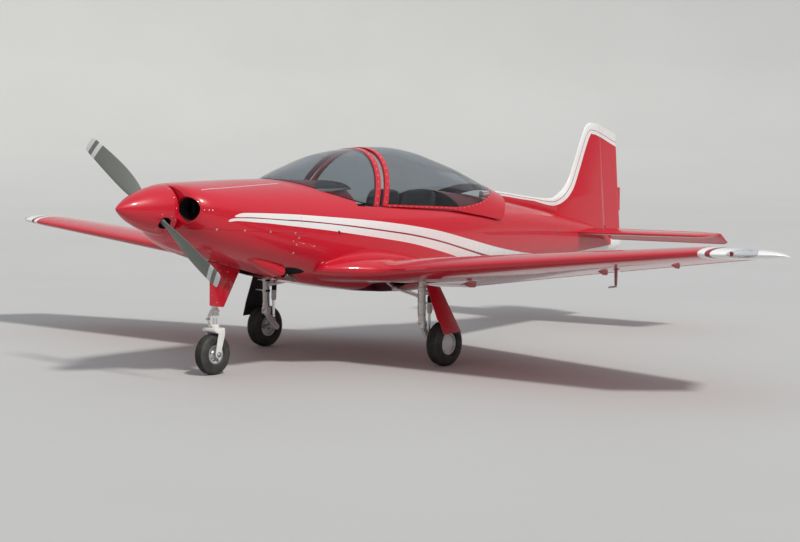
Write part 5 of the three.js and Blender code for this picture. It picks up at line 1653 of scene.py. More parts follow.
# hollow behind the fin's skin for the round nose of the rudder
hollow = loft("rudder_hollow", [np.array([[NX - lerp(HINGE, z) + (fin_half(z, lerp(HINGE, z)) + 2.2) * math.cos(a), (fin_half(z, lerp(HINGE, z)) + 2.2) * math.sin(a), z]
                                          for a in np.linspace(0, 2 * math.pi, 73)[:-1]]) for z in spread(880, 1950, 40)], CUT)
boolean(fin, [("INTERSECT", under_top), ("UNION", strake), ("DIFFERENCE", hull_grown), ("DIFFERENCE", tail_gone), ("DIFFERENCE", hollow)])
drop(hollow)
keep_largest(fin)


def offset_line(pts, d):
    """Line moved aft and down by d, square to itself."""
    P = np.array(pts, float)
    T = np.gradient(P, axis=0)
    T /= np.linalg.norm(T, axis=1)[:, None]
    N = np.c_[T[:, 1], -T[:, 0]]
    dd = d if np.ndim(d) else np.full(len(P), d)
    return [tuple(p + n * q) for p, n, q in zip(P, N, dd)]


# Leading outline of strake and fin, from the front up to the top corner and over the cap.
edge_f = [(4200, 1311)] + [(s, z) for s, z in STRAKE_TOP[:6]] + [(fin_le(z), z) for z in np.linspace(1240, 1900, 26)]
edge_f += [(5905, 1926), (5945, 1936), (6050, 1926), (6402, 1822), (6560, 1775)]
edge_f = smooth_line(edge_f, 22)
n_e = len(edge_f)
ks = np.linspace(0, 1, n_e)
acc = np.r_[0, np.cumsum(np.linalg.norm(np.diff(np.array(edge_f), axis=0), axis=1))]
corner = acc[min(range(n_e), key=lambda i: (edge_f[i][0] - 5900) ** 2 + (edge_f[i][1] - 1925) ** 2)]
fin_foot = acc[min(range(n_e), key=lambda i: (edge_f[i][0] - 5420) ** 2 + (edge_f[i][1] - 1258) ** 2)]


def width_along(front, low, mid, top):
    return np.interp(acc, [0, fin_foot - 420, fin_foot, corner - 380, corner - 120, corner + 60, acc[-1]], [front, front, low, mid, mid, top, top])


O1 = offset_line(edge_f, width_along(17, 42, 45, 72))
O2 = offset_line(edge_f, width_along(21, 48, 50, 77))
O3 = offset_line(edge_f, width_along(38, 88, 92, 112))


def tidy(line):
    """Keeps the part of an offset line that runs forward without folding back."""
    out = [line[0]]
    for p in line[1:]:
        q = out[-1]
        if (p[0] - q[0]) ** 2 + (p[1] - q[1]) ** 2 < 9:
            continue
        out.append(p)
    # remove small loops
    i = 0
    while i < len(out) - 3:
        for j in range(min(len(out) - 2, i + 12), i + 1, -1):
            a, b, c, d = out[i], out[i + 1], out[j], out[j + 1]
            r = (b[0] - a[0], b[1] - a[1])
            s_ = (d[0] - c[0], d[1] - c[1])
            den = r[0] * s_[1] - r[1] * s_[0]
            if abs(den) < 1e-9:
                continue
            t = ((c[0] - a[0]) * s_[1] - (c[1] - a[1]) * s_[0]) / den
            u = ((c[0] - a[0]) * r[1] - (c[1] - a[1]) * r[0]) / den
            if 0 <= t <= 1 and 0 <= u <= 1:
                x = (a[0] + r[0] * t, a[1] + r[1] * t)
                out = out[:i + 1] + [x] + out[j + 1:]
                break
        i += 1
    return out


O1, O2, O3 = tidy(O1), tidy(O2), tidy(O3)
OUT = offset_line(edge_f, -60)
OUT = [(4150, 1375)] + [p for p in tidy(OUT)] + [(6640, 1850)]
fin_paint = [
    (prism("fin_cut", OUT + O1[::-1], -400, 400, WALL), M["white"]),
    (prism("fin_cut", O1 + O2[::-1], -400, 400, WALL), M["maroon"]),
    (prism("fin_cut", O2 + O3[::-1], -400, 400, WALL), M["white"]),
]
zones(fin, fin_paint)
skin2(fin, [(SRC_FIN, 1, OUTER), (SRC_STRAKE, 1, OUTER)], M["red"])
place(fin, "airframe", "red_airframe", "fin")


def rudder_ring(z):
    hs = lerp(HINGE, z)
    r = fin_half(z, hs)
    te = lerp(RUDDER_TE, z)
    ring_ = []
    for k in range(21):
        a = -math.pi / 2 + math.pi * k / 20
        ring_.append([NX - hs + r * math.cos(a), r * math.sin(a), z])
    n = 8
    for k in range(1, n + 1):
        t = k / n
        y = r + (2 - r) * t
        ring_.append([NX - (hs + (te - hs) * t), y, z])
    for k in range(n, 0, -1):
        t = k / n
        y = r + (2 - r) * t
        ring_.append([NX - (hs + (te - hs) * t), -y, z])
    return np.array(ring_)


rudder_zs = spread(893, 1940, 30)
rudder_rings = [rudder_ring(z) for z in rudder_zs]
rudder = loft("rudder_skin", rudder_rings, M["red"])
SRC_RUD = Source(rudder_rings)
boolean(rudder, [("INTERSECT", under_top)])
# fixed trim tab on the trailing edge
tab = loft("tab", [np.array([[NX - s, y, z] for s, y in ((lerp(RUDDER_TE, z) - 60, 4), (lerp(RUDDER_TE, z) - 2, 2.8), (6499, 1.2), (6499, -1.2), (lerp(RUDDER_TE, z) - 2, -2.8), (lerp(RUDDER_TE, z) - 60, -4))]) for z in (1070, 1210, 1300)], M["red"])
boolean(rudder, [("UNION", tab)])
drop(tab)
zones(rudder, fin_paint)
skin2(rudder, [(SRC_RUD, 1, OUTER)], M["red"])
# the rudder's round nose is dark red: painted shade in the gap behind the fin
recolour(rudder, M["maroon"], lambda c, n: n.x > 0.3 and c.x > (NX - lerp(HINGE, c.z * 1000)) / 1000)
place(rudder, "rudder", "red_airframe", "rudder")

# Tailplane and elevator.
TP = dict(y1=1425, hinge=6000, z=898, te=6192, t=0.085)


def tail_le(y):
    return 5478 + 0.13 * abs(y)


def tail_te(y):
    return TP["te"] - 4 * abs(y) / 1425


def tail_ring(y):
    u = max(0.0, (abs(y) - 1330) / 95.0)
    keep = 1 - 0.5 * u ** 2.6
    le = tail_le(y) + (1 - keep) * 300
    c = tail_te(y) - tail_le(y)
    c = tail_te(y) - le
    up, down = [], []
    end = (TP["hinge"] - 30 - le) / c
    th = TP["t"] * (1 - 0.75 * u ** 3)
    for k in [0, 0.004, 0.012, 0.025, 0.045, 0.08, 0.13, 0.2, 0.3, 0.4, 0.5, 0.6, 0.7, 0.8, 0.9, 1]:
        x = k * end
        a = foil(x, th, 0)[0] * c
        up.append([NX - le - x * c, y, TP["z"] + a])
        down.append([NX - le - x * c, y, TP["z"] - a])
    return np.array(up + down[1:][::-1])


tail_ys = [-q for q in [1425, 1423, 1419, 1413, 1404, 1392, 1376, 1355, 1330]] + spread(-1250, 1250, 125) + [1330, 1355, 1376, 1392, 1404, 1413, 1419, 1423, 1425]
tail_rings = [tail_ring(y) for y in tail_ys]
tailplane = loft("tailplane_skin", tail_rings, M["red"])
SRC_TAIL = Source(tail_rings)
tail_body = hull("tail_body", FUSELAGE, spread(5300, 6215, 36), 0.35, 168, CUT, ends=2)
boolean(tailplane, [("DIFFERENCE", fin)])
skin2(tailplane, [(SRC_TAIL, 1, OUTER)], M["red"])
place(tailplane, "airframe", "red_airframe", "tailplane")

DROOP = rad(30)
eh = Vector((NX - TP["hinge"], 0, TP["z"]))
halves = []
for sd in (1, -1):
    rings = []
    for y in spread(128, 1330, 60) + [1350, 1370, 1385, 1397, 1406, 1413, 1418, 1422]:
        u = max(0.0, (y - 1340) / 82.0)
        c = tail_te(y) - TP["hinge"] - 46 * u ** 2.2
        r = 21 - 4 * min(1, max(0, (y - 1200) / 150)) - 7 * u ** 3
        te = (eh.x - c * math.cos(DROOP), eh.z - c * math.sin(DROOP))
        rings.append(surface_ring(Vector((eh.x, sd * y, eh.z)), r, te, te_half=1.4))
    halves.append(auto_smooth(loft("elevator_half", rings, M["red"]), 40))
torque = cylinder("torque_tube", (eh.x, -138, eh.z), (eh.x, 138, eh.z), 14, n=32, mats=M["steel"])
auto_smooth(torque, 40)
elevator = joined("elevator_skin", halves + [torque])
place(elevator, "elevator", "red_airframe", "elevator")

cone_st = spread(6215.6, 6488, 16)
cone_rings = hull_rings(TAIL_CONE, cone_st, 0, 128)
# rounded end
last = cone_rings[-1]
c_end = last.mean(axis=0)
for q, dx in ((0.93, 2.2), (0.75, 5.0), (0.45, 7.5), (0.15, 8.6)):
    cone_rings.append(c_end + (last - c_end) * q + np.array([-dx, 0, 0]))
cone = loft("tail_cone_skin", cone_rings, M["white"])
auto_smooth(cone, 50)
place(cone, "airframe", "white_cone", "tail_cone")

# ------------------------------------------------------------ spinner, propeller
HUB = Matrix.Translation(Vector((3.250, 0, THRUST_Z * 0.001))) @ Matrix.Rotation(-PITCH, 4, "Y") @ Matrix.Rotation(rad(57), 4, "X")


def hubbed(o):
    o.data.transform(HUB)
    return o


SPINNER = [(0, 0), (16, 14), (42, 45), (78, 98), (112, 165), (143, 240), (168, 320), (182, 385), (187, 428)]
st = np.array([s for r, s in SPINNER], float)
rr = np.array([r for r, s in SPINNER], float)
arc_len = np.r_[0, np.cumsum(np.hypot(np.diff(st), np.diff(rr)))]
T = np.c_[arc_len, st, rr]
prof = []
for q in list(np.linspace(0, arc_len[-1] - 0.01, 56)):
    _, s_, r_ = row_at(T, q)
    prof.append((max(r_, 0.0) if q > 0 else 0.0, -s_))
prof[0] = (0.0, 0.0)
base_r = prof[-1][0]
prof += [(base_r, -428.0), (base_r - 1.5, -429.5), (base_r - 6, -429.5), (base_r - 6, -424), (0.0, -424)]
# lathe about X at the origin
def lathe_x(name, profile, mats, n, mat_of=None, angle=30):
    return lathe(name, [(r, h) for r, h in profile], (0, 0, 0), (1, 0, 0), mats, n, mat_of, angle)


spinner = lathe_x("spinner_shell", prof, M["red"], 128)
PROP_S = 335.0
holes = []
for sd in (1, -1):
    # rounded opening round each blade, longer fore and aft
    rings = []
    for z in (70, 230):
        pts = []
        for k in range(64):
            a = 2 * math.pi * k / 64
            ca, sa = math.cos(a), math.sin(a)
            pts.append([-PROP_S - 2 + 43 * math.copysign(abs(ca) ** (2 / 2.6), ca), 47 * math.copysign(abs(sa) ** (2 / 2.6), sa), sd * z])
        rings.append(np.array(pts))
    # the walls of the openings and of the hub room are matt black: painted shade inside the spinner
    holes.append(loft("spin_hole", rings, M["dark"]))
hub_room = cylinder("hub_room", (-PROP_S - 62, 0, 0), (-PROP_S + 62, 0, 0), 84, n=64, mats=M["dark"])
boolean(spinner, [("DIFFERENCE", h) for h in holes] + [("DIFFERENCE", hub_room)])
keep_largest(spinner)
auto_smooth(spinner, 32)
spin_spots = []
for k in range(14):
    a = 2 * math.pi * (k + 0.5) / 14
    if abs(math.sin(a) * math.cos(0)) > 2:
        continue
    for s_, r_ in ((410, float(np.interp(410, st, rr))),):
        spin_spots.append(((-s_, (r_ + 0.3) * math.sin(a), (r_ + 0.3) * math.cos(a)), (0.09, math.sin(a), math.cos(a))))
for sd in (1, -1):
    for dy in (-62, 62):
        for s_ in (300, 372):
            r_ = float(np.interp(s_, st, rr))
            z_ = math.sqrt(r_ ** 2 - dy ** 2)
            spin_spots.append(((-s_, dy, sd * (z_ + 0.3)), (0.25, dy / r_, sd * z_ / r_)))
screws = domes("spinner_screws", spin_spots, 4.2, 1.4, M["screw"])
spinner = joined("spinner_body", [spinner, screws])
hubbed(spinner)
place(spinner, "propeller", "red_cowl", "spinner")

# radius, chord, pitch, thickness, shift of the middle towards the trailing edge
BLADE = np.array([[60, 62, 58, 46, 0], [130, 70, 50, 42, 2], [200, 96, 42, 30, 6], [300, 122, 33, 22, 12], [430, 136, 25, 17, 17],
                  [580, 134, 18.5, 13, 18], [700, 126, 14, 10, 17], [790, 118, 11.5, 8.5, 16], [840, 108, 10.5, 7, 15], [856, 100, 10, 6, 15]], float)
TIP_R = 856.0
CORNER = 17.0


def blade_ring(r, n=44):
    q = row_at(BLADE, min(r, 855.9))
    chord, pit, th, shift = q[1], -rad(q[2]), q[3], q[4]
    over = max(0.0, r - (TIP_R - CORNER))
    half = chord / 2 - (CORNER - math.sqrt(max(0.0, CORNER ** 2 - over ** 2)))
    th *= 1 - 0.45 * (over / CORNER) ** 2
    # section: round near the hub, flat behind and curved ahead further out
    f = min(1.0, max(0.0, (r - 120) / 160))
    out = []
    for k in range(n):
        a = 2 * math.pi * k / n
        u = shift + half * math.cos(a)
        v = th / 2 * math.sin(a) * (1 - 0.25 * math.cos(a))
        if v < 0:
            v *= 1 - 0.45 * f
        y = u * math.cos(pit) - v * math.sin(pit)
        x = u * math.sin(pit) + v * math.cos(pit)
        out.append([-PROP_S + x, y, r])
    return np.array(out)


# tip bands: white, grey, white
BAND = (729.0, 771.0, 812.0)
blade_rs = sorted(set(spread(60, 705, 18) + [729, 742, 756, 771, 785, 799, 812, 822, 830, 836, 840, 843.5, 847, 850, 852.5, 854.4, 855.5, 856]))
blade_rings = [blade_ring(r) for r in blade_rs]
V, F, S = loft_data(blade_rings)
FM = []
for k in S:
    r = (blade_rs[k] + blade_rs[min(k + 1, len(blade_rs) - 1)]) / 2
    FM.append(1 if BAND[0] < r < BAND[1] or r > BAND[2] else 0)
blade_list = []
for turn in (0, math.pi):
    o = outward(new_object("blade", V, F, [M["blade"], M["blade_white"]], FM))
    o.data.transform(Matrix.Rotation(turn, 4, "X"))
    blade_list.append(auto_smooth(o, 45))
hub_prof = [(0, -PROP_S + 60), (30, -PROP_S + 60), (74, -PROP_S + 52), (78, -PROP_S + 46), (78, -PROP_S - 46), (74, -PROP_S - 52), (40, -PROP_S - 60), (0, -PROP_S - 60)]
hub = lathe_x("hub", hub_prof, M["steel"], 64)
cuffs = []
for sd in (1, -1):
    cuffs.append(lathe("cuff", [(0, 60), (41, 60), (41, 96), (37, 100), (37, 116), (34, 120), (0, 120)], (-PROP_S, 0, 0), (0, 0, sd), M["dark"], 48))
prop = joined("propeller_blades", blade_list + [hub] + cuffs)
hubbed(prop)
place(prop, "propeller", "blade", "propeller")

# Flange behind the spinner with a starter ring.
d_ax = Vector((math.cos(PITCH), 0, math.sin(PITCH)))
fl_prof = [(0, 0), (66, 0), (70, -3), (70, -30), (88, -34), (118, -40), (121, -44), (121, -50), (118, -54), (92, -56), (92, -190), (0, -190)]
flange = lathe("flange_ring", fl_prof, (NX - 440, 0, THRUST_Z - 19.5), d_ax, M["steel"], 72)
place(flange, "airframe", "steel", "prop_flange")

# ------------------------------------------------------------------ landing gear
def tyre_profile(r, w, rim, grooves=3):
    """Half section from the bead over the sidewall and tread, as (radius, distance across)."""
    h = w / 2
    side = [(rim + 1.0, 0.70 * h), (rim + 4, 0.80 * h), (rim + 0.12 * (r - rim), 0.92 * h), (rim + 0.25 * (r - rim), 0.985 * h),
            (rim + 0.38 * (r - rim), 1.0 * h), (rim + 0.52 * (r - rim), 0.995 * h), (rim + 0.66 * (r - rim), 0.955 * h),
            (rim + 0.78 * (r - rim), 0.87 * h), (rim + 0.87 * (r - rim), 0.76 * h), (rim + 0.93 * (r - rim), 0.66 * h)]
    tread = []
    for y in np.linspace(0.6, -0.6, 25):
        rr_ = r - (r - rim) * 0.06 * abs(y / 0.6) ** 2.4
        tread.append([rr_, y * h])
    gd, gw = 3.2, 0.045
    for g in np.linspace(-0.36, 0.36, grooves):
        tread.append([r - (r - rim) * 0.06 * abs(g / 0.6) ** 2.4 - 0.1, (g + gw + 0.002) * h])
        tread.append([r - gd, (g + gw * 0.7) * h])
        tread.append([r - gd, (g - gw * 0.7) * h])
        tread.append([r - (r - rim) * 0.06 * abs(g / 0.6) ** 2.4 - 0.1, (g - gw - 0.002) * h])
    clean = []
    for q in sorted(tread, key=lambda q: -q[1]):
        if any(abs(q[1] / h - g) < gw * 0.69 and q[0] > r - gd + 0.05 for g in np.linspace(-0.36, 0.36, grooves)):
            continue
        clean.append(tuple(q))
    inner = [(rim + 1.0, -0.70 * h), (rim + 1.0, 0.70 * h)]
    return side + clean + [(q, -y) for q, y in side[::-1]] + [(rim + 1.0, 0.70 * h)]


def wheel_tyre(name, s, y, r, w, rim):
    prof_ = tyre_profile(r, w, rim)
    n_side = 10

    def mat_of(i):
        return 0 if abs(prof_[i][1]) < 0.62 * w / 2 and prof_[i][0] > r - 8 else 1
    return lathe(name, prof_, (NX - s, y, r), (0, 1, 0), [M["rubber"], M["rubber_side"]], 96, mat_of, 28)


def bolts_ring(name, centre, axis, r, n, head, h, mats, phase=0.0):
    d = Vector(axis).normalized()
    u = d.orthogonal().normalized()
    v = d.cross(u)
    out = []
    for k in range(n):
        a = 2 * math.pi * (k + phase) / n
        p = Vector(centre) + u * (r * math.cos(a)) + v * (r * math.sin(a))
        c = cylinder(name, p, p + d * h, head, head * 0.93, n=6, mats=mats)
        w_ = cylinder(name, p - d * 1.0, p + d * 1.2, head * 1.35, n=20, mats=mats)
        out += [auto_smooth(c, 25), auto_smooth(w_, 40)]
    return out


def rim_main(name, s, y, r, w, rim, cap):
    """Two-piece wheel; its outer side carries a domed cap, its inner side the brake disc."""
    h = 0.72 * w / 2
    c = (NX - s, y, r)
    well = [(15, -h * 0.55), (rim * 0.55, -h * 0.55), (rim * 0.72, -h * 0.50), (rim * 0.84, -h * 0.96), (rim * 0.93, -h * 1.02), (rim * 0.985, -h * 1.0),
            (rim * 0.985, -h * 0.86), (rim * 0.90, -h * 0.76), (rim * 0.90, h * 0.76), (rim * 0.985, h * 0.86), (rim * 0.985, h * 1.0),
            (rim * 0.93, h * 1.02), (rim * 0.84, h * 0.96), (rim * 0.76, h * 0.55), (rim * 0.5, h * 0.40), (15, h * 0.40), (15, -h * 0.55)]
    parts = [lathe(name, well, c, (0, 1, 0), [M["alloy"]], 72, None, 32)]
    if cap:
        dome = [(0, 47.0), (14, 46.8), (30, 45.8), (46, 43.6), (60, 40.2), (71, 36.2), (79, 32.4), (83.5, 30.0), (85.5, 28.4), (85.5, 26.8), (80, 28.0), (0, 38)]
        parts.append(lathe(name, dome, c, (0, 1, 0), [M["cap"]], 72, None, 40))
        for k in range(4):
            a = 2 * math.pi * (k + 0.4) / 4
            p = Vector((c[0] + 66 * math.cos(a), y + 38.3, r + 66 * math.sin(a)))
            parts.append(domes(name, [(p, Vector((0.35 * math.cos(a), 1, 0.35 * math.sin(a))))], 4.0, 1.8, M["dark"]))
    # brake disc on the inner side
    disc = [(34, -h * 0.62), (78, -h * 0.62), (79, -h * 0.66), (79, -h * 0.78), (78, -h * 0.82), (34, -h * 0.82), (34, -h * 0.62)]
    parts.append(lathe(name, disc, c, (0, 1, 0), [M["steel"]], 72, None, 32))
    parts += bolts_ring(name, (c[0], y - h * 0.55, r), (0, -1, 0), rim * 0.5, 6, 4.5, 6.5, M["steel"])
    parts += bolts_ring(name, (c[0], y + h * 0.46, r), (0, 1, 0), rim * 0.62, 3, 4.0, 3.0, M["steel"])
    return joined(name, parts)


gear_left = {}
MT = dict(s=2480, y=980, r=175, w=126, rim=88)
LG = dict(s=2365, y=850, r=29, top=735, bottom=335)
gear_left["tyre"] = wheel_tyre("main_tyre_left_rubber", MT["s"], MT["y"], MT["r"], MT["w"], MT["rim"])
gear_left["rim"] = rim_main("main_rim_left_wheel", MT["s"], MT["y"], MT["r"], MT["w"], MT["rim"], True)


def at(s, y, z):
    return Vector((NX - s, y, z))


# Leg: painted tube with collars, lugs, trunnion and a fork at the foot.
leg_axis = (0, 0, 1)
leg_prof = [(0, 300), (24, 300), (27, 303), (27, 322), (32, 326), (34, 330), (34, 352), (31.5, 356), (29, 360), (29, 470), (31.5, 473), (31.5, 486), (29, 489),
            (29, 588), (32, 592), (33, 596), (33, 612), (32, 616), (29, 620), (29, 690), (33, 694), (34, 700), (34, 722), (32, 728), (26, 735), (0, 735)]
leg_tube = lathe("leg", leg_prof, (NX - LG["s"], LG["y"], 0), (0, 0, 1), M["leg"], 48, None, 30)
fork_cut = boxm("fork_cut", LG["s"] - 50, LG["s"] + 50, LG["y"] - 16.8, LG["y"] + 16.8, 200, 338)
fork_blk = slab("fork_blk", at(LG["s"], LG["y"], 322), (48, 66, 56), M["leg"], 7, 3)
boolean(leg_tube, [("UNION", fork_blk), ("DIFFERENCE", fork_cut)])
auto_smooth(leg_tube, 35)
drop(fork_cut, fork_blk)
leg_parts = [leg_tube]
# trunnion barrel fore and aft with end rings
for s0, s1, r_ in ((LG["s"] - 42, 2470, 16),):
    leg_parts.append(lathe("trunnion", [(0, 0), (13, 0), (16, 3), (16, 24), (19, 26), (19, 34), (16, 36), (16, s1 - s0 - 14), (19, s1 - s0 - 12), (19, s1 - s0 - 3),
                                        (16, s1 - s0), (0, s1 - s0)], at(s0, LG["y"], 712), (-1, 0, 0), M["leg"], 40, None, 30))
lug = rounded_prism("lug", [(LG["s"] + 10, 556), (LG["s"] + 10, 604), (LG["s"] + 60, 592), (2480, 574), (2484, 560), (2474, 547), (2460, 546)], LG["y"] - 8, LG["y"] + 8, M["leg"], 3, 2)
leg_parts.append(lug)
leg_parts.append(cylinder("pin", at(2463, LG["y"] - 21, 560), at(2463, LG["y"] + 21, 560), 9, n=24, mats=M["steel"]))
for sd in (1, -1):
    leg_parts.append(cylinder("nut", at(2463, LG["y"] + sd * 17, 560), at(2463, LG["y"] + sd * 24, 560), 12, n=6, mats=M["steel"]))
    leg_parts.append(cylinder("nut", at(LG["s"], LG["y"] + sd * 32, 318), at(LG["s"], LG["y"] + sd * 37, 318), 11, n=6, mats=M["steel"]))
# lugs for the folding brace and clips for the brake pipe
leg_parts.append(slab("brace_lug", at(LG["s"] + 2, LG["y"] - 34, 540), (26, 18, 30), M["leg"], 4, 2))
for z in (400, 480, 640):
    leg_parts.append(lathe("clip", [(29.2, -4), (31, -4), (31, 4), (29.2, 4), (29.2, -4)], (NX - LG["s"], LG["y"], z), (0, 0, 1), M["brass"], 40, None, 30))
pipe_pts = curve_points([(NX - LG["s"] + 8, LG["y"] - 31, 716), (NX - LG["s"] + 10, LG["y"] - 32.5, 640), (NX - LG["s"] + 10, LG["y"] - 32.5, 480), (NX - LG["s"] + 9, LG["y"] - 32.5, 400),
                         (NX - LG["s"] - 6, LG["y"] - 34, 345)], 8)
leg_parts.append(tube("pipe", pipe_pts, 3.0, M["dark"], 12))
main_leg = joined("main_leg_left_strut", leg_parts)
gear_left["leg"] = main_leg

link_outline = [(LG["s"] - 22, 312), (LG["s"] - 16, 328), (LG["s"] + 2, 336), (LG["s"] + 16, 330), (LG["s"] + 28, 300), (MT["s"] + 20, MT["r"] + 18),
                (MT["s"] + 27, MT["r"] + 2), (MT["s"] + 20, MT["r"] - 18), (MT["s"] + 2, MT["r"] - 27), (MT["s"] - 16, MT["r"] - 22), (MT["s"] - 32, MT["r"] - 4), (LG["s"] - 8, 284),
                (LG["s"] - 21, 296)]
link = rounded_prism("link", link_outline, LG["y"] - 15.6, LG["y"] + 15.6, M["leg"], 4.5, 3)
pocket = prism("pocket", [(LG["s"] + 12, 292), (LG["s"] + 24, 300), (MT["s"] - 4, MT["r"] + 24), (MT["s"] - 20, MT["r"] + 14)], LG["y"] - 30, LG["y"] - 9)
boolean(link, [("DIFFERENCE", pocket)])
auto_smooth(link, 35)
drop(pocket)
axle = lathe("axle", [(0, -22), (20, -22), (24, -18), (24, 34), (18, 36), (14, 38), (14, 130 + 24 - 1), (0, 130 + 24 - 1)], at(MT["s"], LG["y"], MT["r"]), (0, 1, 0), M["leg"], 40, None, 30)
pivot = lathe("pivot", [(0, -17), (17, -17), (17, 17), (0, 17)], at(LG["s"], LG["y"], 313), (0, 1, 0), M["steel"], 32, None, 30)
# brake caliper on the link
caliper = rounded_prism("caliper", [(MT["s"] - 20, MT["r"] + 46), (MT["s"] + 34, MT["r"] + 60), (MT["s"] + 48, MT["r"] + 84), (MT["s"] - 16, MT["r"] + 86)][::-1], 894, 924, M["steel"], 4, 2)
cal_bolts = []
for s_, z_ in ((MT["s"] - 4, MT["r"] + 68), (MT["s"] + 26, MT["r"] + 74)):
    cal_bolts.append(cylinder("nut", at(s_, 894, z_), at(s_, 887, z_), 7, n=6, mats=M["brass"]))
cal_arm = rounded_prism("cal_arm", [(MT["s"] - 16, MT["r"] + 14), (MT["s"] + 12, MT["r"] + 14), (MT["s"] + 26, MT["r"] + 64), (MT["s"] - 12, MT["r"] + 64)], 872, 882, M["steel"], 2, 2)
cal_arm2 = rounded_prism("cal_arm", [(MT["s"] - 12, MT["r"] + 50), (MT["s"] + 26, MT["r"] + 50), (MT["s"] + 26, MT["r"] + 66), (MT["s"] - 12, MT["r"] + 66)], 872, 896, M["steel"], 2, 2)
gear_left["link"] = joined("main_link_left_arm", [link, axle, pivot, caliper, cal_arm, cal_arm2] + cal_bolts)

# Shock strut: dark upper body, bright rod, gaiter rings.
top, bot = at(2463, LG["y"], 549), at(2449, LG["y"], 262)
d_sh = (bot - top).normalized()
L_sh = (bot - top).length
sh_prof = [(0, -8), (12, -8), (15, -4), (15, 8), (20, 12), (21, 16), (21, 60), (22.5, 62), (22.5, 70), (21, 72), (21, 128), (19, 134), (19, 142), (13, 146),
           (13, L_sh - 22), (16, L_sh - 18), (16, L_sh - 4), (10, L_sh), (0, L_sh)]


def sh_mat(i):
    h = sh_prof[i][1]
    return 0 if h < 60 else 1 if h < 142 else 2


shock = lathe("main_shock_left_strut", sh_prof, top, d_sh, [M["dark"], M["leg"], M["chrome"]], 40, sh_mat, 30)
gear_left["shock"] = shock

# Folding brace to the inboard end of the bay.
b0, b1, b2 = at(LG["s"] + 2, LG["y"] - 40, 540), at(LG["s"] + 6, 560, 590), at(LG["s"] + 10, 445, 652)
br = []
for a, b in ((b0, b1), (b1, b2)):
    d = (b - a).normalized()
    L_ = (b - a).length
    br.append(lathe("brace", [(0, -4), (8, -4), (12, 2), (12, 14), (9.5, 20), (9.5, L_ - 20), (12, L_ - 14), (12, L_ - 2), (8, L_ + 4), (0, L_ + 4)], a, d, M["leg"], 28, None, 30))
br.append(lathe("knee", [(0, 0), (13, 0), (15, 3), (15, 36), (13, 39), (0, 39)], at(LG["s"] - 14, 560, 590), (-1, 0, 0), M["leg"], 32, None, 30))
for q in (LG["s"] - 20, LG["s"] + 26):
    br.append(cylinder("nut", at(q, 560, 590), at(q + 5, 560, 590), 9, n=6, mats=M["steel"]))
# lock spring beside the brace
sp = []
for k in range(150):
    t = k / 149
    c = at(LG["s"] + 26, 600 + 180 * t, 596 - 40 * t)
    a = 2 * math.pi * 16 * t
    sp.append(c + Vector((5.2 * math.cos(a), 0, 5.2 * math.sin(a))))
br.append(tube("spring", sp, 1.5, M["steel"], 8))
gear_left["brace"] = joined("main_brace_left_rods", br)

# Door outside the leg: pressed panel with a folded edge, ribs and two links.
DOOR = [(2308, 936, 640), (2478, 936, 612), (2545, 1092, 268), (2330, 1092, 262), (2326, 1062, 345), (2312, 1040, 380)]


def door_plate(name, pts, t, mats, inset=0.0):
    P = [at(*p) for p in pts]
    c = sum(P, Vector()) / len(P)
    n = (P[1] - P[0]).cross(P[2] - P[0]).normalized()
    if n.y < 0:
        n = -n
    P = [p + (c - p).normalized() * inset for p in P]
    V = [p for p in P] + [p + n * t for p in P]
    k = len(P)
    F = [tuple(range(k)), tuple(range(2 * k - 1, k - 1, -1))] + [(i, i + k, (i + 1) % k + k, (i + 1) % k) for i in range(k)]
    return bevelled(outward(new_object(name, V, F, mats)), 1.6, 2), n


door, dn = door_plate("door", DOOR, 4.6, M["red"])
# the rib is matt black like the door's inner face: a dark inner surface, darkened further as painted shade
rib, _ = door_plate("rib", DOOR, -5.0, M["dark"], 9)
d_parts = [door, rib]
for s_, z_ in ((2368, 588), (2384, 500)):
    y_in, y_out = LG["y"] + 26, 936 + (612 - z_) * 0.45
    d_parts.append(slab("door_link", at(s_, (y_in + y_out) / 2, z_ - 10), (14, abs(y_out - y_in) + 6, 9), M["leg"], 2, 2))
    d_parts.append(lathe("door_clamp", [(29.4, -9), (33, -9), (34, -7), (34, 7), (33, 9), (29.4, 9), (29.4, -9)], (NX - LG["s"], LG["y"], z_ - 10), (0, 0, 1), M["leg"], 40, None, 30))
dspots = []
for t in np.linspace(0.08, 0.92, 7):
    for a, b in ((DOOR[0], DOOR[3]), (DOOR[1], DOOR[2])):
        p = at(*a).lerp(at(*b), t)
        q = at(*(np.mean(np.array(DOOR), axis=0)))
        p = p + (q - p).normalized() * 14 + dn * 4.7
        dspots.append((p, dn))
d_parts.append(domes("door_rivets", dspots, 3.0, 1.0, M["red"]))
gear_left["door"] = joined("main_door_left_panel", d_parts)
# the inner face is matt black: a dark inner surface, darkened further as painted shade
recolour(gear_left["door"], M["dark"], lambda c, n: n.dot(dn) < -0.6)

GEAR_MAP = {"tyre": ("wheel_left", "tyre", "main_tyre"), "rim": ("wheel_left", "wheel", "main_rim"), "leg": ("airframe", "leg_paint", "main_leg"),
            "link": ("airframe", "leg_paint", "main_link"), "shock": ("airframe", "steel", "main_shock"), "brace": ("airframe", "leg_paint", "main_brace"),
            "door": ("airframe", "red_metal", "main_door")}
for key, o in gear_left.items():
    body, slot, nodename = GEAR_MAP[key]
    r = copy_mirror(o, o.name.replace("left", "right"))
    if key not in ("door",):
        r.data.set_sharp_from_angle(angle=rad(32))
    place(o, body, slot, nodename + "_left")
    place(r, body.replace("left", "right"), slot, nodename + "_right")

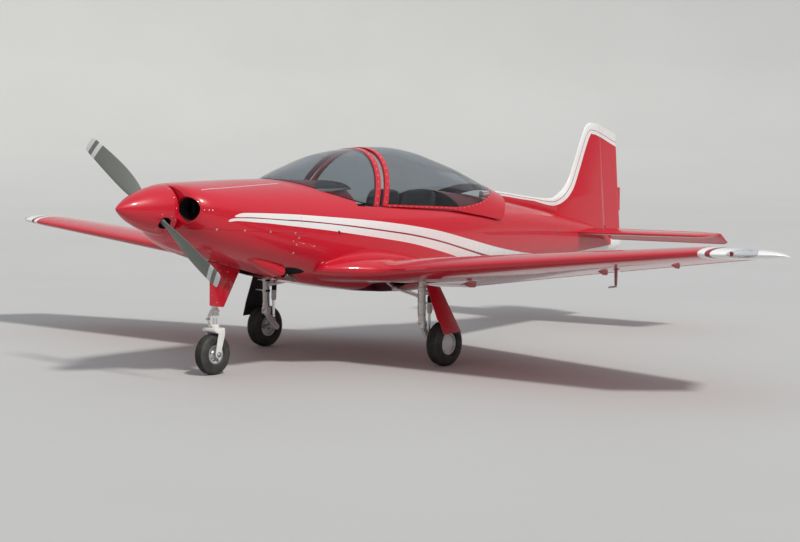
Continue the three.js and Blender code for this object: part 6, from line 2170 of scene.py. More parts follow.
# Nose gear.
NT = dict(s=930, r=155, w=100, rim=74)
NLS = 955
n_tyre = wheel_tyre("nose_tyre_rubber", NT["s"], 0, NT["r"], NT["w"], NT["rim"])
place(n_tyre, "nose_wheel", "tyre", "nose_tyre")
hw = 0.72 * NT["w"] / 2
rimn = [(11, -hw * 0.62), (22, -hw * 0.62), (30, -hw * 0.45), (46, -hw * 0.40), (54, -hw * 0.62), (62, -hw * 0.96), (69, -hw * 1.02), (73, -hw), (73, -hw * 0.84),
        (66, -hw * 0.74), (66, hw * 0.74), (73, hw * 0.84), (73, hw), (69, hw * 1.02), (62, hw * 0.96), (54, hw * 0.62), (46, hw * 0.40), (30, hw * 0.45), (22, hw * 0.62),
        (11, hw * 0.62), (11, -hw * 0.62)]
rim_o = lathe("nose_rim", rimn, (NX - NT["s"], 0, NT["r"]), (0, 1, 0), M["alloy"], 72, None, 32)
pockets = []
for k in range(6):
    a = 2 * math.pi * k / 6
    c = Vector((NX - NT["s"] + 40 * math.cos(a), 0, NT["r"] + 40 * math.sin(a)))
    pockets.append(cylinder("rim_hole", c - Vector((0, 60, 0)), c + Vector((0, 60, 0)), 9.5, n=28))
boolean(rim_o, [("DIFFERENCE", p) for p in pockets])
auto_smooth(rim_o, 30)
drop(*pockets)
nb = []
for sd in (1, -1):
    nb += bolts_ring("bolt", (NX - NT["s"], sd * hw * 0.40, NT["r"]), (0, sd, 0), 40, 6, 4.0, 5.5, M["steel"], 0.5)
place(joined("nose_rim_wheel", [rim_o] + nb), "nose_wheel", "wheel", "nose_rim")

nl_prof = [(0, 440), (20, 440), (31, 442), (32, 445), (32, 456), (28, 458), (26, 462), (26, 560), (29, 563), (29, 578), (26, 581), (26, 606), (30, 609), (30, 634), (26, 637),
           (26, 840), (30, 844), (31, 850), (31, 884), (26, 890), (0, 890)]
nose_parts = [lathe("nleg", nl_prof, at(NLS, 0, 0), (0, 0, 1), M["leg"], 48, None, 30)]
nose_parts.append(lathe("nbar", [(0, -94), (12, -94), (15, -91), (15, -70), (18, -68), (18, -60), (15, -58), (15, 58), (18, 60), (18, 68), (15, 70), (15, 91), (12, 94), (0, 94)],
                        at(NLS, 0, 868), (0, 1, 0), M["leg"], 36, None, 30))
for a, b in ((at(NLS + 18, 0, 622), at(1100, 0, 752)), (at(1100, 0, 752), at(1238, 0, 879))):
    d = (b - a).normalized()
    L_ = (b - a).length
    nose_parts.append(lathe("ndrag", [(0, -4), (8, -4), (12, 2), (12, 12), (10, 18), (10, L_ - 18), (12, L_ - 12), (12, L_ - 2), (8, L_ + 4), (0, L_ + 4)], a, d, M["leg"], 28, None, 30))
nose_parts.append(lathe("nknee", [(0, -22), (13, -22), (14, -20), (14, 20), (13, 22), (0, 22)], at(1100, 0, 752), (0, 1, 0), M["leg"], 32, None, 30))
nose_parts.append(lathe("ncross", [(0, -60), (10, -60), (10, 60), (0, 60)], at(1240, 0, 881), (0, 1, 0), M["leg"], 28, None, 30))
nose_parts.append(slab("nlug", at(NLS + 24, 0, 621), (30, 22, 26), M["leg"], 4, 2))
for sd in (1, -1):
    nose_parts.append(cylinder("nut", at(1100, sd * 22, 752), at(1100, sd * 28, 752), 9, n=6, mats=M["steel"]))
place(joined("nose_leg_strut", nose_parts), "airframe", "leg_paint", "nose_leg")


def fork_arm(side):
    ol = [(NT["s"] - 22, NT["r"] - 20), (NT["s"] - 2, NT["r"] - 27), (NT["s"] + 18, NT["r"] - 20), (NT["s"] + 26, NT["r"] + 4), (NT["s"] + 30, NT["r"] + 34), (NLS + 36, 290),
          (NLS + 42, 326), (NLS + 32, 351), (NLS - 58, 351), (NLS - 66, 334), (NLS - 52, 322), (NT["s"] + 4, 312), (NT["s"] - 4, 280), (NT["s"] - 26, NT["r"] + 22), (NT["s"] - 27, NT["r"] - 6)]
    y0, y1 = (58, 70) if side > 0 else (-70, -58)
    return rounded_prism("arm", ol, y0, y1, M["leg"], 3.2, 3)


fp = [fork_arm(1), fork_arm(-1)]
fp.append(slab("head", at(NLS - 10, 0, 339), (100, 139, 26), M["leg"], 6, 3))
fp.append(lathe("boss", [(18.2, 350), (30, 350), (33, 354), (33, 372), (30, 376), (22, 378), (18.2, 378), (18.2, 350)], at(NLS, 0, 0), (0, 0, 1), M["leg"], 40, None, 30))
fp.append(lathe("piston", [(0, 346), (18, 346), (18, 424), (0, 424)], at(NLS, 0, 0), (0, 0, 1), M["chrome"], 40, None, 30))
fp.append(lathe("naxle", [(0, -76), (8, -76), (10, -74), (10, 74), (8, 76), (0, 76)], at(NT["s"], 0, NT["r"]), (0, 1, 0), M["steel"], 32, None, 30))
for sd in (1, -1):
    fp.append(cylinder("nut", at(NT["s"], sd * 70, NT["r"]), at(NT["s"], sd * 75.5, NT["r"]), 14, n=6, mats=M["steel"]))
    fp.append(lathe("washer", [(0, 69.5), (19, 69.5), (20, 70.3), (20, 71.6), (0, 71.6)], at(NT["s"], 0, NT["r"]), (0, sd, 0), M["steel"], 32, None, 30))
# torque link in front, with a swivel collar round the leg
fp.append(lathe("collar", [(27.2, 466), (33.5, 466), (35, 468), (35, 486), (33.5, 488), (27.2, 488), (27.2, 466)], at(NLS, 0, 0), (0, 0, 1), M["leg"], 44, None, 30))
knee = at(NLS - 70, 0, 422)
for a, w0, w1 in ((at(NLS - 34, 0, 477), 21, 12), (at(NLS - 40, 0, 366), 21, 12)):
    d = (knee - a)
    rings = []
    dn_ = d.normalized()
    up_ = Vector((0, 1, 0)).cross(dn_).normalized()
    for t, w_ in ((0, w0), (0.15, w0), (0.85, w1), (1.0, w1)):
        p = a + d * t
        rings.append(np.array([p + Vector((0, w_ * math.cos(q), 0)) + up_ * (7.5 * math.sin(q)) for q in np.linspace(0, 2 * math.pi, 25)[:-1]]))
    tl = loft("tlink", rings, M["leg"])
    hole_c = a + d * 0.5
    hole = cylinder("th", hole_c - up_ * 30, hole_c + up_ * 30, 8, n=24)
    boolean(tl, [("DIFFERENCE", hole)])
    drop(hole)
    fp.append(auto_smooth(tl, 35))
fp.append(lathe("tknee", [(0, -16), (7, -16), (8, -14), (8, 14), (7, 16), (0, 16)], knee, (0, 1, 0), M["steel"], 24, None, 30))
place(joined("nose_fork_frame", fp), "nose_fork", "leg_paint", "nose_fork")

# Nose door on the left side of the bay.
ND = [(785, 877), (801, 846), (797, 540), (806, 533), (932, 514), (942, 518), (1104, 774), (1101, 789.5), (1020, 811.5), (940, 833.2), (860, 855.8)]
nd = rounded_prism("nd", ND, 108.4, 113.6, M["red"], 1.6, 2)
nd_in = rounded_prism("nd_rib", [(822, 800), (818, 560), (928, 540), (1050, 740)], 103.5, 109, M["red"], 2, 2)
hinges = [slab("ndh", at(s_, 100, 762), (34, 22, 8), M["steel"], 1.5, 2) for s_ in (872, 978)]
nd_screw = domes("nds", [((NX - 870, 113.8, 553), (0, 1, 0)), ((NX - 1012, 113.8, 700), (0, 1, 0))] + [((NX - s_, 113.8, z_), (0, 1, 0)) for s_, z_ in ((822, 790), (822, 700), (822, 610), (905, 790), (980, 776))], 3.6, 1.2, M["screw"])
nd_all = joined("nose_door_panel", [nd, nd_in, nd_screw] + hinges)
place(nd_all, "airframe", "red_metal", "nose_door")

# Exhaust stubs.
for sd, nm in ((1, "left"), (-1, "right")):
    a, b = at(1365, sd * OUTLET["y"], OUTLET["z"] - 8), at(1480, sd * OUTLET["y"], OUTLET["z"] - 48)
    d = (b - a).normalized()
    L_ = (b - a).length
    pipe = lathe("exhaust_%s_pipe" % nm, [(0, 0), (22, 0), (22, 20), (24, 22), (24, 30), (22, 32), (22, L_), (20, L_ + 0.6), (19, L_), (19, L_ - 70), (0, L_ - 70)], a, d, [M["exhaust"]], 40, None, 30)
    place(pipe, "airframe", "steel", "exhaust_" + nm)

# --------------------------------------------------------------------- engine
eng = [slab("case", at(930, 0, 1195), (560, 200, 240), M["yellowing"], 22, 3), slab("sump", at(950, 0, 1050), (480, 260, 120), M["yellowing"], 26, 3)]
for sd in (1, -1):
    for s_ in (770, 1000):
        prof_ = [(0, 90), (62, 90)]
        for k in range(15):
            y_ = 98 + k * 9.5
            prof_ += [(64, y_), (92, y_ + 0.6), (92, y_ + 3.4), (64, y_ + 4.0)]
        prof_ += [(70, 244), (86, 250), (88, 292), (74, 306), (0, 306)]
        eng.append(lathe("cyl", prof_, at(s_, 0, 1212), (0, sd, 0), M["yellowing"], 40, None, 30))
        eng.append(lathe("cover", [(0, 300), (46, 300), (50, 304), (50, 312), (44, 317), (0, 317)], at(s_, 0, 1212), (0, sd, 0), M["steel"], 32, None, 30))
place(joined("engine_finned", eng), "airframe", "engine", "engine_block")

# ----------------------------------------------------------- wing root, small parts
# Concave fairing between the hull and the top of the wing.
def wing_top_at(s, y):
    lead, trail, thick, drop_ = wing_row(y)
    w = chord_at(y)
    c = w["c"] + (trail - lead) / math.cos(w["inc"])
    le = w["le"] + lead
    x = (s - le) / (c * math.cos(w["inc"]))
    if x <= 0.0005 or x >= 1:
        return None
    t = w["t"] * w["c"] * thick / c
    zl = w["z"] - (le - w["le"]) * math.tan(w["inc"])
    return zl - x * c * math.sin(w["inc"]) + foil(x, t, WING["camber"])[0] * c


fil_rings = []
fil_n = 22
for s in spread(1662, 3722, 24):
    row = hull_row(s)
    u = (s - 1662) / (3722 - 1662)
    R = 12 + 62 * min(1, u / 0.25) ** 0.8 + 40 * max(0, (u - 0.55) / 0.45) ** 1.5
    # the fairing runs out towards the trailing edge
    out = min(1, max(0, (s - 3440) / (3722 - 3440)))
    R = 5 + (R - 5) * (1 - out * out * (3 - 2 * out))
    # height of the wing's top next to the hull
    z0 = 700.0
    for _ in range(6):
        y0 = width_at(row, z0)
        zt = wing_top_at(s, y0)
        z0 = zt if zt is not None else z0
    if zt is None and s > 3000:
        break
    A_y, A_z = width_at(row, z0 + R), z0 + R
    B_y = y0 + R
    B_z = wing_top_at(s, B_y)
    if B_z is None:
        B_z = z0 - 5
    ctrl = (y0 + 1.0, z0 + 2.0)
    pts = []
    for k in range(fil_n + 1):
        t = k / fil_n
        y_ = (1 - t) ** 2 * (A_y + 0.4) + 2 * t * (1 - t) * ctrl[0] + t * t * B_y
        z_ = (1 - t) ** 2 * A_z + 2 * t * (1 - t) * ctrl[1] + t * t * (B_z + 0.5)
        pts.append([NX - s, y_, z_])
    pts.append([NX - s, B_y - 2, B_z - 6])
    pts.append([NX - s, y0 - 6, z0 - 8])
    pts.append([NX - s, A_y - 6, A_z - 2])
    fil_rings.append(np.array(pts))
fil = loft("root_fairing", fil_rings, M["red"])
SRC_FIL = Source(fil_rings)
SRC_FIL_R = Source([q * np.array([1, -1, 1]) for q in fil_rings])
zones(fil, side_paint)
# the bands end a little way out from the hull
recolour(fil, M["red"], lambda c, n: c.y * 1000 > width_at(hull_row(NX - c.x * 1000), c.z * 1000) + 34)
fil_r = copy_mirror(fil, "root_fairing_right")
fil.name = "root_fairing_left"
skin2(fil, [(SRC_FIL, 1, OUTER)], M["red"], small=0.0)
skin2(fil_r, [(SRC_FIL_R, 1, OUTER)], M["red"], small=0.0)
place(fil, "airframe", "red_airframe")
place(fil_r, "airframe", "red_airframe")

# Hinge fairings and jacking pads under the wing.
for sd, nm in ((1, "left"), (-1, "right")):
    fair = []
    for y, part, ln, half, depth in ((800, 0.66, 190, 11, 34), (2250, 0.66, 170, 10, 32), (2945, 0.66, 150, 10, 28)):
        w = chord_at(y)

        def low(x):
            return w["le"] + x * w["c"] * math.cos(w["inc"]), w["z"] - x * w["c"] * math.sin(w["inc"]) + foil(x, w["t"], WING["camber"])[1] * w["c"]
        sa, za = low(part - 0.02)
        sb, zb = low(min(part + ln / w["c"], 0.745))
        body_o = [(sa, za + 4), (sa + ln * 0.18, za - depth * 0.42), (sa + ln * 0.42, (za + zb) / 2 - depth * 0.9), (sa + ln * 0.62, (za + zb) / 2 - depth), (sb - 10, zb - depth * 0.86), (sb - 3, zb - depth * 0.6), (sb, zb + 6)]
        fair.append(rounded_prism("fair", body_o, sd * y - half, sd * y + half, M["red"], 4, 3))
        fair.append(cylinder("fp", at(sb - 18, sd * y - half - 3, zb - depth * 0.55), at(sb - 18, sd * y + half + 3, zb - depth * 0.55), 4.5, n=6, mats=M["steel"]))
    jz = underside(2420, 1270)
    fair.append(lathe("jack", [(0, 0), (20, 0), (22, 1.5), (22, 12), (0, 12)], (NX - 2420, sd * 1270, jz - 9), (0, 0, 1), M["red"], 40, None, 30))
    place(joined("wing_fittings_" + nm, fair), "airframe", "red_airframe")

# Pitot mast under the left wing.
pz = underside(2555, 2505)
mast_rings = []
for z_, k in ((pz + 4, 1.0), (pz - 40, 1.0), (pz - 90, 0.9), (pz - 118, 0.82), (pz - 132, 0.78)):
    mast_rings.append(np.array([[NX - 2555 + 17 * k * math.cos(a) * (1 if math.cos(a) > 0 else 1.25), 2505 + 7.5 * k * math.sin(a), z_] for a in np.linspace(0, 2 * math.pi, 33)[:-1]]))
# the mast is dark red: painted shade under the wing
mast = auto_smooth(loft("mast", mast_rings[:4], M["maroon"]), 40)
mast2 = auto_smooth(loft("mast2", mast_rings[3:], M["steel"]), 40)
pt = curve_points([(NX - 2555, 2505, pz - 118), (NX - 2553, 2505, pz - 126), (NX - 2540, 2505, pz - 128), (NX - 2500, 2505, pz - 127.5), (NX - 2463, 2505, pz - 127)], 8)
tube_p = tube("ptube", pt, 6.5, M["steel"], 20)
flange_p = lathe("pflange", [(0, -1), (26, -1), (26, 1.5), (0, 1.5)], (NX - 2555, 2505, pz - 1.5), (0, 0, 1), M["red"], 40, None, 30)
place(joined("pitot_mast", [mast, mast2, tube_p, flange_p]), "airframe", "steel", "pitot")

# Stall strips on the inner leading edges.
for sd, nm in ((1, "left"), (-1, "right")):
    rings = []
    for y in spread(1015, 1240, 15):
        w = chord_at(y)
        x_le = NX - w["le"]
        zc = w["z"] - 1
        q = 7.0 if 1020 < y < 1235 else 2.0
        rings.append(np.array([[x_le - 3, sd * y, zc + q * 1.3], [x_le + q, sd * y, zc + 0.8], [x_le + q, sd * y, zc - 0.8], [x_le - 3, sd * y, zc - q * 1.3]]))
    st_o = loft("stall_strip_" + nm, rings, M["red"])
    auto_smooth(st_o, 25)
    place(st_o, "airframe", "red_airframe")

# Screws, rivets and hinge on the cowl.
spots = []
for sd in (1, -1):
    for s_, z_ in ((604, 1114), (832, 1100), (1072, 1082), (1323, 1063), (1361, 1025), (1340, 976), (1324, 914)):
        p, n_ = on_hull(s_, z_, sd)
        spots.append((p, n_))
cowl_screws = domes("cowl_screws", spots, 8.0, 2.6, M["screw"], 16)
spots = []
for sd in (1, -1):
    for s_, z_ in ((511, 1255), (540, 1252), (567, 1252)):
        p, n_ = on_hull(s_, z_, sd)
        spots.append((p, n_))
cowl_rivets = domes("cowl_rivets", spots, 4.6, 1.8, M["screw"], 14)
# rows of flush rivets along the rear edge of the cowl
spots = []
for sd in (1, -1):
    for z_ in np.linspace(1100, 1330, 7):
        p, n_ = on_hull(1398, z_, sd)
        spots.append((p, n_))
    for z_ in np.linspace(830, 1010, 5):
        p, n_ = on_hull(1398, z_, sd)
        spots.append((p, n_))
for y_ in np.linspace(-250, 250, 9):
    p, n_ = on_top(1398, y_)
    spots.append((p, n_))
cowl_flush = domes("cowl_flush_rivets", spots, 3.4, 0.5, M["red"], 14)
place(joined("cowl_fasteners", [cowl_screws, cowl_rivets, cowl_flush]), "airframe", "steel")

# Piano hinges on top of the cowl.
hinge_parts = []
for sd in (1, -1):
    P = []
    for s_ in spread(556, 1400, 15):
        y_ = sd * float(np.interp(s_, [556, 760, 990, 1233, 1482], [284, 283, 269, 246, 217]))
        p, n_ = on_top(s_, y_)
        P.append(p + n_ * 1.1)
    hinge_parts.append(tube("ph", P, 2.6, M["rivet"], 10))
place(joined("cowl_hinges", hinge_parts), "airframe", "steel")

# Fuel filler caps on the wings, tank vent, static port, small fitting on the stripe.
fit = []
for sd in (1, -1):
    for s_, y_, r_ in ((2330, 1500, 36),):
        z_ = topside(s_, y_)
        e = 8
        nx_ = -(topside(s_ + e, y_) - topside(s_ - e, y_)) / (2 * e)
        ny_ = -(topside(s_, y_ + e) - topside(s_, y_ - e)) / (2 * e)
        n_ = Vector((-nx_ * 1.0, sd * ny_, 1)).normalized()
        n_.x = (topside(s_ + e, y_) - topside(s_ - e, y_)) / (2 * e)
        n_ = Vector((n_.x, sd * ny_, 1)).normalized()
        fit.append(lathe("cap", [(0, -3), (r_, -3), (r_, 0.6), (r_ - 1.5, 1.8), (r_ - 6, 2.2), (r_ - 7, 1.4), (r_ - 9, 1.4), (r_ - 10, 2.6), (0, 3.4)], (NX - s_, sd * y_, z_), n_, M["red"], 56, None, 28))
        fit.append(slab("flip", Vector((NX - s_, sd * y_, z_)) + n_ * 4.2, (34, 9, 4), M["steel"], 1.5, 2))
    p, n_ = on_hull(1773, 1059, sd)
    fit.append(lathe("fitn", [(0, -2), (7, -2), (7, 2), (5, 5), (0, 6)], p, n_, M["dark"], 24, None, 30))
    fit.append(slab("fits", Vector(p) + n_ * 5 + Vector((-6, 0, -8)), (7, 6, 22), M["dark"], 2, 2))
    p, n_ = on_hull(5080, 930, sd)
    fit.append(lathe("static", [(0, -2), (13, -2), (13, 0.7), (11, 1.2), (3.0, 1.2), (2.4, 0.4), (0, 0.4)], p, n_, M["steel"], 32, None, 30))
place(joined("hull_fittings", fit), "airframe", "steel")

# Blade aerial under the belly behind the wing.
row = hull_row(4420)
ant = []
rings = []
for z_, c_, th_, sh in ((row[2] + 6, 110, 9, 0), (row[2] - 18, 100, 8, 8), (row[2] - 52, 78, 6.5, 24), (row[2] - 74, 60, 5, 36), (row[2] - 80, 46, 3, 44)):
    rings.append(np.array([[NX - 4420 - sh - (c_ / 2) * math.cos(a) * -1, (th_ / 2) * math.sin(a), z_] for a in np.linspace(0, 2 * math.pi, 33)[:-1]]))
place(auto_smooth(loft("belly_aerial", rings, M["white"]), 35), "airframe", "white_cone")

# Tail tie-down under the rear hull.
tie = [lathe("tie", [(0, 644), (13.5, 644), (15, 645.5), (15, 676), (0, 676)], at(5900, 0, 0), (0, 0, 1), M["steel"], 40, None, 30)]
place(joined("tail_tie_pad", tie), "airframe", "steel")

# ------------------------------------------------------------- wing tip lenses
def lens_shell(side, name):
    """Curved clear cover: the wing's own surface inside the oval, 2.6 mm thick."""
    src = duplicate(wing_src, "lens_part")
    if side < 0:
        src.data.transform(Matrix.Scale(-1, 4, (0, 1, 0)))
        src.data.flip_normals()
    rod_ = lens_rod("lens_part_rod", 0, side, CUT)
    boolean(src, [("INTERSECT", rod_)])
    drop(rod_)
    bm = bmesh.new()
    bm.from_mesh(src.data)
    cut_i = [i for i, m in enumerate(src.data.materials) if m is CUT]
    bmesh.ops.delete(bm, geom=[f for f in bm.faces if f.material_index in cut_i], context="FACES")
    bmesh.ops.remove_doubles(bm, verts=bm.verts, dist=1e-5)
    bm.normal_update()
    source = SRC_WING if side > 0 else SRC_WING_R
    top_v = [v for v in bm.verts]
    inner = {}
    for v in top_v:
        n = source.at(v.co)[1]
        w_ = bm.verts.new(v.co - n * 0.0026)
        inner[v] = w_
    edges = [e for e in bm.edges if len(e.link_faces) == 1]
    faces = list(bm.faces)
    for f in faces:
        bm.faces.new([inner[v] for v in reversed(f.verts)])
    for e in edges:
        f = e.link_faces[0]
        a, b = e.verts
        vs = list(f.verts)
        if vs[(vs.index(a) + 1) % len(vs)] is b:
            a, b = b, a
        bm.faces.new([a, b, inner[b], inner[a]])
    bm.normal_update()
    me = bpy.data.meshes.new(name)
    bm.to_mesh(me)
    bm.free()
    me.materials.append(M["lens"])
    o = bpy.data.objects.new(name, me)
    SCENE.collection.objects.link(o)
    for p in me.polygons:
        p.material_index = 0
    auto_smooth(outward(o), 40)
    drop(src)
    return o


for side, nm, tint in ((1, "left", "red_lens"), (-1, "right", "green_lens")):
    cover = lens_shell(side, "tip_lens_cover_" + nm)
    place(cover, "airframe", "lens", "tip_light_" + nm)
    lamp = []
    # coloured lamp at the inboard end on a bright base, landing lamp and its tray further out
    ahead = Vector((math.cos(rad(34)), side * math.sin(rad(34)), 0))
    c = Vector((NX - 2086, side * 3699, 1013))
    lamp.append(lathe("lamp_base", [(0, -30), (12, -30), (16, -18), (17, 0), (15.5, 3), (0, 3)], c, ahead, M["chrome"], 40, None, 30))
    lamp.append(lathe("lamp_glass", [(0, 3), (15, 3), (15.6, 7), (14.6, 12), (11.5, 16.5), (6, 19.6), (0, 20.4)], c, ahead, M[tint], 40, None, 50))
    c = Vector((NX - 2176, side * 3788, 1014))
    bowl = [(0, -34), (7, -33), (13, -28), (17, -20), (19, -10), (20, 0), (21.4, 0), (21.4, -36), (0, -38)]
    lamp.append(lathe("bowl", bowl, c, ahead, M["chrome"], 48, None, 40))
    lamp.append(lathe("bulb", [(0, -32), (3.4, -32), (3.4, -24), (5, -19), (4.2, -13), (2, -10), (0, -9.6)], c, ahead, M["dial_mark"], 24, None, 40))
    tray = rounded_prism("lamp_tray", [(2140, 990.5), (2235, 990.5), (2235, 994), (2140, 994)], *sorted((side * 3726, side * 3800)), M["alloy"], 1.0, 2)
    lamp.append(tray)
    place(joined("tip_lamps_" + nm, lamp), "airframe", "steel")

# --------------------------------------------------------------------- cabin
def crowned(name, half, e1, e2, mats, nu=72, nv=40, lean=None, top_pull=0.0):
    """Closed crowned pad: half sizes in mm, e1 rounds the edge, e2 the corners."""
    hx, hy, hz = half

    def sp(v, e):
        return math.copysign(abs(v) ** e, v)
    rings = []
    for i in range(1, nv):
        a = -math.pi / 2 + math.pi * i / nv
        r_ = abs(math.cos(a)) ** e1
        z_ = hz * sp(math.sin(a), e1)
        rings.append(np.array([[hx * r_ * sp(math.cos(q), e2), hy * r_ * sp(math.sin(q), e2), z_] for q in np.linspace(0, 2 * math.pi, nu + 1)[:-1]]))
    return loft(name, rings, mats)


def simulated(o, seams, pressure=4.0, cap=0.026, voxel=0.006, frames=20):
    """Cloth filled with pressure; the seam lines stay where they are sewn."""
    rm = o.modifiers.new("remesh", "REMESH")
    rm.mode = "VOXEL"
    rm.voxel_size = voxel
    dg = bpy.context.evaluated_depsgraph_get()
    me = bpy.data.meshes.new_from_object(o.evaluated_get(dg))
    mats = list(o.data.materials)
    o.modifiers.clear()
    o.data = me
    me.materials.clear()
    for m in mats:
        me.materials.append(m)
    co = np.zeros(len(me.vertices) * 3)
    me.vertices.foreach_get("co", co)
    co = co.reshape(-1, 3)
    pinned = [i for i, v in enumerate(co) if seams(v)]
    rest = co.copy()
    vg = o.vertex_groups.new(name="sewn")
    vg.add(pinned, 1.0, "REPLACE")
    cl = o.modifiers.new("cloth", "CLOTH")
    s_ = cl.settings
    s_.quality = 4
    s_.mass = 0.3
    s_.tension_stiffness = 12
    s_.compression_stiffness = 12
    s_.shear_stiffness = 5
    s_.bending_stiffness = 0.6
    s_.use_pressure = True
    s_.uniform_pressure_force = pressure
    s_.effector_weights.gravity = 0
    s_.vertex_group_mass = "sewn"
    cl.point_cache.frame_start = 1
    cl.point_cache.frame_end = frames
    for f_ in range(1, frames + 1):
        SCENE.frame_set(f_)
    dg = bpy.context.evaluated_depsgraph_get()
    ev = o.evaluated_get(dg)
    got = np.zeros(len(ev.data.vertices) * 3)
    ev.data.vertices.foreach_get("co", got)
    got = got.reshape(-1, 3)
    o.modifiers.clear()
    o.vertex_groups.clear()
    d = got - rest
    ln = np.linalg.norm(d, axis=1)
    d *= np.minimum(1.0, cap / np.maximum(ln, 1e-9))[:, None]
    co = rest + d
    me.vertices.foreach_set("co", co.reshape(-1))
    SCENE.frame_set(1)
    ss = o.modifiers.new("smooth", "SUBSURF")
    ss.levels = ss.render_levels = 1
    dg = bpy.context.evaluated_depsgraph_get()
    me2 = bpy.data.meshes.new_from_object(o.evaluated_get(dg))
    o.modifiers.clear()
    o.data = me2
    me2.materials.clear()
    for m in mats:
        me2.materials.append(m)
    for p in me2.polygons:
        p.use_smooth = True
        p.material_index = 0
    return o


def rim_line(o, n=120, plane=0.0, out=0.0008):
    """Line round a pad at a height in its own frame, read from its surface."""
    from mathutils.bvhtree import BVHTree
    bvh = BVHTree.FromObject(o, bpy.context.evaluated_depsgraph_get())
    pts = []
    for k in range(n):
        a = 2 * math.pi * k / n
        far = Vector((math.cos(a), math.sin(a), 0)) * 2 + Vector((0, 0, plane))
        hit = bvh.ray_cast(far, -Vector((math.cos(a), math.sin(a), 0)))
        if hit[0] is not None:
            pts.append(hit[0] + Vector((math.cos(a), math.sin(a), 0)) * out)
    P = np.array([tuple(p) for p in pts])
    for _ in range(3):
        P = (np.roll(P, 1, 0) + 2 * P + np.roll(P, -1, 0)) / 4
    return [Vector(p) for p in P]


def seat_pad(name, half, lines_x, lines_y, frame_matrix, e1=0.42, e2=0.30):
    """Pad with a sewn edge and sewn channels, in its own frame, then set in place."""
    hx, hy, hz = half
    o = crowned(name, half, e1, e2, [M["cloth"]])

    def seams(v):
        x, y, z = v[0] * 1000, v[1] * 1000, v[2] * 1000
        edge = abs(z) < 4.2 and (abs(x) > hx * 0.8 or abs(y) > hy * 0.8)
        inner = z > 0 and any(abs(x - q) < 3.6 and abs(y) < hy * 0.80 for q in lines_x)
        inner = inner or (z > 0 and any(abs(y - q) < 3.6 and abs(x) < hx * 0.80 for q in lines_y))
        flat = z < -hz * 0.9
        return edge or inner or flat
    simulated(o, seams)
    rim = rim_line(o)
    pipe = tube("pad_piping", rim + rim[:1], 3.2, M["piping"], 8)
    o = joined(name, [o, pipe])
    o.data.transform(frame_matrix)
    return o


cushion_m = Matrix.Translation(Vector((NX - 2695, 200, 838)) * 0.001) @ Matrix.Rotation(rad(-3), 4, "Y")
back_m = Matrix.Translation(Vector((NX - 3052, 196, 1110)) * 0.001) @ Matrix.Rotation(rad(-20), 4, "Y") @ Matrix.Rotation(rad(90), 4, "Y")
seat_l = seat_pad("seat_cushion_left_pad", (222, 174, 40), (-70, 60), (-112, 112), cushion_m)
back_l = seat_pad("seat_back_left_pad", (246, 164, 37), (-120, 0, 120), (-104, 104), back_m)
for o, nm in ((seat_l, "seat_cushion_"), (back_l, "seat_back_")):
    r = copy_mirror(o, nm + "right_pad")
    place(o, "airframe", "seat_fabric", nm + "left")
    place(r, "airframe", "seat_fabric", nm + "right")

# Seat base with its rails, and the shelf.
base_parts = [slab("seat_box", at(2750, 0, 752), (616, 872, 72), M["trim"], 16, 3)]
for sd in (1, -1):
    for y_ in (60, 345):
        base_parts.append(slab("seat_rail", at(2750, sd * y_, 790), (560, 22, 6), M["steel"], 2, 2))
place(joined("seat_base_box", base_parts), "airframe", "dark_interior", "seat_base")
shelf = slab("shelf_board", at(3555, 0, 1046), (528, 658, 11), M["carpet"], 4, 3)
place(shelf, "airframe", "dark_interior", "baggage_shelf")

# Sticks with moulded grips and boots.
sticks = []
for sd in (1, -1):
    y_ = sd * 222
    pts = curve_points([(NX - 2330, y_, 745), (NX - 2333, y_, 800), (NX - 2347, y_, 900), (NX - 2362, y_, 985), (NX - 2366, y_, 1010)], 10)
    sticks.append(tube("stick", pts, 9.0, M["dark"], 20))
    sticks.append(lathe("grip", [(0, 0), (15, 0), (17, 4), (16.5, 18), (14, 30), (15.5, 44), (14, 58), (16, 72), (18, 88), (17, 97), (10, 101), (0, 102)], at(2362, y_, 995), (-0.16, 0, 1), M["dark"], 36, None, 45))
    sticks.append(lathe("button", [(0, 0), (5, 0), (5, 3), (3.5, 4.5), (0, 4.6)], at(2379, y_, 1096), (-0.3, 0, 1), M["red"], 20, None, 40))
    boot = []
    for k in range(9):
        z_ = k * 7.0
        boot += [(50 - 4.2 * k, z_), (46 - 4.2 * k, z_ + 3.5)]
    sticks.append(lathe("boot", [(0, 0)] + boot + [(9.5, 64), (0, 64)], at(2331, y_, 748), (-0.06, 0, 1), M["dark"], 40, None, 60))
sticks.append(lathe("stick_rod", [(0, -236), (10, -236), (11, -234), (11, 234), (10, 236), (0, 236)], at(2330, 0, 752), (0, 1, 0), M["steel"], 28, None, 30))
sticks.append(lathe("stick_post", [(0, 712), (14, 712), (14, 752), (0, 752)], at(2330, 0, 0), (0, 0, 1), M["steel"], 28, None, 30))
place(joined("control_sticks_pair", sticks), "airframe", "dark_interior", "control_sticks")

# Panel face with dials, switches and radios, under a padded shield.
PANEL_S = 1994.0


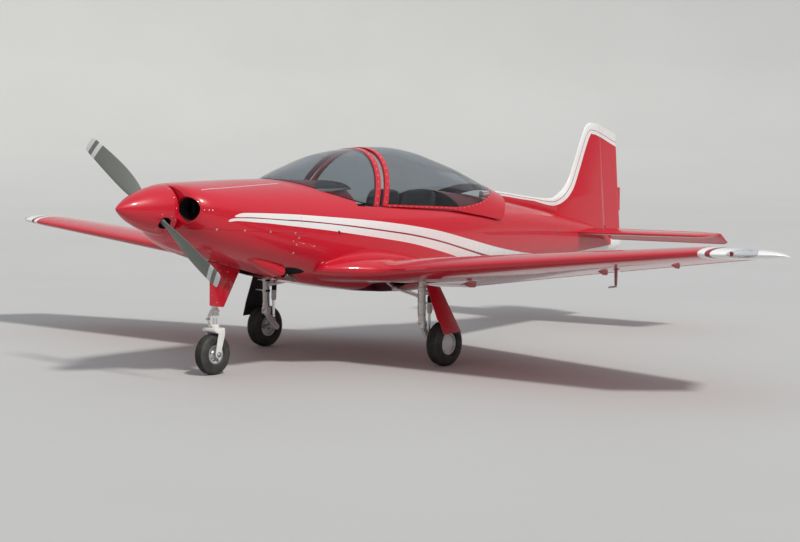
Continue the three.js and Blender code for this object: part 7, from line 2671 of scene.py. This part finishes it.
def dial(y, z, r, hands=((60, 0.72), (200, 0.5)), marks=12):
    out = [lathe("bezel", [(r + 4, 0), (r + 4, 5), (r + 2.5, 7), (r, 7.4), (r - 1.5, 5), (r - 1.5, 2), (0, 2), (0, 0)], at(PANEL_S, y, z), (-1, 0, 0), [M["dark"]], 44, None, 28)]
    out.append(lathe("face", [(0, 2.6), (r - 1.6, 2.6), (r - 1.6, 2.2), (0, 2.2)], at(PANEL_S, y, z), (-1, 0, 0), [M["dial"]], 44, None, 28))
    V, F = [], []
    for k in range(marks):
        a = 2 * math.pi * k / marks
        e = Vector((0, math.cos(a), math.sin(a)))
        q = Vector((0, -math.sin(a), math.cos(a)))
        c = at(PANEL_S, y, z) + Vector((-2.9, 0, 0))
        i0 = len(V)
        for f_, g_ in ((0.80, -0.8), (0.94, -0.8), (0.94, 0.8), (0.80, 0.8)):
            V.append(c + e * (r * f_) + q * g_)
        V += [v + Vector((0.4, 0, 0)) for v in V[i0:i0 + 4]]
        F += [(i0, i0 + 1, i0 + 2, i0 + 3), (i0 + 7, i0 + 6, i0 + 5, i0 + 4), (i0, i0 + 4, i0 + 5, i0 + 1), (i0 + 1, i0 + 5, i0 + 6, i0 + 2), (i0 + 2, i0 + 6, i0 + 7, i0 + 3), (i0 + 3, i0 + 7, i0 + 4, i0)]
    for deg_, ln in hands:
        a = rad(deg_)
        e = Vector((0, math.cos(a), math.sin(a)))
        q = Vector((0, -math.sin(a), math.cos(a)))
        c = at(PANEL_S, y, z) + Vector((-3.4, 0, 0))
        i0 = len(V)
        for f_, g_ in ((-0.15, -1.2), (ln, -0.5), (ln, 0.5), (-0.15, 1.2)):
            V.append(c + e * (r * f_) + q * g_)
        V += [v + Vector((0.4, 0, 0)) for v in V[i0:i0 + 4]]
        F += [(i0, i0 + 1, i0 + 2, i0 + 3), (i0 + 7, i0 + 6, i0 + 5, i0 + 4), (i0, i0 + 4, i0 + 5, i0 + 1), (i0 + 1, i0 + 5, i0 + 6, i0 + 2), (i0 + 2, i0 + 6, i0 + 7, i0 + 3), (i0 + 3, i0 + 7, i0 + 4, i0)]
    out.append(outward(new_object("marks", V, F, M["dial_mark"], smooth=False)))
    return out


dials = []
for i, y_ in enumerate((300, 208, 116)):
    for j, z_ in enumerate((1325, 1232)):
        dials += dial(y_, z_, 38, ((40 + 50 * i + 90 * j, 0.74), (190 - 35 * i, 0.5)))
for i, y_ in enumerate((-190, -262, -334)):
    for j, z_ in enumerate((1318, 1246, 1174)):
        dials += dial(y_, z_, 27, ((120 - 30 * i - 20 * j, 0.78),), 8)
for z_, h_ in ((1340, 42), (1288, 46), (1236, 40), (1190, 36)):
    dials.append(slab("radio", at(PANEL_S + 8, -30, z_), (18, 158, h_), M["dark"], 2.5, 2))
    for y_ in (-92, 32):
        dials.append(lathe("knob", [(0, 0), (9, 0), (9, 10), (7.5, 12), (0, 12)], at(PANEL_S + 16, y_, z_), (-1, 0, 0), M["rubber"], 28, None, 30))
    dials.append(slab("window", at(PANEL_S + 17.4, -30, z_ + 3), (2, 86, h_ * 0.36), M["dial_glass"], 0.6, 2))
for k in range(9):
    y_ = 330 - k * 34
    dials.append(lathe("switch", [(0, 0), (7, 0), (7, 3), (3.4, 4), (2.6, 18), (3.6, 22), (0, 23)], at(PANEL_S, y_, 1152), (-1, 0, 0.25), M["steel"], 20, None, 30))
for k in range(10):
    y_ = -130 - k * 26
    dials.append(lathe("breaker", [(0, 0), (6, 0), (6, 5), (4, 6), (4, 12), (0, 12)], at(PANEL_S, y_, 1112), (-1, 0, 0), M["rubber"], 18, None, 30))
for y_, mt in ((34, "dark"), (0, "red"), (-34, "dark")):
    dials.append(lathe("lever", [(0, 0), (5, 0), (5, 52), (11, 56), (14, 64), (11, 72), (0, 74)], at(PANEL_S, y_, 1100), (-1, 0, 0.1), M[mt], 28, None, 40))
place(joined("panel_dials", dials), "airframe", "dark_interior")
for nd in ("instrument_panel",):
    o = frame["nodes"][nd] if nd in frame["nodes"] else bpy.data.objects[nd]
    o = o if hasattr(o, "data") else bpy.data.objects[nd]
    for i in range(max(1, len(o.data.materials))):
        if i < len(o.data.materials):
            o.data.materials[i] = M["panel"]
        else:
            o.data.materials.append(M["panel"])

# Shield over the panel, following the windshield.
sh_rings = []
for s_ in spread(1700, 2046, 30):
    g = row_at(GREENHOUSE, s_)
    h = hull_row(s_)
    w_ = min(g[3], h[3]) - 70
    z0 = 1392 + (s_ - 1700) * 0.052
    top_, bot_ = [], []
    for k in range(25):
        u = -1 + 2 * k / 24
        zz = z0 + 30 * (1 - abs(u) ** 2.6) - 26 * abs(u) ** 6
        top_.append([NX - s_, w_ * u, zz])
        bot_.append([NX - s_, w_ * u, zz - 14])
    sh_rings.append(np.array(top_ + bot_[::-1]))
shield = auto_smooth(loft("glareshield", sh_rings, M["trim"]), 40)
place(shield, "airframe", "dark_interior")

# ------------------------------------------------------------------------- end
for o in list(bpy.data.objects):
    if o.type == "MESH" and (o.name.split(".")[0] in {
        "hull_src", "hull_grown", "cabin_cut", "cockpit_cut", "wheel_bay", "leg_bay", "elev_cut", "elev_cut2", "cowl_src", "cowl_in",
        "inlet_cut", "shaft_cut", "cowl_shell", "upper_cut", "lower_cut", "bulge", "outlet_cut", "nose_bay", "cut_0", "cut_1", "cut_2",
        "g_out", "g_in", "glass_shell", "wind_strip", "above_sill", "base_cut", "skirt_prism", "k_out", "k_in", "hull_clear", "canopy_rear",
        "rear_glass_prism", "rear_strip", "wing_src", "flap_left_skin_cove", "aileron_left_skin_cove", "lens_box", "lens_grown",
        "tip_cut", "under_top", "strake", "tail_gone", "fin_cut", "tail_body", "spin_hole", "hub_room"}):
        drop(o)
